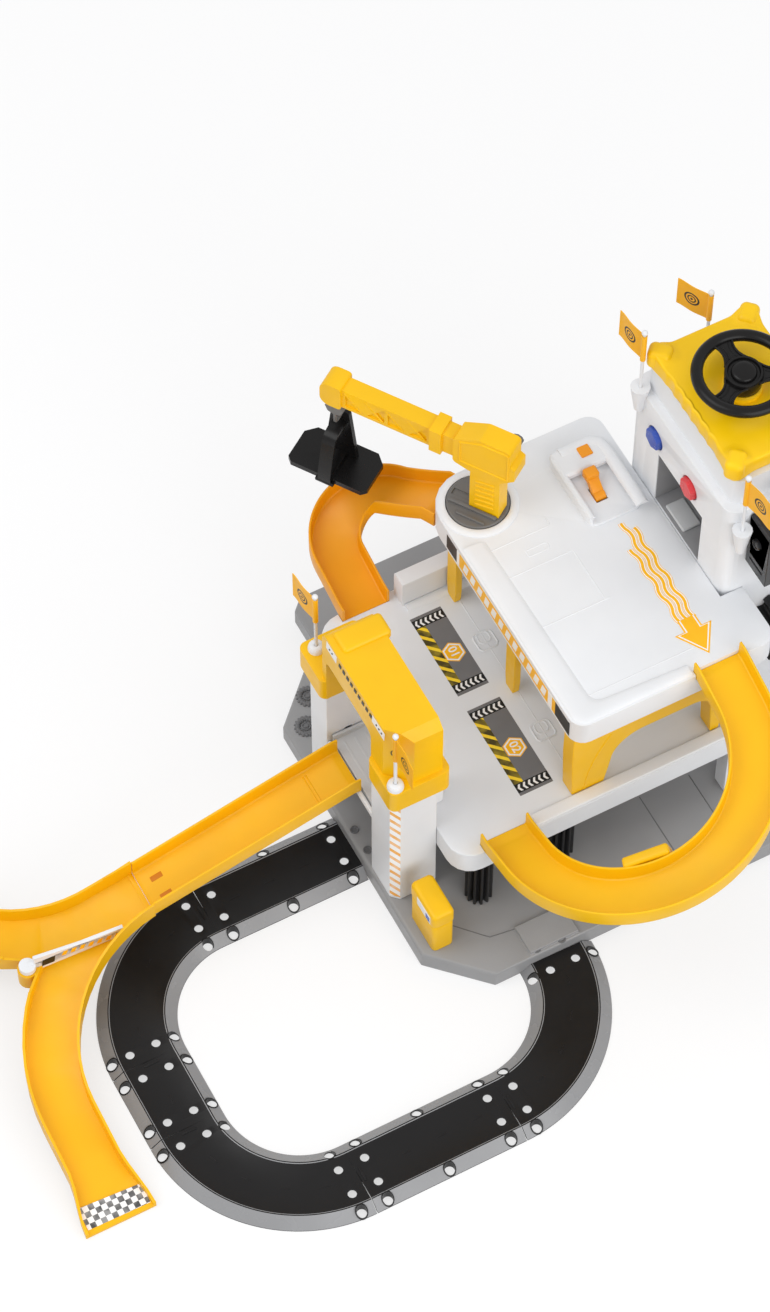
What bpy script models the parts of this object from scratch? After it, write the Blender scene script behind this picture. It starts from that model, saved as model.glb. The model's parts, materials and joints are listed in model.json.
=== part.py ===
"""Toy parking garage with two decks, sloping ramps, a car lift, a crane and a ring of road.

All sizes are in metres, written as millimetres times MM. +Z is up, the floor is at zero, and the
origin is the middle of the garage's base on the floor. The front of the garage faces -Y and the
lift stands at its -X end. The road and the long ramp run out towards -X.
"""

import math

import bmesh
import bpy
from mathutils import Matrix, Vector

MM = 0.001

# Clearances and wall thicknesses shared by many pieces
SEAT = 0.3 * MM              # gap left where one piece rests against another
RUN = 0.5 * MM               # gap round a piece that slides or turns
BITE = 1.0 * MM              # how far a joined shape sinks into its neighbour
REACH = 6.0 * MM             # how far a cutter runs past the face that it opens
SKIN = 2.5 * MM              # wall of the moulded shells
ARC_STEPS = 5                # straight pieces in a rounded corner

# Road ring
ROAD_MIDDLE = (-420 * MM, -110 * MM)
ROAD_RADIUS = 95 * MM
ROAD_SHORT_LENGTH = 63.6 * MM
ROAD_LONG_LENGTH = 126.5 * MM
ROAD_WIDTH = 62 * MM
ROAD_TOP_WIDTH = 44 * MM
ROAD_HEIGHT = 8 * MM
ROAD_WALL = 2 * MM
ROAD_ARC_STEPS = 7
ROAD_END_STUB = 3 * MM
ROAD_HOLE_RADIUS = 3.5 * MM
ROAD_HOLE_SIDES = 10
ROAD_HOLE_FROM_JOINT = 11 * MM
ROAD_HOLE_INNER = 11 * MM
ROAD_HOLE_OUTER = 26 * MM
ROAD_EDGE_HOLE_PITCH = 52 * MM
TONGUE_WIDTH = 10 * MM
TONGUE_LENGTH = 9 * MM
TONGUE_THICKNESS = 2 * MM

# Base tray of the garage
BASE_LENGTH = 396 * MM
BASE_DEPTH = 314.5 * MM
BASE_HEIGHT = 18 * MM
BASE_CHAMFER = 42 * MM
BASE_EDGE_ROUND = 2.5 * MM
ANNEX_FROM_LEFT = 58 * MM
ANNEX_LENGTH = 200 * MM
ANNEX_DEPTH = 60 * MM
ANNEX_CHAMFER = 10 * MM
BASE_RIB = 2 * MM
BASE_RIB_PITCH = 98 * MM
BASE_BOSS = 12 * MM
ROAD_PLATE_HEIGHT = 3 * MM
ROAD_PLATE_DEPTH = 28 * MM
ROAD_PLATE_WIDTH = 42 * MM

# Heights of the two decks
DECK_ONE_CLEAR = 61 * MM
DECK_ONE_HEIGHT = 24 * MM
DECK_TWO_CLEAR = 85 * MM
DECK_TWO_HEIGHT = 25 * MM
DECK_EDGE_ROUND = 4 * MM

# Lift at the left end
LIFT_LEFT = -196 * MM
LIFT_FRONT = -50 * MM
LIFT_WIDTH = 37 * MM
LIFT_FRONT_DEPTH = 36 * MM
LIFT_REAR_DEPTH = 27 * MM
SHAFT_DEPTH = 72 * MM
PILLAR_HEIGHT = 145.7 * MM
PILLAR_CHAMFER = 6 * MM
PILLAR_WING_LENGTH = 26 * MM
PILLAR_WING_DEPTH = 17 * MM
SILL_DEPTH = 3 * MM
SILL_HEIGHT = 6 * MM
GROOVE_WIDTH = 6 * MM
GROOVE_DEPTH = 3 * MM
CAR_THICKNESS = 5 * MM
CAR_SIDE_GAP = 0.6 * MM
CAR_LIP_HEIGHT = 6 * MM
CAR_LIP_WIDTH = 2.5 * MM

# Yellow hood over the lift
HOOD_HEIGHT = 88 * MM
HOOD_RIM_HEIGHT = 24 * MM
HOOD_RIM_OUT = 4 * MM
HOOD_RIM_RIGHT = 10 * MM
HOOD_REAR_STEP = 5 * MM
HOOD_REAR_LENGTH = 40 * MM
HOOD_ARCH_RISE = 54 * MM
HOOD_FRONT_CHAMFER = 7.5 * MM
HOOD_FACET = 17 * MM
HOOD_REAR_ROUND = 10 * MM
HOOD_RIM_ROUND = 6 * MM

# Lower deck
DECK_ONE_FRONT = -85 * MM
DECK_ONE_REAR = 155 * MM
DECK_ONE_FRONT_ROUND = 20 * MM
DECK_ONE_REAR_ROUND = 22 * MM
DECK_LEG_SIZE = 14 * MM
PARAPET_LEFT = -88 * MM
PARAPET_DEPTH = 14 * MM
PARAPET_HEIGHT = 29 * MM
PARAPET_INSET = 3 * MM

# Upper deck
DECK_TWO_LEFT = -59.5 * MM
DECK_TWO_FRONT = -80.5 * MM
DECK_TWO_REAR = 163.5 * MM
DECK_TWO_NOSE_RIGHT = 113 * MM
DECK_TWO_ROUND = 13 * MM
TURNTABLE_CORNER_ROUND = 32.5 * MM
TURNTABLE_WELL = 7 * MM
LANDING_INSET = 5 * MM

# Tower at the right end
TOWER_LEFT = 94 * MM
TOWER_FRONT = -28 * MM
TOWER_LENGTH = 98 * MM
TOWER_DEPTH = 143 * MM
TOWER_SHOULDER = 105 * MM
TOWER_NECK = 29 * MM
TOWER_NECK_INSET = 7 * MM
TOWER_ROUND = 12 * MM
TOWER_WALL = 3 * MM
DOOR_FROM_FRONT = 35 * MM
DOOR_WIDTH = 65 * MM
DOOR_HEIGHT = 59 * MM
DOOR_DEPTH = 45 * MM
ROOF_INSET_X = 6 * MM
ROOF_INSET_Y = 11 * MM
ROOF_HEIGHT = 15 * MM
ROOF_BOSS_RADIUS = 11 * MM
ROOF_BOSS_RISE = 4 * MM
ROOF_ROUND = 4 * MM
SEAT_RING_RADIUS = 17 * MM
SEAT_RING_HEIGHT = 5 * MM

# Steering wheel
WHEEL_RADIUS = 37.5 * MM
WHEEL_RIM_WIDTH = 10 * MM
WHEEL_RIM_HEIGHT = 9 * MM
WHEEL_LIFT = 13 * MM
WHEEL_HUB_RADIUS = 13 * MM
WHEEL_HUB_HEIGHT = 8 * MM
WHEEL_SHAFT_RADIUS = 5 * MM
WHEEL_SHAFT_DEPTH = 9 * MM
WHEEL_SPOKE_WIDTH = 15 * MM
WHEEL_SPOKE_HEIGHT = 4.5 * MM
WHEEL_STEPS = 36
WHEEL_RIM_SIDES = 10

# Buttons and levers
BUTTON_RADIUS = 10 * MM
BUTTON_PROUD = 4 * MM
BUTTON_TRAVEL = 2 * MM
BUTTON_WELL = 8 * MM
BUTTON_STEM = 6 * MM
BLUE_FROM_FRONT = 106 * MM
RED_FROM_FRONT = 55 * MM
BUTTON_ABOVE_DECK = 73 * MM
CONSOLE_LEFT = 37 * MM
CONSOLE_RIGHT = 84 * MM
CONSOLE_FRONT = 70 * MM
CONSOLE_REAR = 139 * MM
CONSOLE_HEIGHT = 11 * MM
CONSOLE_TRAY_DROP = 8 * MM
CONSOLE_TRAY_REAR = 116 * MM
CONSOLE_WALL = 3 * MM
KEY_SIZE = 13 * MM
KEY_TRAVEL = 1.6 * MM
KEY_PROUD = 2.2 * MM
KEY_FROM_LEFT = 27 * MM
KEY_FROM_REAR = 11 * MM
TILLER_WIDTH = 9 * MM
TILLER_LENGTH = 24 * MM
TILLER_HEIGHT = 9 * MM
TILLER_PIVOT = (57 * MM, 93 * MM)
TILLER_AXLE_RADIUS = 4.5 * MM
TILLER_WELL_FRONT = 6 * MM
TILLER_WELL_REAR = 8.5 * MM
TILLER_WELL_DEPTH = 6 * MM
GEAR_BOX_SIZE = (44 * MM, 28 * MM, 62 * MM)
GEAR_BOX_LEFT = 112 * MM
GEAR_BOX_LOW = 250 * MM
GEAR_BOX_ROUND = 6 * MM
GEAR_SLOT_WIDTH = 6 * MM
GEAR_SLOT_LENGTH = 30 * MM
GEAR_SLOT_DEPTH = 40 * MM
GEAR_LEVER_RADIUS = 2.4 * MM
GEAR_LEVER_RISE = 22 * MM
GEAR_KNOB_RADIUS = 7 * MM
GEAR_PIVOT_DEPTH = 30 * MM
SPARE_RADIUS = 40 * MM
SPARE_WIDTH = 20 * MM
SPARE_HUB_RADIUS = 20 * MM
SPARE_LUGS = 18
SPARE_LUG_SIZE = 5 * MM
SPARE_MIDDLE = (160 * MM, 150 * MM)

# Ramps
RAMP_WIDTH = 41 * MM
RAMP_WALL = 2 * MM
RAMP_SIDE = 15 * MM
RAMP_LEVEL_END = 6 * MM
RAMP_FOOT_END = 2 * MM
RAMP_SINK = 8 * MM
LONG_RAMP_LENGTH = 176.7 * MM
LONG_RAMP_DROP = 43 * MM
SIDE_RAMP_MIDDLE = -116 * MM
SIDE_RAMP_RADIUS = 89.5 * MM
SIDE_RAMP_STRAIGHT = 27 * MM
SIDE_RAMP_TOP_STEP = 4 * MM
REAR_RAMP_LANDING = -115 * MM
REAR_RAMP_RADIUS = 30 * MM
REAR_RAMP_STRAIGHT = 43 * MM
REAR_RAMP_ANGLE = 118
REAR_RAMP_TOP_DROP = 27 * MM
RAMP_ARC_STEPS = 18

# Forked end of the long ramp
FORK_WIDTH = 43 * MM
FORK_NEAR_RADIUS = 126 * MM
FORK_NEAR_STRAIGHT = 86 * MM
FORK_FAR_STRAIGHT = 35 * MM
FORK_FAR_RADIUS = 120 * MM
FORK_FAR_TAIL = 52 * MM
FORK_FAR_START = 10 * MM
FORK_TUCK = 0.3 * MM
FORK_FLARE_LENGTH = 46 * MM
FORK_FLARE_WIDTH = 58 * MM
FORK_FIRST_SLOPE = 0.27
FORK_END_SIDE = 5 * MM
FORK_STEPS = 30
FORK_TURN = 90

# Gate at the fork
GATE_PIVOT = (-474 * MM, 16 * MM)
GATE_LENGTH = 77 * MM
GATE_ANGLE = -6.5
GATE_THICKNESS = 3 * MM
GATE_HUB_RADIUS = 6.5 * MM
GATE_HUB_HEIGHT = 5 * MM
GATE_HUB_LOW = 47 * MM
GATE_PIN_RADIUS = 2 * MM
GATE_PIN_LENGTH = 12 * MM
GATE_BOSS_RADIUS = 8 * MM
GATE_BOSS_DROP = 17 * MM
GATE_CLEAR_RADIUS = 21 * MM

# Crane
CRANE_MIDDLE = (-27 * MM, 131 * MM)
CRANE_HEADING = 124
DISC_RADIUS = 24.5 * MM
DISC_PROUD = 3 * MM
DISC_PIN_RADIUS = 5 * MM
DISC_PIN_LENGTH = 6 * MM
MAST_FRONT = 4 * MM
MAST_LENGTH = 25 * MM
MAST_WIDTH = 14 * MM
MAST_HEIGHT = 50 * MM
HOUSE_HEIGHT = 44 * MM
HOUSE_WIDTH = 18 * MM
HOUSE_FRONT = 18 * MM
HOUSE_REAR = -30 * MM
BOOM_WIDTH = 14 * MM
BOOM_HEIGHT = 22 * MM
BOOM_LOW = 57 * MM
BOOM_END = 118 * MM
COLLAR_WIDTH = 19 * MM
COLLAR_START = 28 * MM
COLLAR_LENGTH = 10 * MM
TIP_START = 113 * MM
TIP_LENGTH = 18 * MM
TIP_WIDTH = 19 * MM
TIP_LOW = 56 * MM
TIP_HEIGHT = 26 * MM
WINCH_RADIUS = 5 * MM
WINCH_LENGTH = 7 * MM
WINCH_AXLE_RADIUS = 2 * MM
WINCH_AXLE_LENGTH = 8 * MM
WINCH_PLACE = (-24 * MM, 80 * MM)
HOOK_FROM_TIP_START = 9 * MM
HOOK_STEM_RADIUS = 2.5 * MM
HOOK_STEM_SOCKET = 6 * MM
HOOK_BLOCK_RADIUS = 8 * MM
HOOK_BLOCK_WIDTH = 7 * MM
HOOK_BLOCK_DROP = 11 * MM
HOOK_WIRE_RADIUS = 1.5 * MM
HOOK_DROP = 13 * MM
HOOK_WIRE_NEAR = 2 * MM
HOOK_WIRE_FAR = -14 * MM
TRAY_LENGTH = 69 * MM
TRAY_WIDTH = 38 * MM
TRAY_THICKNESS = 5 * MM
TRAY_CHAMFER = 8 * MM
TRAY_RIB_WIDTH = 11 * MM
TRAY_RIB_HEIGHT = 3 * MM
HANGER_HEIGHT = 57 * MM
HANGER_THICKNESS = 4 * MM
HANGER_FOOT = 28 * MM
HANGER_TOP = 15 * MM
HANGER_HOLE_RADIUS = 2.6 * MM
HANGER_HOLE_DROP = 7 * MM
HANGER_SIDE = -8 * MM

# Flags
FLAG_POLE_RADIUS = 1.4 * MM
FLAG_POLE_HEIGHT = 72 * MM
FLAG_CUP_RADIUS = 5.5 * MM
FLAG_CUP_HEIGHT = 5 * MM
FLAG_CLOTH_LENGTH = 29 * MM
FLAG_CLOTH_HEIGHT = 30 * MM
FLAG_CLOTH_THICKNESS = 0.8 * MM
FLAG_SLEEVE_RADIUS = 2.4 * MM
FLAG_ARM_DROP = 18 * MM
FLAG_ARM_LENGTH = 22 * MM
LEFT_FLAG_OUT = 2 * MM
LEFT_FLAG_FROM_REAR = 14 * MM
LEFT_FLAG_RISE = 20 * MM
FRONT_FLAG_FROM_LEFT = 8 * MM
FRONT_FLAG_TUCK = 7 * MM
REAR_FLAG_FROM_RIGHT = 30 * MM
HOOD_FLAG_INSET = 3 * MM
HOOD_REAR_FLAG_INSET = 7 * MM
HOOD_REAR_FLAG_BACK = 29 * MM

# Small things on the ground floor
PUMP_LEFT = -190 * MM
PUMP_FRONT = -103 * MM
PUMP_SIZE = (19 * MM, 38 * MM, 52 * MM)
PUMP_ROUND = 8 * MM
ROLLER_RADIUS = 11 * MM
ROLLER_CORE_RADIUS = 7 * MM
ROLLER_RIBS = 12
ROLLER_PIN_RADIUS = 2.5 * MM
ROLLER_PIN_LENGTH = 4 * MM
ROLLER_PLACES = ((-134 * MM, -73 * MM), (-60 * MM, -68 * MM))

# Yellow legs between the decks
PORTAL_LEFT = -50 * MM
PORTAL_RIGHT = 74 * MM
PORTAL_FRONT = -73 * MM
PORTAL_DEPTH = 15 * MM
PORTAL_FOOT = 12 * MM
PORTAL_CROWN = 16 * MM
PORTAL_BEND = 26 * MM
SIDE_LEG_WIDTH = 6 * MM
SIDE_LEG_DEPTH = 14 * MM
SIDE_LEG_PLACES = (("side_leg_middle", 33 * MM), ("side_leg_rear", 127 * MM))
SIDE_LEG_LEFT = -51 * MM
SIDE_LEG_FOOT = 11 * MM

# Heights worked out from the sizes above
DECK_ONE_LOW = BASE_HEIGHT + DECK_ONE_CLEAR
DECK_ONE_TOP = DECK_ONE_LOW + DECK_ONE_HEIGHT
DECK_TWO_LOW = DECK_ONE_TOP + DECK_TWO_CLEAR
DECK_TWO_TOP = DECK_TWO_LOW + DECK_TWO_HEIGHT
PILLAR_TOP = BASE_HEIGHT + PILLAR_HEIGHT
HOOD_LOW = PILLAR_TOP + SEAT
HOOD_TOP = HOOD_LOW + HOOD_HEIGHT
TOWER_SHOULDER_TOP = DECK_TWO_TOP + TOWER_SHOULDER
TOWER_TOP = TOWER_SHOULDER_TOP + TOWER_NECK
ROOF_TOP = TOWER_TOP + SEAT + ROOF_HEIGHT

# Places worked out from the sizes above
ROAD_FRONT_LINE = ROAD_MIDDLE[1] - ROAD_SHORT_LENGTH / 2 - ROAD_RADIUS
ROAD_REAR_LINE = ROAD_MIDDLE[1] + ROAD_SHORT_LENGTH / 2 + ROAD_RADIUS
ROAD_STRAIGHT_LEFT = ROAD_MIDDLE[0] + ROAD_RADIUS
ROAD_STRAIGHT_RIGHT = ROAD_STRAIGHT_LEFT + ROAD_LONG_LENGTH
BASE_LEFT = ROAD_STRAIGHT_RIGHT + SEAT
BASE_RIGHT = BASE_LEFT + BASE_LENGTH
BASE_FRONT = ROAD_FRONT_LINE + ROAD_RADIUS + SEAT
BASE_REAR = BASE_FRONT + BASE_DEPTH
SHAFT_FRONT = LIFT_FRONT + LIFT_FRONT_DEPTH
SHAFT_REAR = SHAFT_FRONT + SHAFT_DEPTH
LIFT_RIGHT = LIFT_LEFT + LIFT_WIDTH
LIFT_MIDDLE_Y = (SHAFT_FRONT + SHAFT_REAR) / 2
DECK_ONE_LEFT = LIFT_RIGHT + SEAT
DECK_RIGHT = TOWER_LEFT - SEAT
TOWER_RIGHT = TOWER_LEFT + TOWER_LENGTH
TOWER_REAR = TOWER_FRONT + TOWER_DEPTH
SIDE_RAMP_UPPER_MIDDLE = SIDE_RAMP_MIDDLE + 2 * SIDE_RAMP_RADIUS
LONG_RAMP_Y = LIFT_MIDDLE_Y + 5 * MM
LONG_RAMP_RIGHT = LIFT_LEFT + 2.5 * MM
LONG_RAMP_LEFT = LONG_RAMP_RIGHT - LONG_RAMP_LENGTH
LONG_RAMP_END_FLOOR = DECK_ONE_TOP - LONG_RAMP_DROP
CRANE_FLOOR = DECK_TWO_TOP + DISC_PROUD

# Colours read from the photograph, with roughness and metallic value
YELLOW = ("garage_yellow", (0.98, 0.60, 0.005), 0.35, 0.0)
WHITE = ("garage_white", (0.80, 0.81, 0.82), 0.40, 0.0)
LIGHT_GREY = ("garage_light_grey", (0.55, 0.56, 0.57), 0.45, 0.0)
DARK_GREY = ("garage_dark_grey", (0.10, 0.10, 0.11), 0.45, 0.0)
BASE_GREY = ("garage_base_grey", (0.22, 0.22, 0.23), 0.45, 0.0)
BLACK = ("garage_black", (0.012, 0.011, 0.012), 0.35, 0.0)
ROAD_BLACK = ("garage_road_black", (0.014, 0.013, 0.014), 0.50, 0.0)
BLUE = ("garage_blue", (0.03, 0.09, 0.42), 0.35, 0.0)
RED = ("garage_red", (0.65, 0.02, 0.03), 0.35, 0.0)
ORANGE = ("garage_orange", (0.90, 0.33, 0.01), 0.40, 0.0)
FLAG_ORANGE = ("garage_flag_orange", (0.95, 0.42, 0.01), 0.70, 0.0)


# Scene helpers

def clear_scene():
    """Remove every object that the file starts with."""
    for item in list(bpy.data.objects):
        bpy.data.objects.remove(item, do_unlink=True)


def collection(name):
    """Return the named collection, made under the scene if it is new."""
    found = bpy.data.collections.get(name)
    if found is None:
        found = bpy.data.collections.new(name)
        bpy.context.scene.collection.children.link(found)
    return found


def material(finish):
    """Return a Principled material for a (name, colour, roughness, metallic) finish."""
    name, colour, roughness, metallic = finish
    found = bpy.data.materials.get(name)
    if found is None:
        found = bpy.data.materials.new(name)
        found.use_nodes = True
        shader = found.node_tree.nodes["Principled BSDF"]
        shader.inputs["Base Color"].default_value = (*colour, 1.0)
        shader.inputs["Roughness"].default_value = roughness
        shader.inputs["Metallic"].default_value = metallic
    return found


def add_object(name, data, group="parking_garage"):
    """Link a new object that holds the given mesh or curve."""
    item = bpy.data.objects.new(name, data)
    collection(group).objects.link(item)
    return item


def finish_part(item, name, finish, smooth=True):
    """Name a finished piece, give it its material and shade its round faces smooth."""
    item.name = name
    item.data.name = name
    item.data.materials.clear()
    item.data.materials.append(material(finish))
    if smooth:
        item.data.shade_smooth()
        item.data.set_sharp_from_angle(angle=math.radians(35))
    return item


def to_mesh_object(item):
    """Turn a curve, or a mesh with modifiers, into a plain mesh object with welded caps."""
    graph = bpy.context.evaluated_depsgraph_get()
    graph.update()
    data = bpy.data.meshes.new_from_object(item.evaluated_get(graph))
    weld = bmesh.new()
    weld.from_mesh(data)
    bmesh.ops.remove_doubles(weld, verts=weld.verts, dist=0.00001)
    bmesh.ops.recalc_face_normals(weld, faces=weld.faces)
    weld.to_mesh(data)
    weld.free()
    result = add_object(item.name + "_solid", data)
    result.matrix_world = item.matrix_world.copy()
    bpy.data.objects.remove(item, do_unlink=True)
    return result


def hide_tool(item):
    """Keep a cutter or a guide out of the finished model."""
    for home in list(item.users_collection):
        home.objects.unlink(item)
    collection("cutters").objects.link(item)
    item.hide_render = True
    item.display_type = "WIRE"


def combine(item, other, operation, solver="EXACT"):
    """Add a Boolean modifier that joins another shape to a piece, or cuts it away."""
    step = item.modifiers.new(operation.lower(), "BOOLEAN")
    step.operation = operation
    step.solver = solver
    step.object = other
    hide_tool(other)


def cut(item, *others, solver="EXACT"):
    """Cut each of the other shapes out of a piece."""
    for other in others:
        combine(item, other, "DIFFERENCE", solver)


def join(item, *others, solver="EXACT"):
    """Join each of the other shapes to a piece as one body."""
    for other in others:
        combine(item, other, "UNION", solver)


def move_origin(item, point):
    """Put a piece's origin at a point, such as its pivot, and leave its shape where it is."""
    shift = Vector(point)
    item.data.transform(Matrix.Translation(-shift))
    item.location = item.location + shift


# Shape helpers

def box(low, high):
    """Return a box between two corners."""
    data = bpy.data.meshes.new("box")
    mesh = bmesh.new()
    bmesh.ops.create_cube(mesh, size=1.0)
    low, high = Vector(low), Vector(high)
    bmesh.ops.scale(mesh, vec=high - low, verts=mesh.verts)
    bmesh.ops.translate(mesh, vec=(low + high) / 2, verts=mesh.verts)
    mesh.to_mesh(data)
    mesh.free()
    return add_object("box", data)


def rod(start, end, radius, sides=20, end_radius=None):
    """Return a cylinder, or a cone with two radii, between two points."""
    start, end = Vector(start), Vector(end)
    data = bpy.data.meshes.new("rod")
    mesh = bmesh.new()
    bmesh.ops.create_cone(
        mesh,
        cap_ends=True,
        segments=sides,
        radius1=radius,
        radius2=radius if end_radius is None else end_radius,
        depth=(end - start).length,
    )
    turn = (end - start).to_track_quat("Z", "Y").to_matrix().to_4x4()
    mesh.transform(Matrix.Translation((start + end) / 2) @ turn)
    mesh.to_mesh(data)
    mesh.free()
    return add_object("rod", data)


def ball(centre, radius):
    """Return a small sphere."""
    data = bpy.data.meshes.new("ball")
    mesh = bmesh.new()
    bmesh.ops.create_uvsphere(mesh, u_segments=16, v_segments=8, radius=radius)
    bmesh.ops.translate(mesh, vec=Vector(centre), verts=mesh.verts)
    mesh.to_mesh(data)
    mesh.free()
    return add_object("ball", data)


def rounded(corners):
    """Turn (x, y, radius) corners into an outline whose rounded corners are short arcs."""
    points = []
    count = len(corners)
    for index, (x, y, radius) in enumerate(corners):
        here = Vector((x, y))
        if radius <= 0:
            points.append(here)
            continue
        before = Vector(corners[index - 1][:2])
        after = Vector(corners[(index + 1) % count][:2])
        inward = (before - here).normalized()
        outward = (after - here).normalized()
        half = inward.angle(outward) / 2
        middle = here + (inward + outward).normalized() * radius / math.sin(half)
        first = here + inward * radius / math.tan(half) - middle
        turn = first.angle_signed(here + outward * radius / math.tan(half) - middle)
        for step in range(ARC_STEPS + 1):
            angle = -turn * step / ARC_STEPS
            cosine, sine = math.cos(angle), math.sin(angle)
            points.append(middle + Vector((
                first.x * cosine - first.y * sine,
                first.x * sine + first.y * cosine,
            )))
    return points


def rectangle(low, high, radius=0.0):
    """Return the corners of a rectangle whose four corners share one radius."""
    return [
        (low[0], low[1], radius),
        (high[0], low[1], radius),
        (high[0], high[1], radius),
        (low[0], high[1], radius),
    ]


def poly_curve(name, points, closed, flat):
    """Return a curve object with one straight-sided spline."""
    data = bpy.data.curves.new(name, "CURVE")
    data.dimensions = "2D" if flat else "3D"
    spline = data.splines.new("POLY")
    spline.points.add(len(points) - 1)
    for point, place in zip(spline.points, points):
        place = Vector(place).to_3d()
        point.co = (place.x, place.y, place.z, 1.0)
    spline.use_cyclic_u = closed
    return add_object(name, data)


def plate(corners, low, high, plane="XY"):
    """Extrude a flat outline of (u, v, radius) corners between two levels across its plane.

    Plane "XY" stands on Z, "YZ" runs along X with u on Y, and "XZ" runs along Y with u on X.
    """
    item = poly_curve("plate", rounded(corners), True, True)
    item.data.fill_mode = "BOTH"
    item.data.extrude = (high - low) / 2
    solid = to_mesh_object(item)
    level = (low + high) / 2
    turns = {
        "XY": Matrix(((1, 0, 0), (0, 1, 0), (0, 0, 1))),
        "YZ": Matrix(((0, 0, 1), (1, 0, 0), (0, 1, 0))),
        "XZ": Matrix(((1, 0, 0), (0, 0, -1), (0, 1, 0))),
    }
    across = {"XY": (0, 0, level), "YZ": (level, 0, 0), "XZ": (0, level, 0)}
    solid.data.transform(Matrix.Translation(across[plane]) @ turns[plane].to_4x4())
    return solid


def soften_top(item, top, width, segments=2):
    """Round the edges of a piece that lie on its top face."""
    mesh = bmesh.new()
    mesh.from_mesh(item.data)
    weights = mesh.edges.layers.float.new("bevel_weight_edge")
    for edge in mesh.edges:
        level = all(abs(vertex.co.z - top) < SEAT / 2 for vertex in edge.verts)
        flat = all(abs(face.normal.z) > 0.9 for face in edge.link_faces)
        edge[weights] = 1.0 if level and not flat else 0.0
    mesh.to_mesh(item.data)
    mesh.free()
    step = item.modifiers.new("soft_top", "BEVEL")
    step.width = width
    step.segments = segments
    step.limit_method = "WEIGHT"


def turned(profile, centre, steps=32):
    """Turn a closed (radius, height) profile round a vertical line through a point."""
    data = bpy.data.meshes.new("turned")
    edges = [(index, index + 1) for index in range(len(profile) - 1)]
    data.from_pydata([(radius, 0.0, height) for radius, height in profile], edges, [])
    item = add_object("turned", data)
    step = item.modifiers.new("turn", "SCREW")
    step.angle = math.radians(360)
    step.steps = steps
    step.render_steps = steps
    step.use_merge_vertices = True
    step.merge_threshold = 0.00001
    step.use_smooth_shade = True
    solid = to_mesh_object(item)
    solid.location = centre
    return solid


def channel(path, width=RAMP_WIDTH, side=RAMP_SIDE):
    """Sweep the U of a ramp along the middle of its floor."""
    half = width / 2
    outline = [
        (-half, -RAMP_WALL),
        (half, -RAMP_WALL),
        (half, side),
        (half - RAMP_WALL, side),
        (half - RAMP_WALL, 0),
        (-half + RAMP_WALL, 0),
        (-half + RAMP_WALL, side),
        (-half, side),
    ]
    profile = poly_curve("channel_profile", outline, True, True)
    item = poly_curve("channel", path, False, False)
    item.data.twist_mode = "Z_UP"
    item.data.bevel_mode = "OBJECT"
    item.data.bevel_object = profile
    item.data.use_fill_caps = True
    solid = to_mesh_object(item)
    bpy.data.objects.remove(profile, do_unlink=True)
    return solid


def loft(rings):
    """Skin a run of rings that all have the same number of points, and close its ends."""
    data = bpy.data.meshes.new("loft")
    mesh = bmesh.new()
    loops = [[mesh.verts.new(point) for point in ring] for ring in rings]
    for first, second in zip(loops, loops[1:]):
        for index in range(len(first)):
            after = (index + 1) % len(first)
            mesh.faces.new((first[index], first[after], second[after], second[index]))
    mesh.faces.new(list(reversed(loops[0])))
    mesh.faces.new(loops[-1])
    bmesh.ops.recalc_face_normals(mesh, faces=mesh.faces)
    mesh.to_mesh(data)
    mesh.free()
    return add_object("loft", data)


def ease(share):
    """Return a share from 0 to 1 that starts and ends gently."""
    share = min(max(share, 0.0), 1.0)
    return share * share * (3 - 2 * share)


def walk(start, heading, legs, step_angle):
    """Walk along straight legs and arcs in plan.

    Each leg is ("straight", length) or ("arc", radius, degrees), and a positive arc turns left.
    The result is a list of (x, y, heading, distance walked).
    """
    x, y = start
    heading = math.radians(heading)
    travelled = 0.0
    stations = [(x, y, heading, travelled)]
    for leg in legs:
        if leg[0] == "straight":
            x += leg[1] * math.cos(heading)
            y += leg[1] * math.sin(heading)
            travelled += leg[1]
            stations.append((x, y, heading, travelled))
            continue
        radius, turn = leg[1], math.radians(leg[2])
        steps = max(2, round(abs(leg[2]) / step_angle))
        side = 1 if turn > 0 else -1
        middle_x = x - side * radius * math.sin(heading)
        middle_y = y + side * radius * math.cos(heading)
        start_heading, start_travelled = heading, travelled
        for step in range(1, steps + 1):
            heading = start_heading + turn * step / steps
            x = middle_x + side * radius * math.sin(heading)
            y = middle_y - side * radius * math.cos(heading)
            travelled = start_travelled + radius * abs(turn) * step / steps
            stations.append((x, y, heading, travelled))
    return stations


# Road ring

def road_section():
    """Return the closed outline of the road: a flat top with sides that slope to the floor."""
    top, foot = ROAD_TOP_WIDTH / 2, ROAD_WIDTH / 2
    return [
        (-foot, 0),
        (-foot + ROAD_WALL * 1.3, 0),
        (-top + ROAD_WALL * 0.4, ROAD_HEIGHT - ROAD_WALL),
        (top - ROAD_WALL * 0.4, ROAD_HEIGHT - ROAD_WALL),
        (foot - ROAD_WALL * 1.3, 0),
        (foot, 0),
        (top, ROAD_HEIGHT),
        (-top, ROAD_HEIGHT),
    ]


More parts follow.
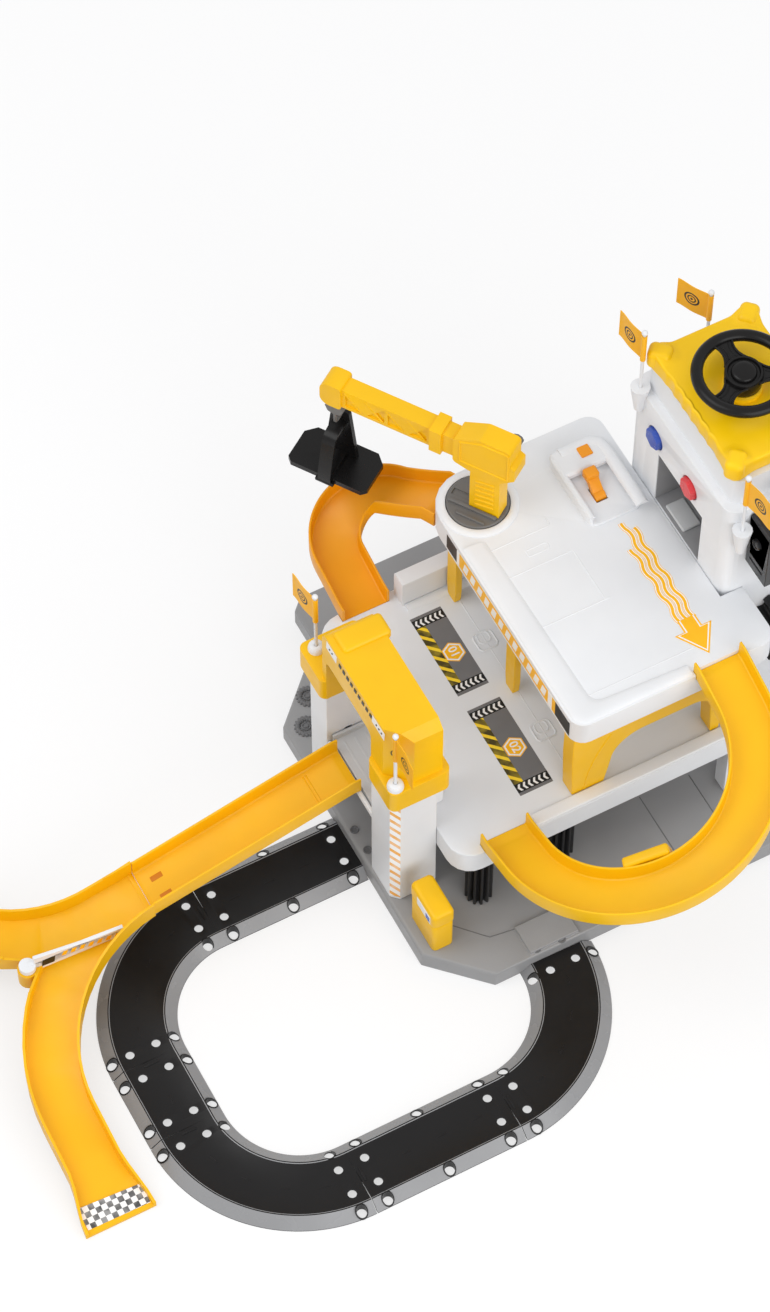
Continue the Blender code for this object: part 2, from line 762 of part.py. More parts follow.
def road_piece(name, start, heading, leg, tongue, edge_holes=False):
    """Build one piece of road: a swept shell with peg holes and a tongue under the next piece."""
    stations = walk(start, heading, [leg], 90 / ROAD_ARC_STEPS)
    first, last = stations[0], stations[-1]
    begin_way = Vector((math.cos(first[2]), math.sin(first[2]), 0))
    end_way = Vector((math.cos(last[2]), math.sin(last[2]), 0))
    begin, end = Vector((first[0], first[1], 0)), Vector((last[0], last[1], 0))
    path = [begin + begin_way * SEAT / 2, begin + begin_way * ROAD_END_STUB]
    path += [Vector((x, y, 0)) for x, y, _, _ in stations[1:-1]]
    path += [end - end_way * ROAD_END_STUB, end - end_way * SEAT / 2]
    profile = poly_curve("road_profile", road_section(), True, True)
    item = poly_curve("road", path, False, False)
    item.data.twist_mode = "Z_UP"
    item.data.bevel_mode = "OBJECT"
    item.data.bevel_object = profile
    item.data.use_fill_caps = True
    solid = to_mesh_object(item)
    bpy.data.objects.remove(profile, do_unlink=True)

    for joint, inward in ((begin, begin_way), (end, -end_way)):
        across = Vector((-inward.y, inward.x, 0))
        for offset in (-ROAD_HOLE_OUTER, -ROAD_HOLE_INNER, ROAD_HOLE_INNER, ROAD_HOLE_OUTER):
            hole = road_hole(joint + inward * ROAD_HOLE_FROM_JOINT + across * offset)
            cut(solid, hole)
    if edge_holes:
        across = Vector((-begin_way.y, begin_way.x, 0))
        for offset in (-ROAD_HOLE_OUTER, ROAD_HOLE_OUTER):
            hole = road_hole((begin + end) / 2 + across * offset)
            cut(solid, hole)
    if tongue:
        across = Vector((-end_way.y, end_way.x, 0))
        join(solid, tongue_bar(end, end_way, across))
    return finish_part(solid, name, ROAD_BLACK)


def road_hole(middle):
    """Return the cutter of one peg hole."""
    return rod(
        middle + Vector((0, 0, -REACH)),
        middle + Vector((0, 0, ROAD_HEIGHT + REACH)),
        ROAD_HOLE_RADIUS,
        ROAD_HOLE_SIDES,
    )


def tongue_bar(end, ahead, across):
    """Return the stepped bar that reaches from one road piece under the next one's top."""
    under = ROAD_HEIGHT - ROAD_WALL
    root, nose = -TONGUE_LENGTH, TONGUE_LENGTH
    rings = []
    for distance in (root, nose):
        ring = []
        for side, height in ((-1, 0), (1, 0), (1, 1), (-1, 1)):
            level = under - SEAT - TONGUE_THICKNESS * (1 - height)
            place = end + ahead * distance + across * side * TONGUE_WIDTH / 2
            ring.append(place + Vector((0, 0, level)))
        rings.append(ring)
    bar = loft(rings)
    low = end - ahead * TONGUE_LENGTH
    rise = loft([
        [
            low + ahead * step + across * side * TONGUE_WIDTH / 2 + Vector((0, 0, height))
            for side, height in (
                (-1, under - TONGUE_THICKNESS),
                (1, under - TONGUE_THICKNESS),
                (1, under + ROAD_WALL / 2),
                (-1, under + ROAD_WALL / 2),
            )
        ]
        for step in (0, TONGUE_LENGTH / 2)
    ])
    join(bar, rise)
    return bar


def build_road():
    """Build the six pieces of the road ring, in the order that a car meets them."""
    middle_x = ROAD_MIDDLE[0]
    rear_left_y = ROAD_REAR_LINE - ROAD_RADIUS
    front_left_y = ROAD_FRONT_LINE + ROAD_RADIUS
    end_x = ROAD_STRAIGHT_RIGHT + ROAD_RADIUS
    arc = ("arc", ROAD_RADIUS, -90)
    road_piece("road_curve_front_right", (end_x, BASE_FRONT - SEAT), -90, arc, True)
    road_piece(
        "road_straight_front",
        (ROAD_STRAIGHT_RIGHT, ROAD_FRONT_LINE),
        180,
        ("straight", ROAD_LONG_LENGTH),
        True,
        True,
    )
    road_piece("road_curve_front_left", (ROAD_STRAIGHT_LEFT, ROAD_FRONT_LINE), 180, arc, True)
    road_piece(
        "road_straight_left",
        (middle_x, front_left_y),
        90,
        ("straight", ROAD_SHORT_LENGTH),
        True,
    )
    road_piece("road_curve_rear_left", (middle_x, rear_left_y), 90, arc, True)
    road_piece(
        "road_straight_rear",
        (ROAD_STRAIGHT_LEFT, ROAD_REAR_LINE),
        0,
        ("straight", ROAD_LONG_LENGTH),
        False,
        True,
    )


# Base tray

def base_corners(inset=0.0):
    """Return the outline of the base tray with its cut corners and the step at its rear."""
    left, right = BASE_LEFT + inset, BASE_RIGHT - inset
    front, rear = BASE_FRONT + inset, BASE_REAR - inset
    slant = BASE_CHAMFER - inset * math.tan(math.radians(22.5))
    annex_left = BASE_LEFT + ANNEX_FROM_LEFT + inset
    annex_right = BASE_LEFT + ANNEX_FROM_LEFT + ANNEX_LENGTH - inset
    annex_rear = BASE_REAR + ANNEX_DEPTH - inset
    return [
        (left, front + slant, 0),
        (left + slant, front, 0),
        (right - slant, front, 0),
        (right, front + slant, 0),
        (right, rear, 0),
        (annex_right, rear, 0),
        (annex_right, annex_rear, 0),
        (annex_left + ANNEX_CHAMFER, annex_rear, 0),
        (annex_left, annex_rear - ANNEX_CHAMFER, 0),
        (annex_left, rear, 0),
        (left + slant, rear, 0),
        (left, rear - slant, 0),
    ]


def build_base():
    """Build the base tray: a moulded shell, open below, with ribs, feet and two road plates."""
    base = plate(base_corners(), 0, BASE_HEIGHT)
    soften_top(base, BASE_HEIGHT, BASE_EDGE_ROUND)
    cut(base, plate(base_corners(SKIN), -REACH, BASE_HEIGHT - SKIN))
    under = BASE_HEIGHT - SKIN + BITE
    for index in (-1, 0, 1):
        middle = index * BASE_RIB_PITCH
        join(base, box(
            (middle - BASE_RIB / 2, BASE_FRONT + BITE, BASE_RIB),
            (middle + BASE_RIB / 2, BASE_REAR - BITE, under),
        ))
    join(base, box(
        (BASE_LEFT + BITE, -BASE_RIB / 2, BASE_RIB),
        (BASE_RIGHT - BITE, BASE_RIB / 2, under),
    ))
    join(base, box((-BASE_BOSS, -BASE_BOSS, 0), (BASE_BOSS, BASE_BOSS, under)))
    plate_middle = ROAD_STRAIGHT_RIGHT + ROAD_RADIUS
    join(base, plate(
        rectangle(
            (plate_middle - ROAD_PLATE_WIDTH / 2, BASE_FRONT + BASE_EDGE_ROUND),
            (plate_middle + ROAD_PLATE_WIDTH / 2, BASE_FRONT + ROAD_PLATE_DEPTH),
        ),
        BASE_HEIGHT - BITE,
        BASE_HEIGHT + ROAD_PLATE_HEIGHT,
    ))
    for x, y in ROLLER_PLACES:
        cut(base, rod(
            (x, y, BASE_HEIGHT - ROLLER_PIN_LENGTH - SEAT),
            (x, y, BASE_HEIGHT + REACH),
            ROLLER_PIN_RADIUS + RUN / 2,
            12,
        ))
    return finish_part(base, "base_tray", BASE_GREY)


def build_pump():
    """Build the fuel pump that stands at the front left corner of the base."""
    low = BASE_HEIGHT + SEAT
    right = PUMP_LEFT + PUMP_SIZE[0]
    rear = PUMP_FRONT + PUMP_SIZE[1]
    side = [
        (PUMP_FRONT, low, 0),
        (rear, low, 0),
        (rear, low + PUMP_SIZE[2], PUMP_ROUND),
        (PUMP_FRONT, low + PUMP_SIZE[2], PUMP_ROUND),
    ]
    pump = plate(side, PUMP_LEFT, right, "YZ")
    groove = PUMP_SIZE[2] * 0.72
    band = 1.2 * MM
    for level in (low + groove, low + groove - 4 * band):
        cut(pump, box(
            (PUMP_LEFT - REACH, PUMP_FRONT - REACH, level),
            (right + REACH, PUMP_FRONT + band, level + band),
        ))
    return finish_part(pump, "fuel_pump", YELLOW)


def build_rollers():
    """Build the two ribbed washing rollers that turn between the base and the lower deck."""
    low, high = BASE_HEIGHT + SEAT, DECK_ONE_LOW - RUN
    names = ("wash_roller_front_left", "wash_roller_front_middle")
    for name, (x, y) in zip(names, ROLLER_PLACES):
        corners = []
        for rib in range(ROLLER_RIBS):
            for share, radius in ((0.0, ROLLER_CORE_RADIUS), (0.3, ROLLER_RADIUS), (0.6, ROLLER_RADIUS)):
                angle = 2 * math.pi * (rib + share) / ROLLER_RIBS
                corners.append((x + radius * math.cos(angle), y + radius * math.sin(angle), 0))
        roller = plate(corners, low, high)
        join(roller, rod((x, y, low - ROLLER_PIN_LENGTH), (x, y, low + BITE), ROLLER_PIN_RADIUS, 12))
        join(roller, rod((x, y, high - BITE), (x, y, high + ROLLER_PIN_LENGTH), ROLLER_PIN_RADIUS, 12))
        move_origin(roller, (x, y, low))
        finish_part(roller, name, BLACK)


# Lift

def build_pillars():
    """Build the two hollow pillars of the lift, with guide grooves and the long ramp's sill."""
    low = BASE_HEIGHT + SEAT
    front = plate(
        [
            (LIFT_LEFT, LIFT_FRONT + PILLAR_CHAMFER, 0),
            (LIFT_LEFT + PILLAR_CHAMFER, LIFT_FRONT, 0),
            (LIFT_RIGHT, LIFT_FRONT, 0),
            (LIFT_RIGHT, SHAFT_FRONT, 0),
            (LIFT_LEFT, SHAFT_FRONT, 0),
        ],
        low,
        PILLAR_TOP,
    )
    wing_right = LIFT_RIGHT + PILLAR_WING_LENGTH
    wing_front = SHAFT_FRONT - PILLAR_WING_DEPTH
    join(front, plate(
        [
            (LIFT_RIGHT - BITE, wing_front, 0),
            (wing_right - PILLAR_WING_DEPTH * 0.6, wing_front, 3 * MM),
            (wing_right, SHAFT_FRONT, 0),
            (LIFT_RIGHT - BITE, SHAFT_FRONT, 0),
        ],
        DECK_ONE_TOP + SEAT,
        PILLAR_TOP,
    ))
    sill_top = DECK_ONE_TOP - RAMP_WALL - SEAT
    join(front, box(
        (LIFT_LEFT, SHAFT_FRONT - BITE, sill_top - SILL_HEIGHT),
        (LIFT_LEFT + SILL_DEPTH, SHAFT_REAR - SEAT, sill_top),
    ))
    rear_end = SHAFT_REAR + LIFT_REAR_DEPTH
    rear = plate(rectangle((LIFT_LEFT, SHAFT_REAR), (LIFT_RIGHT, rear_end)), low, PILLAR_TOP)
    groove_middle = (LIFT_LEFT + LIFT_RIGHT) / 2
    groove_left, groove_right = groove_middle - GROOVE_WIDTH / 2, groove_middle + GROOVE_WIDTH / 2
    cut(front, box(
        (groove_left, SHAFT_FRONT - GROOVE_DEPTH, low - REACH),
        (groove_right, SHAFT_FRONT + REACH, DECK_ONE_TOP + CAR_LIP_HEIGHT),
    ))
    cut(rear, box(
        (groove_left, SHAFT_REAR - REACH, low - REACH),
        (groove_right, SHAFT_REAR + GROOVE_DEPTH, DECK_ONE_TOP + CAR_LIP_HEIGHT),
    ))
    hollow_left, hollow_right = LIFT_LEFT + SKIN, LIFT_RIGHT - SKIN
    hollow_top = PILLAR_TOP - SKIN
    front_hollow_low = LIFT_FRONT + PILLAR_CHAMFER + SKIN
    cut(front, box(
        (hollow_left, front_hollow_low, low - REACH),
        (hollow_right, SHAFT_FRONT - GROOVE_DEPTH - SKIN, hollow_top),
    ))
    cut(rear, box(
        (hollow_left, SHAFT_REAR + GROOVE_DEPTH + SKIN, low - REACH),
        (hollow_right, rear_end - SKIN, hollow_top),
    ))
    finish_part(front, "lift_pillar_front", WHITE)
    finish_part(rear, "lift_pillar_rear", WHITE)


def build_lift_car():
    """Build the platform that carries a car between the floor and the lower deck."""
    left, right = LIFT_LEFT + 4 * MM, LIFT_RIGHT - CAR_SIDE_GAP
    front, rear = SHAFT_FRONT + CAR_SIDE_GAP, SHAFT_REAR - CAR_SIDE_GAP
    low, top = DECK_ONE_TOP - CAR_THICKNESS, DECK_ONE_TOP
    car = box((left, front, low), (right, rear, top))
    for lip_front, lip_rear in ((front, front + CAR_LIP_WIDTH), (rear - CAR_LIP_WIDTH, rear)):
        join(car, box((left, lip_front, top - BITE), (right, lip_rear, top + CAR_LIP_HEIGHT - RUN)))
    groove_middle = (LIFT_LEFT + LIFT_RIGHT) / 2
    tab_left = groove_middle - GROOVE_WIDTH / 2 + RUN
    tab_right = groove_middle + GROOVE_WIDTH / 2 - RUN
    join(car, box(
        (tab_left, SHAFT_FRONT - GROOVE_DEPTH + RUN, low),
        (tab_right, SHAFT_REAR + GROOVE_DEPTH - RUN, top - BITE),
    ))
    return finish_part(car, "lift_car", LIGHT_GREY)


def build_hood():
    """Build the yellow hood: an arched shell on two rims that rest on the pillars."""
    rear_leg = SHAFT_REAR - BITE
    top = HOOD_TOP
    under = HOOD_LOW + HOOD_ARCH_RISE
    rear_face = SHAFT_REAR + HOOD_REAR_STEP
    side = [
        (LIFT_FRONT, HOOD_LOW, 0),
        (SHAFT_FRONT, HOOD_LOW, 0),
        (SHAFT_FRONT, under, HOOD_RIM_ROUND),
        (rear_leg, under, HOOD_RIM_ROUND),
        (rear_leg, HOOD_LOW, 0),
        (rear_face, HOOD_LOW, 0),
        (rear_face, top, HOOD_REAR_ROUND),
        (LIFT_FRONT + HOOD_FRONT_CHAMFER, top, 0),
        (LIFT_FRONT, top - HOOD_FRONT_CHAMFER, 0),
    ]
    left, right = LIFT_LEFT, LIFT_RIGHT + 4 * MM
    hood = plate(side, left, right, "YZ")
    facet = HOOD_FACET
    cut(hood, plate(
        [
            (left - REACH, LIFT_FRONT - REACH, 0),
            (left + facet + REACH, LIFT_FRONT - REACH, 0),
            (left - REACH, LIFT_FRONT + facet + REACH, 0),
        ],
        HOOD_LOW - REACH,
        top + REACH,
    ))
    rim_left, rim_right = LIFT_LEFT - HOOD_RIM_OUT, LIFT_RIGHT + HOOD_RIM_RIGHT
    front_rim = plate(
        rectangle((rim_left, LIFT_FRONT - HOOD_RIM_OUT), (rim_right, SHAFT_FRONT), HOOD_RIM_ROUND),
        HOOD_LOW,
        HOOD_LOW + HOOD_RIM_HEIGHT,
    )
    rear_rim = plate(
        rectangle(
            (rim_left, SHAFT_REAR - BITE),
            (rim_right, SHAFT_REAR + HOOD_REAR_LENGTH - BITE),
            HOOD_RIM_ROUND,
        ),
        HOOD_LOW,
        HOOD_LOW + HOOD_RIM_HEIGHT,
    )
    soften_top(front_rim, HOOD_LOW + HOOD_RIM_HEIGHT, 1.5 * MM)
    soften_top(rear_rim, HOOD_LOW + HOOD_RIM_HEIGHT, 1.5 * MM)
    join(hood, front_rim, rear_rim)
    hollow_front = LIFT_FRONT + SKIN + HOOD_FRONT_CHAMFER / 2
    hollow_rear = rear_face - SKIN - HOOD_REAR_ROUND / 3
    cut(hood, plate(
        [
            (left + facet + SKIN / 2, hollow_front, 0),
            (right - SKIN, hollow_front, 0),
            (right - SKIN, hollow_rear, 0),
            (left + SKIN, hollow_rear, 0),
            (left + SKIN, LIFT_FRONT + facet + SKIN, 0),
        ],
        HOOD_LOW - REACH,
        top - SKIN - HOOD_FRONT_CHAMFER / 3,
    ))
    for place in hood_flag_places():
        cut(hood, rod(
            place - Vector((0, 0, FLAG_CUP_HEIGHT)),
            place + Vector((0, 0, REACH)),
            FLAG_POLE_RADIUS + SEAT / 2,
            10,
        ))
        join(hood, flag_cup(place))
    return finish_part(hood, "lift_hood", YELLOW)


def hood_flag_places():
    """Return the points on the hood's rims where its two flags stand."""
    level = HOOD_LOW + HOOD_RIM_HEIGHT
    return [
        Vector((LIFT_LEFT + HOOD_FLAG_INSET, LIFT_FRONT + HOOD_FLAG_INSET, level)),
        Vector((LIFT_LEFT + HOOD_REAR_FLAG_INSET, SHAFT_REAR + HOOD_REAR_FLAG_BACK, level)),
    ]


def flag_cup(place):
    """Return the ring that holds a flag pole, sunk a little into what carries it."""
    cup = rod(
        place - Vector((0, 0, BITE)),
        place + Vector((0, 0, FLAG_CUP_HEIGHT)),
        FLAG_CUP_RADIUS,
        16,
    )
    cut(cup, rod(
        place - Vector((0, 0, REACH)),
        place + Vector((0, 0, FLAG_CUP_HEIGHT + REACH)),
        FLAG_POLE_RADIUS + SEAT / 2,
        10,
    ))
    return cup


# Decks

def build_deck_one():
    """Build the lower deck: a moulded shell with a rear parapet, two ramp notches and legs."""
    deck = plate(deck_one_corners(), DECK_ONE_LOW, DECK_ONE_TOP)
    soften_top(deck, DECK_ONE_TOP, DECK_EDGE_ROUND)
    notch_low = DECK_ONE_TOP - RAMP_WALL - SEAT
    half = RAMP_WIDTH / 2 + SEAT
    front_notch = box(
        (SIDE_RAMP_MIDDLE - half, DECK_ONE_FRONT - REACH, notch_low),
        (SIDE_RAMP_MIDDLE + half, DECK_ONE_FRONT + RAMP_SINK, DECK_ONE_TOP + REACH),
    )
    rear_notch = box(
        (REAR_RAMP_LANDING - half, DECK_ONE_REAR - RAMP_SINK, notch_low),
        (REAR_RAMP_LANDING + half, DECK_ONE_REAR + REACH, DECK_ONE_TOP + REACH),
    )
    roof_under = notch_low - SKIN
    cut(deck, plate(deck_one_corners(SKIN), DECK_ONE_LOW - REACH, roof_under))
    cut(deck, front_notch, rear_notch)
    parapet = plate(
        rectangle(
            (PARAPET_LEFT, DECK_ONE_REAR - PARAPET_INSET - PARAPET_DEPTH),
            (DECK_RIGHT, DECK_ONE_REAR - PARAPET_INSET),
        ),
        DECK_ONE_TOP - BITE,
        DECK_ONE_TOP + PARAPET_HEIGHT,
    )
    soften_top(parapet, DECK_ONE_TOP + PARAPET_HEIGHT, 2 * MM)
    join(deck, parapet)
    leg = DECK_LEG_SIZE
    edge = SKIN / 2
    leg_corners = (
        (DECK_ONE_LEFT + DECK_ONE_REAR_ROUND, DECK_ONE_REAR - edge - leg),
        (DECK_RIGHT - edge - leg, DECK_ONE_REAR - edge - leg),
        (DECK_RIGHT - edge - leg, DECK_ONE_FRONT + edge),
        (-leg / 2, DECK_ONE_REAR - edge - leg),
    )
    for x, y in leg_corners:
        join(deck, box(
            (x, y, BASE_HEIGHT + SEAT),
            (x + leg, y + leg, roof_under + BITE),
        ))
    for x, y in ROLLER_PLACES:
        hub = rod(
            (x, y, DECK_ONE_LOW),
            (x, y, roof_under + BITE),
            ROLLER_PIN_RADIUS * 2.4,
            12,
        )
        join(deck, hub)
        cut(deck, rod(
            (x, y, DECK_ONE_LOW - REACH),
            (x, y, DECK_ONE_LOW + ROLLER_PIN_LENGTH + SEAT),
            ROLLER_PIN_RADIUS + RUN / 2,
            12,
        ))
    return finish_part(deck, "deck_lower", WHITE)


def deck_one_corners(inset=0.0):
    """Return the outline of the lower deck, drawn in by an inset."""
    left, right = DECK_ONE_LEFT + inset, DECK_RIGHT - inset
    front, rear = DECK_ONE_FRONT + inset, DECK_ONE_REAR - inset
    return [
        (left, front, DECK_ONE_FRONT_ROUND - inset),
        (right, front, 0),
        (right, rear, 0),
        (left, rear, DECK_ONE_REAR_ROUND - inset),
    ]


def deck_two_corners(inset=0.0):
    """Return the outline of the upper deck, with its nose in front of the tower."""
    left, right = DECK_TWO_LEFT + inset, DECK_RIGHT - inset
    front, rear = DECK_TWO_FRONT + inset, DECK_TWO_REAR - inset
    nose_right, nose_rear = DECK_TWO_NOSE_RIGHT - inset, TOWER_FRONT - SEAT - inset
    return [
        (left, front, DECK_TWO_ROUND - inset),
        (nose_right, front, DECK_TWO_ROUND - inset),
        (nose_right, nose_rear, 0),
        (right, nose_rear, 0),
        (right, rear, DECK_TWO_ROUND - inset),
        (left, rear, TURNTABLE_CORNER_ROUND - inset),
    ]


def build_deck_two():
    """Build the upper deck: a moulded shell with the crane's well, the console and its landing."""
    deck = plate(deck_two_corners(), DECK_TWO_LOW, DECK_TWO_TOP)
    soften_top(deck, DECK_TWO_TOP, DECK_EDGE_ROUND)
    half = RAMP_WIDTH / 2 + SEAT
    landing_low = DECK_TWO_TOP - SIDE_RAMP_TOP_STEP - RAMP_WALL - SEAT
    roof_under = landing_low - SKIN
    cut(deck, plate(deck_two_corners(SKIN), DECK_TWO_LOW - REACH, roof_under))
    cut(deck, box(
        (SIDE_RAMP_UPPER_MIDDLE - half, DECK_TWO_FRONT - REACH, landing_low),
        (SIDE_RAMP_UPPER_MIDDLE + half, DECK_TWO_FRONT + LANDING_INSET, DECK_TWO_TOP + REACH),
    ))
    middle = Vector((*CRANE_MIDDLE, 0))
    well_low = DECK_TWO_TOP - TURNTABLE_WELL
    join(deck, rod(
        middle + Vector((0, 0, DECK_TWO_LOW + SEAT)),
        middle + Vector((0, 0, DECK_TWO_TOP - BITE)),
        DISC_RADIUS + RUN + SKIN,
        32,
    ))
    cut(deck, rod(
        middle + Vector((0, 0, well_low)),
        middle + Vector((0, 0, DECK_TWO_TOP + REACH)),
        DISC_RADIUS + RUN,
        32,
    ))
    cut(deck, rod(
        middle + Vector((0, 0, well_low - DISC_PIN_LENGTH - SEAT)),
        middle + Vector((0, 0, well_low + REACH)),
        DISC_PIN_RADIUS + RUN,
        16,
    ))
    console = plate(
        rectangle((CONSOLE_LEFT, CONSOLE_FRONT), (CONSOLE_RIGHT, CONSOLE_REAR), 8 * MM),
        DECK_TWO_TOP - BITE,
        DECK_TWO_TOP + CONSOLE_HEIGHT,
    )
    soften_top(console, DECK_TWO_TOP + CONSOLE_HEIGHT, 2.5 * MM)
    join(deck, console)
    cut(deck, plate(
        rectangle(
            (CONSOLE_LEFT + CONSOLE_WALL, CONSOLE_FRONT - REACH),
            (CONSOLE_RIGHT - CONSOLE_WALL, CONSOLE_TRAY_REAR),
            2 * MM,
        ),
        DECK_TWO_TOP + CONSOLE_HEIGHT - CONSOLE_TRAY_DROP,
        DECK_TWO_TOP + CONSOLE_HEIGHT + REACH,
    ))
    cut(deck, *key_well(), *tiller_well())
    return finish_part(deck, "deck_upper", WHITE)


def build_legs():
    """Build the yellow portal and the two side legs that carry the upper deck."""
    low, high = DECK_ONE_TOP + SEAT, DECK_TWO_LOW - SEAT
    front = [
        (PORTAL_LEFT, low, 0),
        (PORTAL_LEFT + PORTAL_FOOT, low, 0),
        (PORTAL_LEFT + PORTAL_CROWN, high - PORTAL_CROWN, PORTAL_BEND),
        (PORTAL_RIGHT - PORTAL_CROWN, high - PORTAL_CROWN, PORTAL_BEND),
        (PORTAL_RIGHT - PORTAL_FOOT, low, 0),
        (PORTAL_RIGHT, low, 0),
        (PORTAL_RIGHT + PORTAL_FOOT / 2, high, 0),
        (PORTAL_LEFT - PORTAL_FOOT / 3, high, 0),
    ]
    portal = plate(front, PORTAL_FRONT, PORTAL_FRONT + PORTAL_DEPTH, "XZ")
    finish_part(portal, "portal_frame", YELLOW)
    for name, middle in SIDE_LEG_PLACES:
        outline = [
            (middle - SIDE_LEG_FOOT / 2, low, 0),
            (middle + SIDE_LEG_FOOT / 2, low, 0),
            (middle + SIDE_LEG_DEPTH / 2, low + SIDE_LEG_DEPTH, 0),
            (middle + SIDE_LEG_DEPTH / 2, high, 0),
            (middle - SIDE_LEG_DEPTH / 2, high, 0),
            (middle - SIDE_LEG_DEPTH / 2, low + SIDE_LEG_DEPTH, 0),
        ]
        leg = plate(outline, SIDE_LEG_LEFT, SIDE_LEG_LEFT + SIDE_LEG_WIDTH, "YZ")
        finish_part(leg, name, YELLOW)


# Ramps

def build_long_ramp():
    """Build the straight ramp from the lift down to the fork."""
    run_length = LONG_RAMP_LENGTH
    start = Vector((LONG_RAMP_RIGHT, LONG_RAMP_Y, DECK_ONE_TOP))
    path = [
        start,
        start - Vector((RAMP_LEVEL_END, 0, 0)),
        start - Vector((run_length - RAMP_FOOT_END, 0, LONG_RAMP_DROP)),
        start - Vector((run_length, 0, LONG_RAMP_DROP)),
    ]
    ramp = channel(path)
    return finish_part(ramp, "ramp_long", YELLOW)


def build_side_ramp():
    """Build the half-round ramp from the lower deck's front up to the upper deck's front."""
    start = (SIDE_RAMP_MIDDLE, DECK_ONE_FRONT + RAMP_SINK - SEAT)
    first_leg = RAMP_SINK - SEAT + SIDE_RAMP_STRAIGHT
    turn_y = start[1] - first_leg
    last_leg = DECK_TWO_FRONT + LANDING_INSET - SEAT - turn_y
    stations = walk(
        start,
        -90,
        [
            ("straight", RAMP_SINK),
            ("straight", first_leg - RAMP_SINK),
            ("arc", SIDE_RAMP_RADIUS, 180),
            ("straight", last_leg - RAMP_LEVEL_END),
            ("straight", RAMP_LEVEL_END),
        ],
        180 / RAMP_ARC_STEPS,
    )
    total = stations[-1][3]
    rise = DECK_TWO_TOP - SIDE_RAMP_TOP_STEP - DECK_ONE_TOP
    path = []
    for x, y, _, travelled in stations:
        share = (travelled - RAMP_SINK) / (total - RAMP_SINK - RAMP_LEVEL_END)
        share = min(max(share, 0.0), 1.0)
        path.append((x, y, DECK_ONE_TOP + rise * share))
    ramp = channel(path)
    return finish_part(ramp, "ramp_side", YELLOW)


def build_rear_ramp():
    """Build the hooked ramp from the upper deck's crane corner down to the lower deck's rear."""
    angle = math.radians(REAR_RAMP_ANGLE)
    reach = TURNTABLE_CORNER_ROUND - REACH
    start = (
        CRANE_MIDDLE[0] + reach * math.cos(angle),
        CRANE_MIDDLE[1] + reach * math.sin(angle),
    )
    stations = walk(
        start,
        REAR_RAMP_ANGLE,
        [
            ("straight", REACH + RAMP_LEVEL_END),
            ("straight", REAR_RAMP_STRAIGHT),
            ("arc", REAR_RAMP_RADIUS, 270 - REAR_RAMP_ANGLE),
        ],
        180 / RAMP_ARC_STEPS,
    )
    shift = REAR_RAMP_LANDING - stations[-1][0]
    landing_y = DECK_ONE_REAR - RAMP_SINK + SEAT
    x, y, heading, travelled = stations[-1]
    stations.append((x, landing_y + RAMP_SINK, heading, travelled + y - landing_y - RAMP_SINK))
    stations.append((x, landing_y, heading, travelled + y - landing_y))
    top = DECK_TWO_TOP - REAR_RAMP_TOP_DROP
    drop = top - DECK_ONE_TOP
    level = REACH + RAMP_LEVEL_END
    total = stations[-1][3] - RAMP_SINK - level
    path = []
    for index, (x, y, _, travelled) in enumerate(stations):
        share = min(max((travelled - level) / total, 0.0), 1.0)
        sag = share + 0.4 * share * (1 - share)
        slide = shift * ease(share) if index > 1 else 0.0
        path.append((x + slide, y, top - drop * sag))
    ramp = channel(path)
    cut(ramp, plate(deck_two_corners(-SEAT), DECK_TWO_LOW - SEAT, DECK_TWO_TOP + REACH))
    return finish_part(ramp, "ramp_rear", YELLOW)


def fork_floor(travelled, total):
    """Return the height of the fork's floor: a slope that eases until it meets the ground."""
    start, end = LONG_RAMP_END_FLOOR, RAMP_WALL
    bend = (end - start + FORK_FIRST_SLOPE * total) / (total * total)
    return start - FORK_FIRST_SLOPE * travelled + bend * travelled * travelled


def fork_branch(stations, floors, widths, sides):
    """Return a branch of the fork as a solid block, and the space that a car needs in it."""
    block, space = [], []
    last = len(stations) - 1
    for index, (x, y, heading, _) in enumerate(stations):
        across = Vector((-math.sin(heading), math.cos(heading), 0))
        ahead = Vector((math.cos(heading), math.sin(heading), 0))
        half, side = widths[index] / 2, sides[index]
        middle = Vector((x, y, floors[index]))
        block.append([
            middle - across * half - Vector((0, 0, RAMP_WALL)),
            middle + across * half - Vector((0, 0, RAMP_WALL)),
            middle + across * half + Vector((0, 0, side)),
            middle - across * half + Vector((0, 0, side)),
        ])
        push = ahead * (REACH if index == last else -REACH if index == 0 else 0)
        inner = half - RAMP_WALL
        high = Vector((0, 0, RAMP_SIDE + REACH))
        space.append([
            middle + push - across * inner,
            middle + push + across * inner,
            middle + push + across * inner + high,
            middle + push - across * inner + high,
        ])
    return loft(block), loft(space)


def fork_stations(near):
    """Return the stations of the near branch, or of the far one, of the fork."""
    start = (LONG_RAMP_LEFT - SEAT, LONG_RAMP_Y)
    if near:
        tail = FORK_NEAR_STRAIGHT
        stations = walk(start, 180, [("arc", FORK_NEAR_RADIUS, FORK_TURN)], FORK_TURN / FORK_STEPS * 2)
    else:
        tail = FORK_FAR_TAIL
        start = (start[0] - FORK_FAR_START, start[1])
        legs = [("straight", FORK_FAR_STRAIGHT - FORK_FAR_START), ("arc", FORK_FAR_RADIUS, -FORK_TURN)]
        stations = walk(start, 180, legs, FORK_TURN / FORK_STEPS * 2)
        stations = [(x, y, heading, far + FORK_FAR_START) for x, y, heading, far in stations]
    x, y, heading, travelled = stations[-1]
    way = 1 if math.sin(heading) > 0 else -1
    steps = 8
    for step in range(1, steps + 1):
        stations.append((x, y + way * tail * step / steps, heading, travelled + tail * step / steps))
    return stations


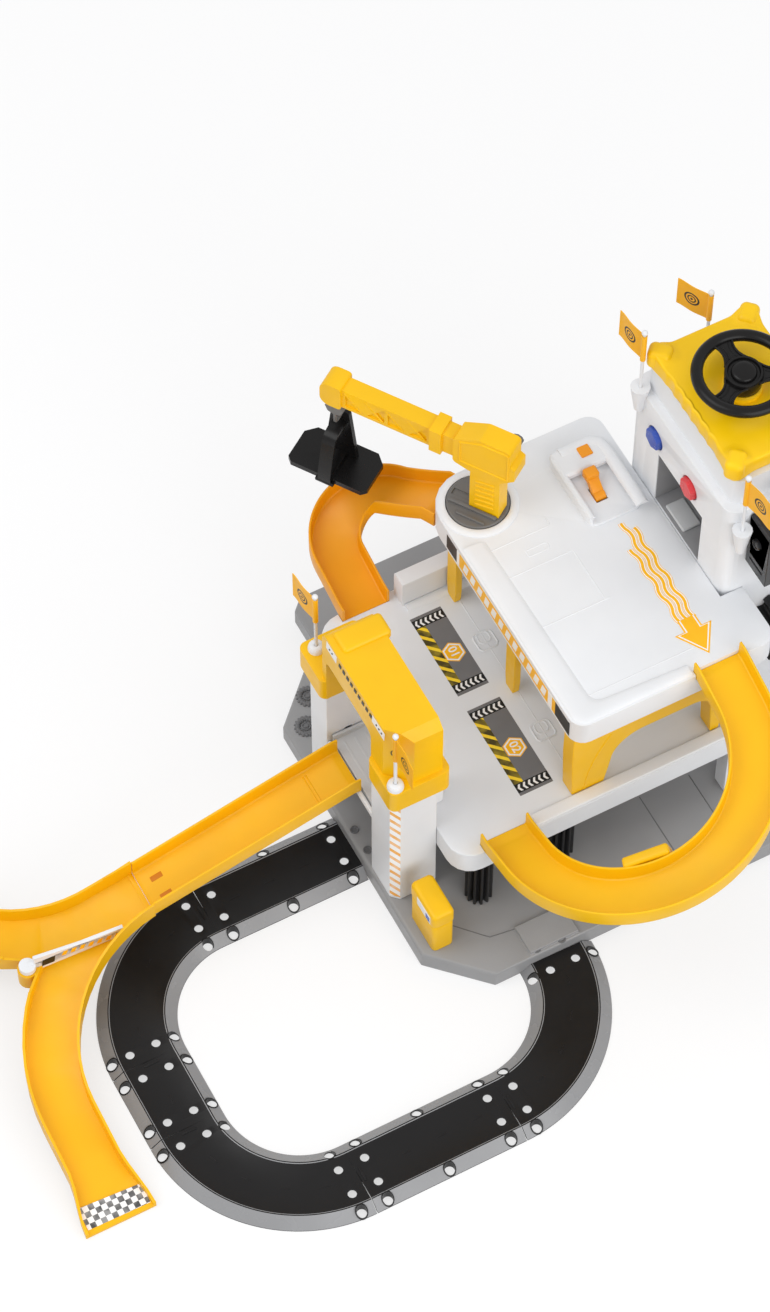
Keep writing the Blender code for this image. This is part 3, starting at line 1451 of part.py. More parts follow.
def build_fork():
    """Build the fork: two curved channels that leave the long ramp and flare at the floor."""
    solids, spaces = [], []
    for near in (True, False):
        stations = fork_stations(near)
        total = stations[-1][3]
        floors, widths, sides = [], [], []
        for _, _, _, travelled in stations:
            flare = ease((travelled - total + FORK_FLARE_LENGTH) / FORK_FLARE_LENGTH)
            share = ease((travelled - FORK_FAR_START) / FORK_FAR_STRAIGHT)
            tuck = 0.0 if near else FORK_TUCK * (1 - share)
            floors.append(fork_floor(travelled, total) + tuck)
            widths.append(FORK_WIDTH + (FORK_FLARE_WIDTH - FORK_WIDTH) * flare - 2 * tuck)
            sides.append(RAMP_SIDE + (FORK_END_SIDE - RAMP_SIDE) * flare - 2 * tuck)
        solid, space = fork_branch(stations, floors, widths, sides)
        solids.append(solid)
        spaces.append(space)
    fork = solids[0]
    join(fork, solids[1], solver="MANIFOLD")
    cut(fork, *spaces, solver="MANIFOLD")
    pivot = Vector((*GATE_PIVOT, 0))
    hub_low = GATE_HUB_LOW - SEAT
    cut(fork, rod(
        pivot + Vector((0, 0, hub_low)),
        pivot + Vector((0, 0, hub_low + RAMP_SIDE + REACH)),
        GATE_CLEAR_RADIUS,
        24,
    ), solver="MANIFOLD")
    join(fork, rod(
        pivot + Vector((0, 0, hub_low - GATE_BOSS_DROP)),
        pivot + Vector((0, 0, hub_low)),
        GATE_BOSS_RADIUS,
        16,
    ), solver="MANIFOLD")
    cut(fork, rod(
        pivot + Vector((0, 0, hub_low - GATE_PIN_LENGTH - RUN)),
        pivot + Vector((0, 0, hub_low + REACH)),
        GATE_PIN_RADIUS + RUN / 2,
        12,
    ), solver="MANIFOLD")
    return finish_part(fork, "ramp_fork", YELLOW)


def build_gate():
    """Build the gate that turns on the fork's boss and closes one branch or the other."""
    rise = LONG_RAMP_END_FLOOR - 8 * MM
    outline = [
        (0, GATE_HUB_LOW + SEAT, 0),
        (GATE_CLEAR_RADIUS, GATE_HUB_LOW + SEAT, 0),
        (GATE_LENGTH, rise + 5 * MM, 0),
        (GATE_LENGTH, rise + 10 * MM, 0),
        (GATE_LENGTH * 0.5, GATE_HUB_LOW + GATE_HUB_HEIGHT + 7 * MM, 0),
        (0, GATE_HUB_LOW + GATE_HUB_HEIGHT, 0),
    ]
    gate = plate(outline, -GATE_THICKNESS / 2, GATE_THICKNESS / 2, "XZ")
    hub = rod((0, 0, GATE_HUB_LOW), (0, 0, GATE_HUB_LOW + GATE_HUB_HEIGHT), GATE_HUB_RADIUS, 20)
    pin = rod((0, 0, GATE_HUB_LOW - GATE_PIN_LENGTH), (0, 0, GATE_HUB_LOW + BITE), GATE_PIN_RADIUS, 12)
    for item in (gate, hub, pin):
        item.location = (*GATE_PIVOT, 0)
        item.rotation_euler = (0, 0, math.radians(GATE_ANGLE))
    join(gate, hub, pin)
    return finish_part(gate, "gate_arm", WHITE)


# Crane

def crane_base():
    """Return the empty on which the whole crane turns, with +X along the boom."""
    base = bpy.data.objects.new("crane_turn_axis", None)
    collection("parking_garage").objects.link(base)
    base.location = (*CRANE_MIDDLE, CRANE_FLOOR)
    base.rotation_euler = (0, 0, math.radians(CRANE_HEADING))
    return base


def carry(parent, *items):
    """Parent pieces, and the tools that shape them, to an empty in whose frame they are built."""
    for item in items:
        item.parent = parent


def build_turntable(base):
    """Build the grey disc of the crane with its pivot pin and the two bars on its face."""
    low = -DISC_PROUD - TURNTABLE_WELL + SEAT
    profile = [
        (0, 0),
        (DISC_RADIUS - BITE, 0),
        (DISC_RADIUS, -BITE),
        (DISC_RADIUS, low),
        (DISC_PIN_RADIUS, low),
        (DISC_PIN_RADIUS, low - DISC_PIN_LENGTH),
        (0, low - DISC_PIN_LENGTH),
    ]
    disc = turned(profile, (0, 0, 0), 36)
    slot = box((MAST_FRONT + 2 * MM, -3 * MM, -1.5 * MM), (DISC_RADIUS - 3 * MM, 3 * MM, REACH))
    cut(disc, slot)
    carry(base, disc, slot)
    return finish_part(disc, "crane_turntable", DARK_GREY)


def build_crane_tower(base):
    """Build the crane's mast and its house in one side outline, with the boom's socket."""
    house_top = MAST_HEIGHT + HOUSE_HEIGHT
    rear = MAST_FRONT - MAST_LENGTH
    tower = box(
        (rear, -MAST_WIDTH / 2, SEAT),
        (MAST_FRONT, MAST_WIDTH / 2, MAST_HEIGHT + 2 * BITE),
    )
    side = [
        (MAST_FRONT + BITE, MAST_HEIGHT, 3 * MM),
        (HOUSE_FRONT, BOOM_LOW - 3 * MM, 4 * MM),
        (HOUSE_FRONT, BOOM_LOW + BOOM_HEIGHT + 3 * MM, 3 * MM),
        (-4 * MM, house_top, 6 * MM),
        (HOUSE_REAR, house_top, 4 * MM),
        (HOUSE_REAR, MAST_HEIGHT + HOUSE_HEIGHT * 0.6, 0),
        (HOUSE_REAR - 4 * MM, MAST_HEIGHT + HOUSE_HEIGHT * 0.55, 2 * MM),
        (HOUSE_REAR - 4 * MM, MAST_HEIGHT + HOUSE_HEIGHT * 0.25, 2 * MM),
        (rear - BITE, MAST_HEIGHT, 2 * MM),
    ]
    wide = plate(side, -HOUSE_WIDTH / 2, HOUSE_WIDTH / 2, "XZ")
    join(tower, wide)
    winch = rod(
        (WINCH_PLACE[0], -HOUSE_WIDTH / 2 - REACH, WINCH_PLACE[1]),
        (WINCH_PLACE[0], -HOUSE_WIDTH / 2 + WINCH_AXLE_LENGTH + SEAT, WINCH_PLACE[1]),
        WINCH_AXLE_RADIUS + RUN / 2,
        12,
    )
    cut(tower, winch)
    carry(base, tower, wide, winch)
    return finish_part(tower, "crane_tower", YELLOW)


def build_boom(base):
    """Build the boom with its collar, its lattice webs and its rounded tip."""
    start = HOUSE_FRONT + SEAT
    low, high = BOOM_LOW, BOOM_LOW + BOOM_HEIGHT
    half = BOOM_WIDTH / 2
    boom = box(
        (start, -half, low),
        (BOOM_END, half, high),
    )
    collar = box(
        (COLLAR_START, -COLLAR_WIDTH / 2, low - 2 * MM),
        (COLLAR_START + COLLAR_LENGTH, COLLAR_WIDTH / 2, high + 2 * MM),
    )
    tip = plate(
        [
            (TIP_START, TIP_LOW, 3 * MM),
            (TIP_START + TIP_LENGTH, TIP_LOW, 8 * MM),
            (TIP_START + TIP_LENGTH, TIP_LOW + TIP_HEIGHT, 8 * MM),
            (TIP_START, TIP_LOW + TIP_HEIGHT, 3 * MM),
        ],
        -TIP_WIDTH / 2,
        TIP_WIDTH / 2,
        "XZ",
    )
    join(boom, collar, tip)
    tools = [boom, collar, tip]
    bays = 4
    first = COLLAR_START + COLLAR_LENGTH + 3 * MM
    bay = (TIP_START - first) / bays
    web = 3 * MM
    depth = 1.5 * MM
    for index in range(bays):
        left, right = first + index * bay, first + (index + 1) * bay - web
        if index % 2:
            corners = [(left, low + web, 0), (right, low + web, 0), (right, high - web, 0)]
        else:
            corners = [(left, low + web, 0), (right, low + web, 0), (left, high - web, 0)]
        for side in (-1, 1):
            face = side * half
            inner, outer = face - side * depth, face + side * REACH
            relief = plate(corners, min(inner, outer), max(inner, outer), "XZ")
            cut(boom, relief)
            tools.append(relief)
    hook_u = TIP_START + HOOK_FROM_TIP_START
    socket = rod(
        (hook_u, 0, TIP_LOW - REACH),
        (hook_u, 0, TIP_LOW + HOOK_STEM_SOCKET + SEAT),
        HOOK_STEM_RADIUS + RUN / 2,
        14,
    )
    cut(boom, socket)
    carry(base, *tools, socket)
    return finish_part(boom, "crane_boom", YELLOW)


def build_winch_knob(base):
    """Build the grey winding knob on the far side of the house."""
    face = -HOUSE_WIDTH / 2 - SEAT
    u, level = WINCH_PLACE
    knob = rod((0, 0, 0), (0, -WINCH_LENGTH, 0), WINCH_RADIUS, 8)
    axle = rod((0, -BITE, 0), (0, WINCH_AXLE_LENGTH, 0), WINCH_AXLE_RADIUS, 12)
    join(knob, axle)
    carry(base, knob, axle)
    for item in (knob, axle):
        item.location = (u, face, level)
    return finish_part(knob, "crane_winch_knob", DARK_GREY)


def hook_points():
    """Return the bend of the hook's wire in the crane's frame, from its block to its nose."""
    u = TIP_START + HOOK_FROM_TIP_START
    top = TIP_LOW - HOOK_BLOCK_DROP - HOOK_BLOCK_RADIUS + BITE
    low = top - HOOK_DROP
    start = HOOK_WIRE_NEAR
    end = HOOK_WIRE_FAR
    bend = 4 * MM
    steps = 5
    points = [(u, start, top)]
    for step in range(steps + 1):
        angle = math.pi / 2 * step / steps
        points.append((u, start - bend + bend * math.cos(angle), low + bend - bend * math.sin(angle)))
    for step in range(steps + 1):
        angle = math.pi / 2 * step / steps
        points.append((u, end + bend - bend * math.sin(angle), low + bend - bend * math.cos(angle)))
    points.append((u, end, low + bend + 2 * MM))
    return points


def build_hook(base):
    """Build the swivelling hook: a stem in the boom's tip, an eight-sided block and a bent wire."""
    u = TIP_START + HOOK_FROM_TIP_START
    middle = TIP_LOW - HOOK_BLOCK_DROP
    block = rod(
        (0, -HOOK_BLOCK_WIDTH / 2, middle),
        (0, HOOK_BLOCK_WIDTH / 2, middle),
        HOOK_BLOCK_RADIUS,
        8,
    )
    stem = rod((0, 0, middle), (0, 0, TIP_LOW + HOOK_STEM_SOCKET), HOOK_STEM_RADIUS, 14)
    path = [(x - u, y, z) for x, y, z in hook_points()]
    wire = poly_curve("hook_wire", path, False, False)
    wire.data.bevel_depth = HOOK_WIRE_RADIUS
    wire.data.bevel_resolution = 1
    wire.data.use_fill_caps = True
    wire = to_mesh_object(wire)
    join(block, stem, wire)
    carry(base, block, stem, wire)
    for item in (block, stem, wire):
        item.location = (u, 0, 0)
    return finish_part(block, "crane_hook", DARK_GREY)


def build_tray(base):
    """Build the black cargo tray with its hanger plate, which hangs on the hook's wire."""
    u = TIP_START + HOOK_FROM_TIP_START
    wire_low = min(point[2] for point in hook_points())
    hole_level = wire_low + HOOK_WIRE_RADIUS + SEAT - HANGER_HOLE_RADIUS
    pivot = Vector((u, HANGER_SIDE, wire_low))
    top = HANGER_HOLE_DROP + hole_level - wire_low
    low = top - HANGER_HEIGHT
    half, wide = TRAY_LENGTH / 2, TRAY_WIDTH
    near = -wide / 2 - HANGER_SIDE
    far = near + wide
    tray = plate(
        [
            (-half + TRAY_CHAMFER, near, 0),
            (half - TRAY_CHAMFER, near, 0),
            (half, near + TRAY_CHAMFER, 0),
            (half, far - TRAY_CHAMFER / 2, 0),
            (half - TRAY_CHAMFER / 2, far, 0),
            (-half + TRAY_CHAMFER / 2, far, 0),
            (-half, far - TRAY_CHAMFER / 2, 0),
            (-half, near + TRAY_CHAMFER, 0),
        ],
        low - TRAY_THICKNESS,
        low,
    )
    hanger = plate(
        [
            (-HANGER_FOOT / 2, low - BITE, 0),
            (HANGER_FOOT / 2, low - BITE, 0),
            (HANGER_TOP / 2, top, 3 * MM),
            (-HANGER_TOP / 2, top, 3 * MM),
        ],
        -HANGER_THICKNESS / 2,
        HANGER_THICKNESS / 2,
        "XZ",
    )
    rib = box(
        (-TRAY_RIB_WIDTH / 2, near + BITE, low - BITE),
        (TRAY_RIB_WIDTH / 2, far - BITE, low + TRAY_RIB_HEIGHT),
    )
    hole = rod(
        (0, -REACH, hole_level - wire_low),
        (0, REACH, hole_level - wire_low),
        HANGER_HOLE_RADIUS,
        16,
    )
    join(tray, hanger, rib)
    cut(tray, hole)
    carry(base, tray, hanger, rib, hole)
    for item in (tray, hanger, rib, hole):
        item.location = pivot
    return finish_part(tray, "cargo_tray", BLACK)


# Tower

def tower_corners(inset, inset_y=None):
    """Return the rounded outline of the tower, drawn in by an inset."""
    across = inset if inset_y is None else inset_y
    return rectangle(
        (TOWER_LEFT + inset, TOWER_FRONT + across),
        (TOWER_RIGHT - inset, TOWER_REAR - across),
        max(TOWER_ROUND - inset / 2, 2 * MM),
    )


def button_places():
    """Return the (name, finish, y, z) of the two buttons on the tower's left wall."""
    level = DECK_TWO_TOP + BUTTON_ABOVE_DECK
    return [
        ("button_blue", BLUE, TOWER_FRONT + BLUE_FROM_FRONT, level),
        ("button_red", RED, TOWER_FRONT + RED_FROM_FRONT, level),
    ]


def build_tower():
    """Build the tower: a hollow shell with a doorway on the upper deck, buttons and a neck."""
    low = BASE_HEIGHT + SEAT
    tower = plate(tower_corners(0), low, TOWER_SHOULDER_TOP)
    soften_top(tower, TOWER_SHOULDER_TOP, 3 * MM)
    neck = plate(tower_corners(TOWER_NECK_INSET), TOWER_SHOULDER_TOP - BITE, TOWER_TOP)
    join(tower, neck)
    door_front = TOWER_FRONT + DOOR_FROM_FRONT
    door_low, door_high = DECK_TWO_TOP + SEAT, DECK_TWO_TOP + DOOR_HEIGHT
    door = box(
        (TOWER_LEFT - REACH, door_front, door_low),
        (TOWER_LEFT + DOOR_DEPTH, door_front + DOOR_WIDTH, door_high),
    )
    hollow = plate(tower_corners(TOWER_WALL), low - REACH, TOWER_SHOULDER_TOP - TOWER_WALL)
    cut(hollow, box(
        (TOWER_LEFT - REACH, door_front - TOWER_WALL, door_low - TOWER_WALL),
        (TOWER_LEFT + DOOR_DEPTH + TOWER_WALL, door_front + DOOR_WIDTH + TOWER_WALL, door_high + TOWER_WALL),
    ))
    wall_inner = TOWER_LEFT + BUTTON_WELL + TOWER_WALL
    for _, _, y, z in button_places():
        cut(hollow, rod((TOWER_LEFT - REACH, y, z), (wall_inner, y, z), BUTTON_RADIUS + RUN + TOWER_WALL, 16))
    cut(tower, hollow, door)
    for _, _, y, z in button_places():
        cut(tower, rod(
            (TOWER_LEFT - REACH, y, z),
            (TOWER_LEFT + BUTTON_WELL, y, z),
            BUTTON_RADIUS + RUN,
            18,
        ))
    for arm in tower_flag_arms():
        join(tower, *arm)
    for place in tower_flag_places():
        cut(tower, rod(
            place - Vector((0, 0, FLAG_CUP_HEIGHT)),
            place + Vector((0, 0, FLAG_CUP_HEIGHT + REACH)),
            FLAG_POLE_RADIUS + SEAT / 2,
            10,
        ))
    shaft_x, shaft_y = wheel_middle()
    cut(tower, rod(
        (shaft_x, shaft_y, TOWER_TOP - WHEEL_SHAFT_DEPTH - RUN),
        (shaft_x, shaft_y, TOWER_TOP + REACH),
        WHEEL_SHAFT_RADIUS + RUN / 2,
        20,
    ))
    return finish_part(tower, "tower_body", WHITE)


def tower_flag_places():
    """Return the tops of the three arms beside the tower that carry flags."""
    level = TOWER_SHOULDER_TOP - FLAG_ARM_DROP
    front = TOWER_FRONT + FRONT_FLAG_TUCK - FLAG_CUP_RADIUS * 2.4
    return [
        Vector((TOWER_LEFT - LEFT_FLAG_OUT, TOWER_REAR - LEFT_FLAG_FROM_REAR, level + LEFT_FLAG_RISE)),
        Vector((TOWER_LEFT + FRONT_FLAG_FROM_LEFT, front, level)),
        Vector((TOWER_RIGHT - REAR_FLAG_FROM_RIGHT, TOWER_REAR + FLAG_CUP_RADIUS * 1.3, level)),
    ]


def tower_flag_arms():
    """Return, for each tower flag, the round arm that stands against the wall."""
    arms = []
    for place in tower_flag_places():
        arms.append([rod(
            place - Vector((0, 0, FLAG_ARM_LENGTH)),
            place + Vector((0, 0, FLAG_CUP_HEIGHT)),
            FLAG_CUP_RADIUS * 0.7,
            14,
            FLAG_CUP_RADIUS * 1.4,
        )])
    return arms


def wheel_middle():
    """Return the steering wheel's axis in plan: the middle of the tower."""
    return (TOWER_LEFT + TOWER_RIGHT) / 2, (TOWER_FRONT + TOWER_REAR) / 2


def build_roof():
    """Build the yellow roof with its four corner bosses and the ring under the wheel."""
    low = TOWER_TOP + SEAT
    corners = rectangle(
        (TOWER_LEFT + ROOF_INSET_X, TOWER_FRONT + ROOF_INSET_Y),
        (TOWER_RIGHT - ROOF_INSET_X, TOWER_REAR - ROOF_INSET_Y),
        6 * MM,
    )
    roof = plate(corners, low, ROOF_TOP)
    soften_top(roof, ROOF_TOP, ROOF_ROUND)
    inset = ROOF_BOSS_RADIUS * 0.55
    for x in (TOWER_LEFT + ROOF_INSET_X + inset, TOWER_RIGHT - ROOF_INSET_X - inset):
        for y in (TOWER_FRONT + ROOF_INSET_Y + inset, TOWER_REAR - ROOF_INSET_Y - inset):
            boss = rod((x, y, low), (x, y, ROOF_TOP + ROOF_BOSS_RISE), ROOF_BOSS_RADIUS, 20)
            soften_top(boss, ROOF_TOP + ROOF_BOSS_RISE, ROOF_ROUND)
            join(roof, boss)
    x, y = wheel_middle()
    join(roof, rod((x, y, ROOF_TOP - BITE), (x, y, ROOF_TOP + SEAT_RING_HEIGHT), SEAT_RING_RADIUS, 28))
    cut(roof, rod(
        (x, y, low - REACH),
        (x, y, ROOF_TOP + SEAT_RING_HEIGHT + REACH),
        WHEEL_SHAFT_RADIUS + RUN / 2,
        20,
    ))
    return finish_part(roof, "tower_roof", YELLOW)


def build_wheel():
    """Build the steering wheel: a rim turned from its section, a hub, a shaft and three spokes."""
    x, y = wheel_middle()
    seat = ROOF_TOP + SEAT_RING_HEIGHT + SEAT
    hub_top = seat + WHEEL_HUB_HEIGHT + WHEEL_LIFT - SEAT_RING_HEIGHT
    rim_middle = WHEEL_RADIUS - WHEEL_RIM_WIDTH / 2
    rim_level = hub_top - WHEEL_RIM_HEIGHT / 2
    profile = []
    for corner in range(WHEEL_RIM_SIDES + 1):
        angle = -2 * math.pi * corner / WHEEL_RIM_SIDES
        profile.append((
            rim_middle + WHEEL_RIM_WIDTH / 2 * math.cos(angle),
            rim_level + WHEEL_RIM_HEIGHT / 2 * math.sin(angle),
        ))
    rim = turned(profile, (x, y, 0), WHEEL_STEPS)
    hub = rod((x, y, seat), (x, y, hub_top), WHEEL_HUB_RADIUS, 28)
    shaft = rod((x, y, TOWER_TOP - WHEEL_SHAFT_DEPTH), (x, y, seat + BITE), WHEEL_SHAFT_RADIUS, 20)
    wheel = hub
    join(wheel, shaft)
    for heading in (90, 210, 330):
        angle = math.radians(heading)
        ahead = Vector((math.cos(angle), math.sin(angle), 0))
        across = Vector((-math.sin(angle), math.cos(angle), 0))
        rings = []
        for distance in (WHEEL_HUB_RADIUS - 3 * BITE, rim_middle):
            middle = Vector((x, y, hub_top - 2 * MM)) + ahead * distance
            rings.append([
                middle - across * WHEEL_SPOKE_WIDTH / 2 - Vector((0, 0, WHEEL_SPOKE_HEIGHT)),
                middle + across * WHEEL_SPOKE_WIDTH / 2 - Vector((0, 0, WHEEL_SPOKE_HEIGHT)),
                middle + across * WHEEL_SPOKE_WIDTH / 2,
                middle - across * WHEEL_SPOKE_WIDTH / 2,
            ])
        join(wheel, loft(rings))
    join(wheel, rim)
    move_origin(wheel, (x, y, seat))
    return finish_part(wheel, "steering_wheel", BLACK)


def build_buttons():
    """Build the two sprung buttons on the tower's left wall."""
    for name, finish, y, z in button_places():
        face = TOWER_LEFT - BUTTON_PROUD
        back = TOWER_LEFT + BUTTON_WELL - BUTTON_TRAVEL - RUN
        button = rod((back, y, z), (face, y, z), BUTTON_RADIUS, 6, BUTTON_RADIUS * 0.92)
        move_origin(button, (face, y, z))
        finish_part(button, name, finish, False)


def key_well():
    """Return the cutters of the square well of the console's key."""
    x, y = CONSOLE_LEFT + KEY_FROM_LEFT, CONSOLE_REAR - KEY_FROM_REAR
    half = KEY_SIZE / 2 + RUN / 2
    top = DECK_TWO_TOP + CONSOLE_HEIGHT
    return [box((x - half, y - half, top - KEY_SIZE / 2), (x + half, y + half, top + REACH))]


def tiller_well():
    """Return the cutter of the slot in which the console's tiller rocks."""
    x, y = TILLER_PIVOT
    floor = DECK_TWO_TOP + CONSOLE_HEIGHT - CONSOLE_TRAY_DROP
    half = TILLER_WIDTH / 2 + RUN
    return [box(
        (x - half, y - TILLER_WELL_FRONT, floor - TILLER_WELL_DEPTH),
        (x + half, y + TILLER_WELL_REAR, floor + REACH),
    )]


def build_console_parts():
    """Build the console's square key and its rocking tiller."""
    x, y = CONSOLE_LEFT + KEY_FROM_LEFT, CONSOLE_REAR - KEY_FROM_REAR
    top = DECK_TWO_TOP + CONSOLE_HEIGHT
    half = KEY_SIZE / 2
    key = box(
        (x - half, y - half, top - KEY_SIZE / 2 + KEY_TRAVEL + RUN),
        (x + half, y + half, top + KEY_PROUD),
    )
    soften_top(key, top + KEY_PROUD, 1.2 * MM)
    move_origin(key, (x, y, top))
    finish_part(key, "console_key", ORANGE, False)

    x, y = TILLER_PIVOT
    floor = DECK_TWO_TOP + CONSOLE_HEIGHT - CONSOLE_TRAY_DROP
    pivot_level = floor - 1 * MM
    stem = rod(
        (x - TILLER_WIDTH / 2, y, pivot_level),
        (x + TILLER_WIDTH / 2, y, pivot_level),
        TILLER_AXLE_RADIUS,
        16,
    )
    grip = plate(
        [
            (y - 4 * MM, pivot_level, 0),
            (y + 4 * MM, pivot_level, 0),
            (y + TILLER_LENGTH * 0.75, pivot_level + TILLER_HEIGHT + 3 * MM, 3 * MM),
            (y + TILLER_LENGTH * 0.6, pivot_level + TILLER_HEIGHT + 7 * MM, 3 * MM),
        ],
        x - TILLER_WIDTH / 2,
        x + TILLER_WIDTH / 2,
        "YZ",
    )
    join(stem, grip)
    move_origin(stem, (x, y, pivot_level))
    finish_part(stem, "console_tiller", ORANGE)


def build_gear_box():
    """Build the dark gear box on the tower's front wall, with the slot of its lever."""
    width, depth, height = GEAR_BOX_SIZE
    rear = TOWER_FRONT - SEAT
    top = GEAR_BOX_LOW + height
    gear_box = plate(
        rectangle((GEAR_BOX_LEFT, rear - depth), (GEAR_BOX_LEFT + width, rear), 0),
        GEAR_BOX_LOW,
        top,
    )
    soften_top(gear_box, top, GEAR_BOX_ROUND / 2)
    x, y = gear_pivot()[:2]
    cut(gear_box, box(
        (x - GEAR_SLOT_LENGTH / 2, y - GEAR_SLOT_WIDTH / 2, top - GEAR_SLOT_DEPTH),
        (x + GEAR_SLOT_LENGTH / 2, y + GEAR_SLOT_WIDTH / 2, top + REACH),
    ))
    slat = 2 * MM
    for index in range(3):
        level = GEAR_BOX_LOW + 9 * MM + index * 4 * slat
        cut(gear_box, box(
            (GEAR_BOX_LEFT - REACH, rear - depth + 5 * MM, level),
            (GEAR_BOX_LEFT + slat, rear - 5 * MM, level + slat),
        ))
    return finish_part(gear_box, "gear_box", DARK_GREY)


def gear_pivot():
    """Return the point about which the gear lever tips."""
    width, depth, height = GEAR_BOX_SIZE
    return (
        GEAR_BOX_LEFT + width / 2,
        TOWER_FRONT - SEAT - depth / 2,
        GEAR_BOX_LOW + height - GEAR_PIVOT_DEPTH,
    )


def build_gear_lever():
    """Build the gear lever with its ball and its round foot inside the slot."""
    x, y, level = gear_pivot()
    top = GEAR_BOX_LOW + GEAR_BOX_SIZE[2] + GEAR_LEVER_RISE
    foot_half = GEAR_SLOT_WIDTH / 2 - RUN
    lever = rod((x, y - foot_half, level), (x, y + foot_half, level), 5 * MM, 16)
    join(lever, rod((x, y, level), (x, y, top), GEAR_LEVER_RADIUS, 12))
    join(lever, ball((x, y, top), GEAR_KNOB_RADIUS))
    move_origin(lever, (x, y, level))
    return finish_part(lever, "gear_lever", BLACK)


def build_spare_wheel():
    """Build the lugged spare wheel that stands against the tower's front wall."""
    x, level = SPARE_MIDDLE
    rear = TOWER_FRONT - SEAT
    front = rear - SPARE_WIDTH
    corners = []
    for lug in range(SPARE_LUGS):
        for share, radius in (
            (0.0, SPARE_RADIUS - SPARE_LUG_SIZE),
            (0.2, SPARE_RADIUS),
            (0.6, SPARE_RADIUS),
            (0.8, SPARE_RADIUS - SPARE_LUG_SIZE),
        ):
            angle = 2 * math.pi * (lug + share) / SPARE_LUGS
            corners.append((x + radius * math.cos(angle), level + radius * math.sin(angle), 0))
    tyre = plate(corners, front, rear, "XZ")
    cut(tyre, rod((x, front - REACH, level), (x, front + SPARE_WIDTH / 3, level), SPARE_HUB_RADIUS, 24))
    return finish_part(tyre, "spare_wheel", BLACK)


# Flags

def build_flags():
    """Build the five flags: each a pole in its cup and a cloth with a sleeve round the pole."""
    hood_front, hood_rear = hood_flag_places()
    tower_left, tower_front, tower_rear = tower_flag_places()
    flags = [
        ("hood_front", hood_front, -90),
        ("hood_rear", hood_rear, 100),
        ("tower_left", tower_left, 100),
        ("tower_front", tower_front, -80),
        ("tower_rear", tower_rear, 120),
    ]
    for name, place, heading in flags:
        foot = place - Vector((0, 0, FLAG_CUP_HEIGHT - SEAT))
        top = place + Vector((0, 0, FLAG_POLE_HEIGHT))
        pole = rod(foot, top, FLAG_POLE_RADIUS, 10)
        join(pole, ball(top, FLAG_POLE_RADIUS * 1.7))
        finish_part(pole, "flag_pole_" + name, WHITE)
        high = FLAG_POLE_HEIGHT - FLAG_POLE_RADIUS * 2 - SEAT
        low = high - FLAG_CLOTH_HEIGHT
        ahead = Vector((math.cos(math.radians(heading)), math.sin(math.radians(heading)), 0))
        across = Vector((-ahead.y, ahead.x, 0)) * FLAG_CLOTH_THICKNESS / 2
        start = place + ahead * (FLAG_POLE_RADIUS + SEAT * 2)
        end = place + ahead * FLAG_CLOTH_LENGTH
        cloth = loft([
            [
                point - across + Vector((0, 0, low)),
                point + across + Vector((0, 0, low)),
                point + across + Vector((0, 0, high)),
                point - across + Vector((0, 0, high)),
            ]
            for point in (start, end)
        ])
        sleeve = rod(
            place + Vector((0, 0, low)),
            place + Vector((0, 0, high)),
            FLAG_SLEEVE_RADIUS,
            12,
        )
        join(cloth, sleeve)
        cut(cloth, rod(
            place + Vector((0, 0, low - REACH)),
            place + Vector((0, 0, high + REACH / 3)),
            FLAG_POLE_RADIUS + SEAT,
            12,
        ))
        finish_part(cloth, "flag_cloth_" + name, FLAG_ORANGE)


def main():
    """Build the whole garage."""
    clear_scene()
    build_road()
    build_base()
    build_pump()
    build_rollers()
    build_pillars()
    build_lift_car()
    build_hood()
    build_deck_one()
    build_deck_two()
    build_legs()
    build_long_ramp()
    build_side_ramp()
    build_rear_ramp()
    build_fork()
    build_gate()
    crane = crane_base()
    build_turntable(crane)
    build_crane_tower(crane)
    build_boom(crane)
    build_winch_knob(crane)
    build_hook(crane)
    build_tray(crane)
    build_tower()
    build_roof()
    build_wheel()
    build_buttons()
    build_console_parts()
    build_gear_box()
    build_gear_lever()
    build_spare_wheel()
    build_flags()


main()
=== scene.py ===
"""Looks of a toy parking garage: finishes, finer surfaces, prints, floor, lamps and camera.

Sizes are in metres, written as millimetres times MM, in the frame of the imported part: +Z is up,
the floor is at zero and the origin lies under the middle of the base. The front of the garage
faces -Y, and its ring of road runs out towards -X.
"""

import enum
import functools
import json
import logging
import math
from collections.abc import Iterable, Sequence
from dataclasses import dataclass, field

import bmesh
import bpy
import numpy as np
from mathutils import Matrix, Vector

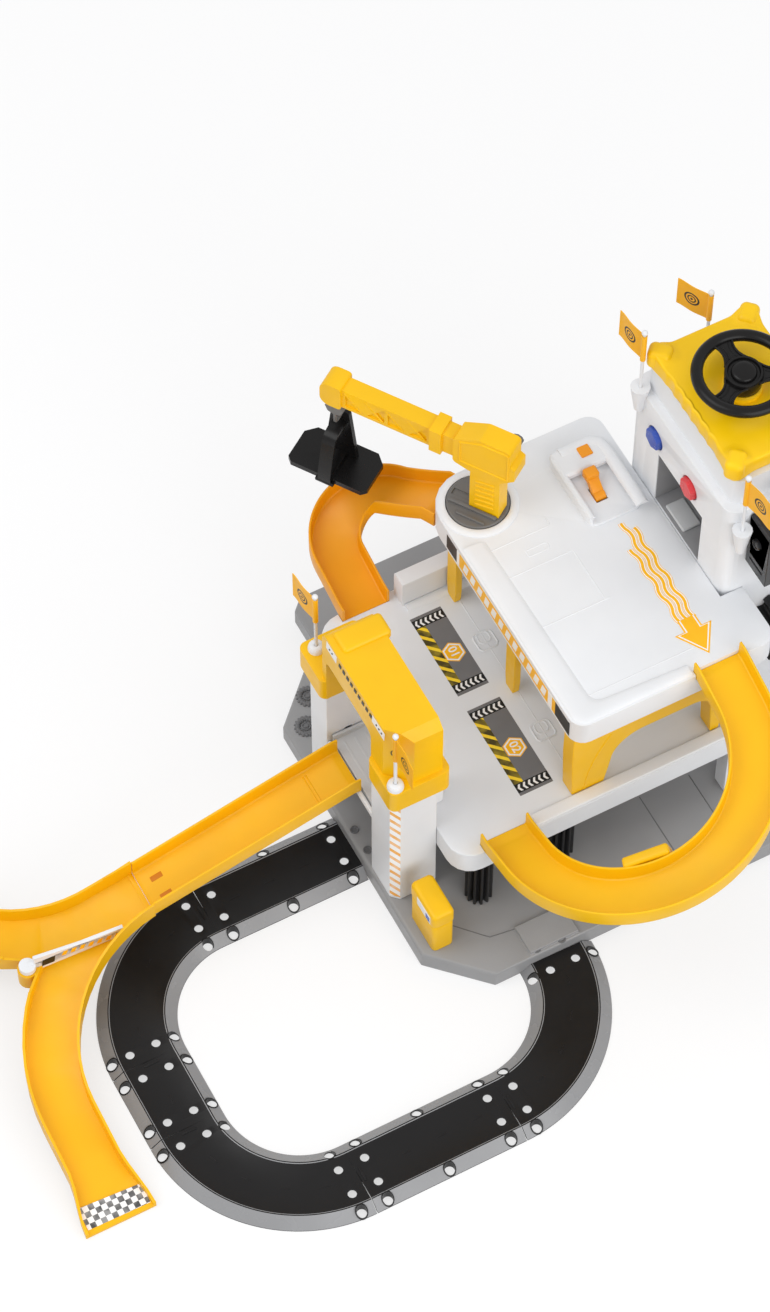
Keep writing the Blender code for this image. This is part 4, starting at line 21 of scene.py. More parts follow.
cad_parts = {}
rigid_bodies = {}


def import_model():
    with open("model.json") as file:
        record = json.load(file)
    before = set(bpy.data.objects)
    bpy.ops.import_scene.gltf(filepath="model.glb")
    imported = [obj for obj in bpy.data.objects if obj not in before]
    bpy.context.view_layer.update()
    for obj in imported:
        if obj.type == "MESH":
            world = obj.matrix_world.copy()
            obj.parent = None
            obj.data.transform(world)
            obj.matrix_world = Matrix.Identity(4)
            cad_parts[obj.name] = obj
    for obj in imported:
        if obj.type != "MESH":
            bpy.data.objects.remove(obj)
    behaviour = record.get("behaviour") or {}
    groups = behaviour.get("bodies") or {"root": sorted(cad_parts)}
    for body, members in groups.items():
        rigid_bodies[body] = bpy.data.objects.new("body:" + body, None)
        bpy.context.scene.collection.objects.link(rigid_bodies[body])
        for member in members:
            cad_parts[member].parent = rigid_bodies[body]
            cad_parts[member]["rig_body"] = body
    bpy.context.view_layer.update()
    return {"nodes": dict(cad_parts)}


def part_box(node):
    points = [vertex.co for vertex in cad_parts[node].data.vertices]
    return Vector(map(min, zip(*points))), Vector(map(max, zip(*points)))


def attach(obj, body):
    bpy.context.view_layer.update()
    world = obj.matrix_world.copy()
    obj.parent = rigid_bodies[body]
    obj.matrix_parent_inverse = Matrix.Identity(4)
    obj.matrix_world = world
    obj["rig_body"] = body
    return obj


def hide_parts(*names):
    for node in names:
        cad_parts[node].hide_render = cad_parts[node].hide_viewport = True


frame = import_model()

MM = 0.001
LOG = logging.getLogger("garage")
PLAN_MAP = "plan"

# Nearer points count as one point, and faces that lean less count as one face.
MERGE_DISTANCE = 0.002 * MM
MERGE_DEGREES = 0.6

# An edge that turns by more degrees stays sharp, or is rounded by a bevel.
PIECE_CREASE = 38.0
MOULDED_CREASE = 32.0
BEVEL_DEGREES = 32.0

# A font's size over its numerals' height, and how much they are thickened over that height.
FONT_SIZE = 1.4
FONT_WEIGHT = 0.02

DECK_ONE_TOP = 103 * MM
DECK_TWO_TOP = 213 * MM
BASE_TOP = 18 * MM
LIFT_LEFT = -196 * MM
LIFT_FRONT = -50 * MM
RAMP_WALL = 2 * MM
TURNTABLE = (-27 * MM, 131 * MM, 216 * MM)


# Finishes


class Feel(enum.Enum):
    """How a surface feels close up: (least roughness, most roughness, grain per metre, bump)."""

    GLOSSY = (0.20, 0.32, 700.0, 0.05)
    SATIN = (0.32, 0.46, 1100.0, 0.08)
    MATT = (0.46, 0.62, 1500.0, 0.14)
    PRINT = (0.40, 0.52, 2200.0, 0.04)


class Pattern(enum.Enum):
    """What is printed over the ground colour, in the piece's own UV map in metres."""

    PLAIN = "plain"
    RINGS = "rings"
    SLANTS = "slants"
    CHECKS = "checks"


@dataclass(frozen=True)
class Finish:
    """One moulded or printed finish.

    Attributes:
        name: The material's name.
        colour: The linear ground colour.
        slot: The record's material slot that it stands for; not used.
        feel: How rough and grainy it is.
        spread: How far the tone wanders over a large face.
        wear: How much paler the corners are.
        pattern: What is printed on it.
        ink: The linear colour of the print.
        pitch: The print's pitch or radius in metres.
        ink_share: How much of a slanted pitch is ink.
        shine: The specular level.
    """

    name: str
    colour: tuple[float, float, float]
    slot: str
    feel: Feel = Feel.SATIN
    spread: float = 0.06
    wear: float = 0.3
    pattern: Pattern = Pattern.PLAIN
    ink: tuple[float, float, float] = (0.0, 0.0, 0.0)
    pitch: float = 8 * MM
    ink_share: float = 0.5
    shine: float = 0.36

    def material(self) -> bpy.types.Material:
        """Build the finish as shader nodes, once.

        Returns:
            The material, with tone, roughness, grain and corner wear worked out by nodes.
        """
        name = self.name + "_finish"
        found = bpy.data.materials.get(name)
        if found is not None:
            return found
        made = bpy.data.materials.new(name)
        made.use_nodes = True
        return MaterialWriter(made, self).write()


class MaterialWriter:
    """Writes one finish into a material's node tree."""

    CLOUD_SCALE, PATCH_SCALE, SMUDGE_SCALE = 14.0, 90.0, 60.0
    CLOUD_RANGE, PATCH_RANGE, SMUDGE_RANGE = (0.35, 0.65), (0.40, 0.62), (0.3, 0.7)
    EDGE_RANGE = (0.53, 0.66)
    WORN_GAIN, WORN_LIFT = 1.12, 0.008
    RELIEF = 0.15 * MM
    RING_HALF, INNER_RING, INNER_HALF, DOT = 0.13, 0.55, 0.10, 0.2

    def __init__(self, made: bpy.types.Material, finish: Finish) -> None:
        """Take the material to fill and the finish to give it.

        Args:
            made: The material.
            finish: The finish.
        """
        self.made = made
        self.finish = finish
        self.nodes = made.node_tree.nodes
        self.links = made.node_tree.links
        self.shader = self.nodes["Principled BSDF"]

    def node(self, kind: str, **settings: object) -> bpy.types.ShaderNode:
        """Add a node and set its plain properties.

        Args:
            kind: The node's type name without its "ShaderNode" prefix.
            **settings: Properties to set on the node.

        Returns:
            The new node.
        """
        item = self.nodes.new("ShaderNode" + kind)
        for key, value in settings.items():
            setattr(item, key, value)
        return item

    def join(self, source: bpy.types.NodeSocket, target: bpy.types.NodeSocket) -> None:
        """Link an output to an input."""
        self.links.new(source, target)

    def noise(
        self,
        place: bpy.types.NodeSocket,
        scale: float,
        detail: float,
    ) -> bpy.types.NodeSocket:
        """Return the value of a noise of so many cells per metre.

        Args:
            place: The coordinates to read.
            scale: The number of cells per metre.
            detail: How many finer layers are laid over it.

        Returns:
            The socket of the noise's value from 0 to 1.
        """
        item = self.node("TexNoise")
        item.inputs["Scale"].default_value = scale
        item.inputs["Detail"].default_value = detail
        self.join(place, item.inputs["Vector"])
        return item.outputs["Fac"]

    def spread(
        self,
        value: bpy.types.NodeSocket,
        source: tuple[float, float],
        target: tuple[float, float],
    ) -> bpy.types.NodeSocket:
        """Map a value from one range to another, clamped.

        Args:
            value: The socket to read.
            source: The range that the value has.
            target: The range that it gets.

        Returns:
            The mapped socket.
        """
        item = self.node("MapRange")
        for index, number in enumerate((*source, *target)):
            item.inputs[index + 1].default_value = number
        self.join(value, item.inputs[0])
        return item.outputs[0]

    def maths(self, operation: str, *values: object) -> bpy.types.NodeSocket:
        """Work out one step of arithmetic on sockets or numbers.

        Args:
            operation: The Math node's operation.
            *values: Sockets or numbers, in the order of the node's inputs.

        Returns:
            The result's socket.
        """
        item = self.node("Math", operation=operation)
        for index, value in enumerate(values):
            if isinstance(value, bpy.types.NodeSocket):
                self.join(value, item.inputs[index])
            else:
                item.inputs[index].default_value = value
        return item.outputs[0]

    def blend(
        self,
        share: bpy.types.NodeSocket,
        first: object,
        second: object,
    ) -> bpy.types.NodeSocket:
        """Mix two colours, each a socket or three numbers.

        Args:
            share: How much of the second colour shows, from 0 to 1.
            first: The first colour.
            second: The second colour.

        Returns:
            The mixed colour's socket.
        """
        item = self.node("Mix", data_type="RGBA")
        self.join(share, item.inputs[0])
        for index, colour in ((6, first), (7, second)):
            if isinstance(colour, bpy.types.NodeSocket):
                self.join(colour, item.inputs[index])
            else:
                item.inputs[index].default_value = (*colour, 1.0)
        return item.outputs[2]

    def print_share(self) -> bpy.types.NodeSocket:
        """Work out where ink lies, from the UV map.

        Rings: the distance from the map's origin lies near one of two radii, or inside a dot.
        Slants: the sum of both directions, taken modulo the pitch, is under the inked share.
        Checks: the cells in both directions add up to an odd number.

        Returns:
            The socket of the ink's share, 0 or 1.
        """
        place = self.node("UVMap", uv_map=PLAN_MAP).outputs[0]
        split = self.node("SeparateXYZ")
        self.join(place, split.inputs[0])
        sides = (split.outputs[0], split.outputs[1])
        pitch = self.finish.pitch
        if self.finish.pattern is Pattern.SLANTS:
            slant = self.maths("FLOORED_MODULO", self.maths("ADD", *sides), pitch)
            return self.maths("LESS_THAN", slant, pitch * self.finish.ink_share)
        if self.finish.pattern is Pattern.CHECKS:
            cells = [self.maths("FLOOR", self.maths("DIVIDE", side, pitch)) for side in sides]
            return self.maths("FLOORED_MODULO", self.maths("ADD", *cells), 2.0)
        squares = [self.maths("POWER", self.maths("ABSOLUTE", side), 2.0) for side in sides]
        distance = self.maths("SQRT", self.maths("ADD", *squares))
        outer = self.maths("COMPARE", distance, pitch, pitch * self.RING_HALF)
        inner = self.maths("COMPARE", distance, pitch * self.INNER_RING, pitch * self.INNER_HALF)
        dot = self.maths("LESS_THAN", distance, pitch * self.DOT)
        return self.maths("MAXIMUM", outer, self.maths("MAXIMUM", inner, dot))

    def write(self) -> bpy.types.Material:
        """Wire up tone, print, wear, roughness and grain.

        Returns:
            The finished material.
        """
        least, most, grain, bump = self.finish.feel.value
        self.shader.inputs["Specular IOR Level"].default_value = self.finish.shine
        place = self.node("TexCoord").outputs["Object"]
        mapping = self.node("Mapping")
        self.join(place, mapping.inputs["Vector"])
        place = mapping.outputs["Vector"]
        ground = np.array(self.finish.colour)
        cloud = self.spread(self.noise(place, self.CLOUD_SCALE, 3.0), self.CLOUD_RANGE, (0.0, 1.0))
        low = tuple(ground * (1 - self.finish.spread))
        high = tuple(np.minimum(ground * (1 + self.finish.spread * 0.5), 1.0))
        colour = self.blend(cloud, low, high)
        if self.finish.pattern is not Pattern.PLAIN:
            colour = self.blend(self.print_share(), colour, self.finish.ink)
        corner = self.node("NewGeometry").outputs["Pointiness"]
        edge = self.spread(corner, self.EDGE_RANGE, (0.0, 1.0))
        blotch = self.noise(place, self.PATCH_SCALE, 2.0)
        patches = self.spread(blotch, self.PATCH_RANGE, (0.2, 1.0))
        worn = self.maths("MULTIPLY", self.maths("MULTIPLY", edge, patches), self.finish.wear)
        pale = tuple(np.minimum(ground * self.WORN_GAIN + self.WORN_LIFT, 1.0))
        self.join(self.blend(worn, colour, pale), self.shader.inputs["Base Color"])
        smudge = self.noise(place, self.SMUDGE_SCALE, 4.0)
        rough = self.spread(smudge, self.SMUDGE_RANGE, (least, most))
        self.join(rough, self.shader.inputs["Roughness"])
        relief = self.node("Bump")
        relief.inputs["Strength"].default_value = bump
        relief.inputs["Distance"].default_value = self.RELIEF
        self.join(self.noise(place, grain, 2.0), relief.inputs["Height"])
        self.join(relief.outputs["Normal"], self.shader.inputs["Normal"])
        return self.made


YELLOW = Finish("yellow_plastic", (0.91, 0.52, 0.001), "yellow_plastic")
# Painted light: a lighter copy of the yellow plastic for the roof, making up for the shade that the
# steering wheel casts on it.
ROOF_PAINTED_LIGHT_YELLOW = Finish("roof_painted_light_plastic", (0.98, 0.60, 0.001), "yellow_plastic")
TRACK_YELLOW = Finish("track_yellow_plastic", (0.91, 0.485, 0.001), "yellow_plastic")
# Painted shade: a darker, more orange copy of the yellow plastic for the rear ramp, standing for
# the shade that it lies in.
REAR_PAINTED_SHADE_YELLOW = Finish("rear_track_painted_shade_plastic", (0.88, 0.36, 0.001), "yellow_plastic")
# Painted shade: a darker orange copy of the yellow plastic on the joint's latch slots, standing for
# the shade in their recesses.
LATCH_PAINTED_SHADE_ORANGE = Finish("track_latch_painted_shade_plastic", (0.62, 0.20, 0.001), "yellow_plastic", Feel.MATT)
# Painted shade: a grey copy of the white plastic that lines the doorway, where there is only shade.
DOORWAY_PAINTED_SHADE_GREY = Finish("doorway_painted_shade_plastic", (0.29, 0.29, 0.30), "white_plastic", Feel.MATT)
GEAR_BLACK = Finish("gear_box_plastic", (0.022, 0.022, 0.024), "dark_plastic", Feel.GLOSSY)
WHITE = Finish("white_plastic", (0.785, 0.80, 0.825), "white_plastic", spread=0.03)
# Painted shade: a darker copy of the white plastic for the lower deck, standing for the upper
# deck's shade on it.
LOWER_DECK_PAINTED_SHADE_WHITE = Finish("lower_deck_painted_shade_plastic", (0.75, 0.77, 0.80), "white_plastic", spread=0.03)
LIGHT_GREY = Finish("light_grey_plastic", (0.55, 0.56, 0.57), "light_plastic")
DARK_GREY = Finish("dark_grey_plastic", (0.15, 0.145, 0.14), "dark_plastic")
BASE_GREY = Finish("base_grey_plastic", (0.30, 0.30, 0.305), "base_grey")
# Painted shade: a darker copy of the base grey on the moulded lines, tyre reliefs and screw
# sockets, standing for the shade in their grooves and hollows.
BASE_PAINTED_SHADE_GREY = Finish("base_painted_shade_plastic", (0.16, 0.16, 0.165), "base_grey", Feel.MATT)
BLACK = Finish("black_plastic", (0.007, 0.0065, 0.0065), "black_plastic", Feel.GLOSSY, shine=0.25)
TYRE = Finish("tyre_plastic", (0.009, 0.009, 0.0095), "tyre_black")
ROAD = Finish("road_plastic", (0.008, 0.0075, 0.008), "road_black", shine=0.26)
# Painted reflection: a grey copy of the black road plastic on the kerbs' sloping sides, standing
# for the sheen that they show.
KERB_PAINTED_SHEEN_GREY = Finish("road_kerb_painted_sheen_plastic", (0.28, 0.282, 0.29), "road_black", Feel.GLOSSY)
BLUE = Finish("blue_plastic", (0.045, 0.10, 0.46), "blue_button", Feel.GLOSSY)
RED = Finish("red_plastic", (0.70, 0.05, 0.06), "red_button", Feel.GLOSSY)
ORANGE = Finish("orange_plastic", (0.90, 0.33, 0.01), "orange_plastic")
FLAG = Finish(
    "flag_print",
    (0.95, 0.47, 0.008),
    "flag_sheet",
    Feel.PRINT,
    pattern=Pattern.RINGS,
    ink=(0.02, 0.018, 0.015),
    pitch=6 * MM,
)
PRINT_GREY = Finish("bay_print_grey", (0.165, 0.165, 0.17), "white_plastic", Feel.PRINT)
PRINT_BLACK = Finish("bay_print_black", (0.008, 0.008, 0.008), "white_plastic", Feel.PRINT)
PRINT_WHITE = Finish("bay_print_white", (0.88, 0.88, 0.88), "white_plastic", Feel.PRINT)
PRINT_ORANGE = Finish("bay_print_orange", (0.95, 0.48, 0.006), "white_plastic", Feel.PRINT)
PRINT_HAZARD = Finish(
    "bay_print_hazard",
    (0.95, 0.66, 0.03),
    "white_plastic",
    Feel.PRINT,
    pattern=Pattern.SLANTS,
    ink=(0.006, 0.006, 0.006),
    pitch=10.5 * MM,
    ink_share=0.64,
)
PRINT_SLANT = Finish(
    "post_print_slants",
    (0.95, 0.95, 0.95),
    "white_plastic",
    Feel.PRINT,
    pattern=Pattern.SLANTS,
    ink=(0.88, 0.38, 0.004),
    pitch=11.0 * MM,
    ink_share=0.42,
)
PRINT_CHECKS = Finish(
    "line_print_checks",
    (0.90, 0.90, 0.90),
    "yellow_plastic",
    Feel.PRINT,
    pattern=Pattern.CHECKS,
    ink=(0.01, 0.01, 0.01),
    pitch=4.5 * MM,
)


# Surfaces worked out on grids


@dataclass
class Surface:
    """A mesh held as arrays: its points, and its faces as tuples of point numbers."""

    points: np.ndarray
    faces: list[tuple[int, ...]]

    def placed(self, matrix: Matrix) -> "Surface":
        """Return the surface moved by a matrix.

        Args:
            matrix: A 4x4 placement.

        Returns:
            A new surface whose points are turned and shifted.
        """
        turn = np.array(matrix)
        return Surface(self.points @ turn[:3, :3].T + turn[:3, 3], self.faces)

    def __add__(self, other: "Surface") -> "Surface":
        """Put both surfaces together.

        Args:
            other: The surface to add.

        Returns:
            One surface with the points and faces of both.
        """
        shift = len(self.points)
        moved = [tuple(index + shift for index in face) for face in other.faces]
        return Surface(np.concatenate([self.points, other.points]), self.faces + moved)


def joined(surfaces: Iterable[Surface]) -> Surface:
    """Return several surfaces as one."""
    return functools.reduce(Surface.__add__, surfaces)


def compass(way: float) -> tuple[np.ndarray, np.ndarray]:
    """Return the level unit directions along a heading in radians and to the left of it."""
    ahead = np.array([math.cos(way), math.sin(way), 0.0])
    return ahead, np.array([-ahead[1], ahead[0], 0.0])


def smooth_step(share: np.ndarray) -> np.ndarray:
    """Ease a share from 0 to 1: three times its square less twice its cube."""
    return share * share * (3 - 2 * share)


def raised(flat: np.ndarray, level: float) -> np.ndarray:
    """Give flat points one level."""
    return np.column_stack([flat, np.full(len(flat), level)])


def read_off(steps: np.ndarray, far: np.ndarray, table: np.ndarray) -> np.ndarray:
    """Interpolate every column of a table, whose rows lie at some distances, at other ones."""
    return np.column_stack([np.interp(steps, far, column) for column in table.T])


def traced(corners: np.ndarray, least: int, pace: float = math.inf) -> np.ndarray:
    """Spread points evenly along straight stretches.

    Args:
        corners: The stretches' corners, a row for each.
        least: The smallest number of points.
        pace: About how far apart they may lie.

    Returns:
        The points, a row for each.
    """
    far = np.concatenate([[0], np.cumsum(np.linalg.norm(np.diff(corners, axis=0), axis=1))])
    steps = np.linspace(0, far[-1], max(least, round(far[-1] / pace)))
    return read_off(steps, far, corners)


def skin(
    points: np.ndarray,
    wrap_rows: bool = False,
    wrap_columns: bool = False,
    caps: bool = False,
) -> Surface:
    """Cover a grid of points with four-sided faces.

    Args:
        points: An array of rows by columns by three.
        wrap_rows: Whether the last row joins the first.
        wrap_columns: Whether the last column joins the first.
        caps: Whether the first and last row are closed with one face each.

    Returns:
        The surface.
    """
    rows, columns = points.shape[:2]
    index = np.arange(rows * columns).reshape(rows, columns)
    if wrap_rows:
        index = np.concatenate([index, index[:1]])
    if wrap_columns:
        index = np.concatenate([index, index[:, :1]], axis=1)
    corners = [index[:-1, :-1], index[1:, :-1], index[1:, 1:], index[:-1, 1:]]
    faces = [tuple(face) for face in np.stack(corners, axis=-1).reshape(-1, 4).tolist()]
    if caps:
        faces.append(tuple(range(columns)))
        faces.append(tuple(range((rows - 1) * columns, rows * columns)))
    return Surface(points.reshape(-1, 3), faces)


def carried(path: np.ndarray, section: np.ndarray) -> Surface:
    """Carry a closed section along a path.

    Each point is the path's point, plus the section's first number times the level direction
    across the path, plus its second number straight up.

    Args:
        path: The path's points, n by three.
        section: The closed section, m by two, or n by m by two where it changes.

    Returns:
        The closed solid's surface.
    """
    way = np.gradient(path, axis=0)
    way[:, 2] = 0
    way /= np.linalg.norm(way, axis=1)[:, None]
    across = np.stack([-way[:, 1], way[:, 0], np.zeros(len(way))], axis=1)
    if section.ndim == 2:
        section = np.broadcast_to(section, (len(path), *section.shape))
    points = path[:, None, :] + across[:, None, :] * section[..., 0:1]
    points = points + np.array([0.0, 0.0, 1.0]) * section[..., 1:2]
    return skin(points, wrap_columns=True, caps=True)


def tube(path: np.ndarray, radius: float | np.ndarray, sides: int = 12) -> Surface:
    """Carry a circle along any path.

    Each point is the path's point plus the radius times the cosine of the angle along one
    normal of the path and the sine along the other. The normals come from the path's own
    direction and the direction that it never runs along.

    Args:
        path: The path's points, n by three.
        radius: One radius, or one for each point.
        sides: The number of points round the circle.

    Returns:
        The closed tube's surface.
    """
    way = np.gradient(path, axis=0)
    way /= np.linalg.norm(way, axis=1)[:, None]
    spare = np.eye(3)[np.argmin(np.abs(way).sum(axis=0))]
    first = np.cross(way, spare)
    first /= np.linalg.norm(first, axis=1)[:, None]
    second = np.cross(way, first)
    angle = np.linspace(0, 2 * np.pi, sides, endpoint=False)[None, :, None]
    reach = np.broadcast_to(np.asarray(radius, float), (len(path),))[:, None, None]
    circle = np.cos(angle) * first[:, None] + np.sin(angle) * second[:, None]
    return skin(path[:, None] + reach * circle, wrap_columns=True, caps=True)


def turned(
    profile: Sequence[tuple[float, float]],
    centre: Sequence[float],
    steps: int = 48,
) -> Surface:
    """Turn a profile of (radius, height) round a vertical line.

    Each point is the centre plus the radius times the cosine and sine of the angle, at its
    height. A profile that starts and ends at radius zero gives a closed solid, and one that
    ends where it starts gives a closed ring.

    Args:
        profile: The profile's points.
        centre: The foot of the line.
        steps: The number of steps round it.

    Returns:
        The surface.
    """
    section = np.array(profile, float)
    angle = np.linspace(0, 2 * np.pi, steps, endpoint=False)
    x = np.cos(angle)[:, None] * section[None, :, 0]
    y = np.sin(angle)[:, None] * section[None, :, 0]
    z = np.broadcast_to(section[:, 1], x.shape)
    return skin(np.stack([x, y, z], axis=-1) + np.array(centre, float), wrap_rows=True)


def lathe(
    profile: Sequence[tuple[float, float]],
    centre: Sequence[float] = (0, 0, 0),
    steps: int = 48,
) -> Surface:
    """Turn a profile that is given in millimetres."""
    return turned([(radius * MM, height * MM) for radius, height in profile], centre, steps)


def rounded_block(
    low: Sequence[float],
    high: Sequence[float],
    radius: float,
    steps: int = 3,
) -> Surface:
    """Return a block whose edges and corners are rounded.

    Each point is a direction on a sphere times the radius, plus the inner box's corner in the
    direction's octant. The direction's two angles run over each octant's quarter turns.

    Args:
        low: The lowest corner.
        high: The highest corner.
        radius: The rounding's radius.
        steps: The number of steps in a quarter turn.

    Returns:
        The closed surface.
    """
    low, high = np.array(low, float), np.array(high, float)
    half = (high - low) / 2
    quarter = np.linspace(0, np.pi / 2, steps + 1)
    around = np.concatenate([quarter + np.pi / 2 * turn for turn in range(4)])
    side_x = np.repeat([1.0, -1.0, -1.0, 1.0], steps + 1)
    side_y = np.repeat([1.0, 1.0, -1.0, -1.0], steps + 1)
    rise = np.concatenate([quarter - np.pi / 2, quarter])
    side_z = np.repeat([-1.0, 1.0], steps + 1)
    shape = (len(rise), len(around))
    way = np.stack([
        np.cos(rise)[:, None] * np.cos(around),
        np.cos(rise)[:, None] * np.sin(around),
        np.broadcast_to(np.sin(rise)[:, None], shape),
    ], axis=-1)
    core = np.stack([
        np.broadcast_to(side_x, shape) * (half[0] - radius),
        np.broadcast_to(side_y, shape) * (half[1] - radius),
        np.broadcast_to(side_z[:, None], shape) * (half[2] - radius),
    ], axis=-1)
    return skin((low + high) / 2 + core + way * radius, wrap_columns=True, caps=True)


def block(low: Sequence[float], high: Sequence[float], radius: float, steps: int = 3) -> Surface:
    """Return a rounded block whose sizes are given in millimetres."""
    return rounded_block(np.array(low) * MM, np.array(high) * MM, radius * MM, steps)


def prism(outline: Sequence[Sequence[float]], low: float, high: float) -> Surface:
    """Raise a flat outline between two levels.

    Args:
        outline: The outline's (x, y) corners in order.
        low: The lower level.
        high: The upper level.

    Returns:
        The closed solid's surface.
    """
    flat = np.array(outline, float)[:, :2]
    rings = [raised(flat, level) for level in (low, high)]
    return skin(np.stack(rings), wrap_columns=True, caps=True)


def slab(outline: Sequence[Sequence[float]], low: float, high: float) -> Surface:
    """Raise a flat outline that is given in millimetres."""
    return prism(np.array(outline) * MM, low * MM, high * MM)


def rounded_outline(half: np.ndarray, corner: float, steps: int) -> np.ndarray:
    """Return the outline of a rectangle with round corners, round the origin.

    Args:
        half: Half the rectangle's sizes.
        corner: The corners' radius.
        steps: The number of steps in each corner.

    Returns:
        The outline's points, from +X round to the left.
    """
    arcs = []
    for x, y, turn in ((1, 1, 0), (-1, 1, 90), (-1, -1, 180), (1, -1, 270)):
        centre = (x * (half[0] - corner), y * (half[1] - corner))
        arcs.append(quarter_arc(centre, corner, turn, turn + 90, steps))
    return np.concatenate(arcs)


def quarter_arc(
    centre: tuple[float, float],
    radius: float,
    start: float,
    end: float,
    steps: int = 4,
) -> np.ndarray:
    """Return points on an arc: the centre plus the radius times cosine and sine of the angle.

    Args:
        centre: The arc's centre.
        radius: Its radius.
        start: Its first angle in degrees.
        end: Its last angle in degrees.
        steps: The number of steps along it.

    Returns:
        The points, steps plus one by two.
    """
    angle = np.radians(np.linspace(start, end, steps + 1))
    return np.array(centre) + radius * np.column_stack([np.cos(angle), np.sin(angle)])


def walked(
    start: tuple[float, float],
    heading: float,
    legs: Sequence[tuple],
    pace: float = 2 * MM,
) -> np.ndarray:
    """Walk straight legs and arcs in plan.

    A straight leg adds its length along the heading. An arc turns the heading in proportion to
    the distance walked, and its points lie on the circle of its radius.

    Args:
        start: The first (x, y).
        heading: The first heading in degrees.
        legs: ("straight", length) or ("arc", radius, degrees), where a positive arc turns left.
        pace: The distance between points.

    Returns:
        Rows of x, y, heading in radians and distance walked.
    """
    rows = [np.array([[*start, math.radians(heading), 0.0]])]
    for leg in legs:
        x, y, way, far = rows[-1][-1]
        if leg[0] == "straight":
            share = np.linspace(0, 1, max(2, math.ceil(leg[1] / pace)))[1:]
            step = share * leg[1]
            rows.append(np.column_stack([
                x + step * math.cos(way),
                y + step * math.sin(way),
                np.full(len(step), way),
                far + step,
            ]))
            continue
        radius, turn = leg[1], math.radians(leg[2])
        side = math.copysign(1, turn)
        share = np.linspace(0, 1, max(8, math.ceil(radius * abs(turn) / pace)))[1:]
        ways = way + turn * share
        rows.append(np.column_stack([
            x - side * radius * math.sin(way) + side * radius * np.sin(ways),
            y + side * radius * math.cos(way) - side * radius * np.cos(ways),
            ways,
            far + radius * abs(turn) * share,
        ]))
    return np.concatenate(rows)


# Pieces


def stood(name: str, data: bpy.types.ID) -> bpy.types.Object:
    """Put a new object into the scene.

    Args:
        name: The object's name.
        data: Its mesh, curve, camera or light.

    Returns:
        The object.
    """
    item = bpy.data.objects.new(name, data)
    bpy.context.scene.collection.objects.link(item)
    return item


def shade(data: bpy.types.Mesh, crease: float) -> None:
    """Shade a mesh smoothly up to an angle in degrees."""
    data.shade_smooth()
    data.set_sharp_from_angle(angle=math.radians(crease))


def finished_mesh(name: str, surface: Surface, crease: float) -> bpy.types.Mesh:
    """Turn a surface into a mesh whose doubles are merged and whose faces point outwards.

    Args:
        name: The mesh's name.
        surface: The surface.
        crease: The angle in degrees over which an edge stays sharp.

    Returns:
        The mesh.
    """
    data = bpy.data.meshes.new(name)
    data.from_pydata(surface.points.tolist(), [], surface.faces)
    mesh = bmesh.new()
    mesh.from_mesh(data)
    bmesh.ops.remove_doubles(mesh, verts=mesh.verts, dist=MERGE_DISTANCE)
    bmesh.ops.recalc_face_normals(mesh, faces=mesh.faces)
    mesh.to_mesh(data)
    mesh.free()
    shade(data, crease)
    return data


def soften(item: bpy.types.Object, width: float, segments: int = 2) -> None:
    """Round a piece's sharp edges with a live bevel.

    Args:
        item: The piece.
        width: The bevel's width.
        segments: The number of steps in it.
    """
    bevel = item.modifiers.new("soft_edges", "BEVEL")
    bevel.width = width
    bevel.segments = segments
    bevel.limit_method = "ANGLE"
    bevel.angle_limit = math.radians(BEVEL_DEGREES)
    bevel.harden_normals = True


def set_out(
    item: bpy.types.Object,
    finish: Finish,
    body: str,
    replaces: Sequence[str] = (),
) -> bpy.types.Object:
    """Dress a finished object and let it ride on its body.

    Args:
        item: The object.
        finish: Its finish.
        body: The body that carries it.
        replaces: The nodes that it stands for.

    Returns:
        The same object.
    """
    item.data.materials.clear()
    item.data.materials.append(finish.material())
    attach(item, body)
    if replaces:
        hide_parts(*replaces)
    LOG.info("%s rides on %s in %s", item.name, body, finish.name)
    return item


def add_piece(
    name: str,
    surface: Surface,
    finish: Finish,
    body: str = "garage",
    replaces: Sequence[str] = (),
    crease: float = PIECE_CREASE,
    edge: float = 0.0,
) -> bpy.types.Object:
    """Make a new piece from a surface.

    Args:
        name: The piece's name.
        surface: Its surface in the shared frame.
        finish: Its finish.
        body: The body that carries it.
        replaces: The nodes that it stands for.
        crease: The angle over which an edge stays sharp.
        edge: The width of its softened edges, or zero.

    Returns:
        The piece.
    """
    item = stood(name, finished_mesh(name, surface, crease))
    if edge:
        soften(item, edge)
    return set_out(item, finish, body, replaces)


def moulded(
    node: str,
    finish: Finish,
    edge: float = 0.5 * MM,
    crease: float = MOULDED_CREASE,
) -> bpy.types.Object:
    """Stand in for a node with a merged copy whose edges are softened as moulded plastic is.

    Args:
        node: The node's name.
        finish: Its finish.
        edge: The width of its softened edges.
        crease: The angle over which an edge stays sharp.

    Returns:
        The piece that replaces the node.
    """
    data = frame["nodes"][node].data.copy()
    mesh = bmesh.new()
    mesh.from_mesh(data)
    bmesh.ops.remove_doubles(mesh, verts=mesh.verts, dist=MERGE_DISTANCE)
    bmesh.ops.dissolve_limit(
        mesh,
        angle_limit=math.radians(MERGE_DEGREES),
        verts=mesh.verts,
        edges=mesh.edges,
    )
    mesh.to_mesh(data)
    mesh.free()
    shade(data, crease)
    item = stood(node + "_moulded", data)
    if edge:
        soften(item, edge)
    return set_out(item, finish, frame["nodes"][node]["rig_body"], (node,))


def dress_node(node: str, finish: Finish) -> None:
    """Give a node that stays a procedural finish.

    Args:
        node: The node's name.
        finish: Its finish.
    """
    item = frame["nodes"][node]
    item.data.materials.clear()
    item.data.materials.append(finish.material())
    LOG.info("%s keeps its own shape in %s", node, finish.name)


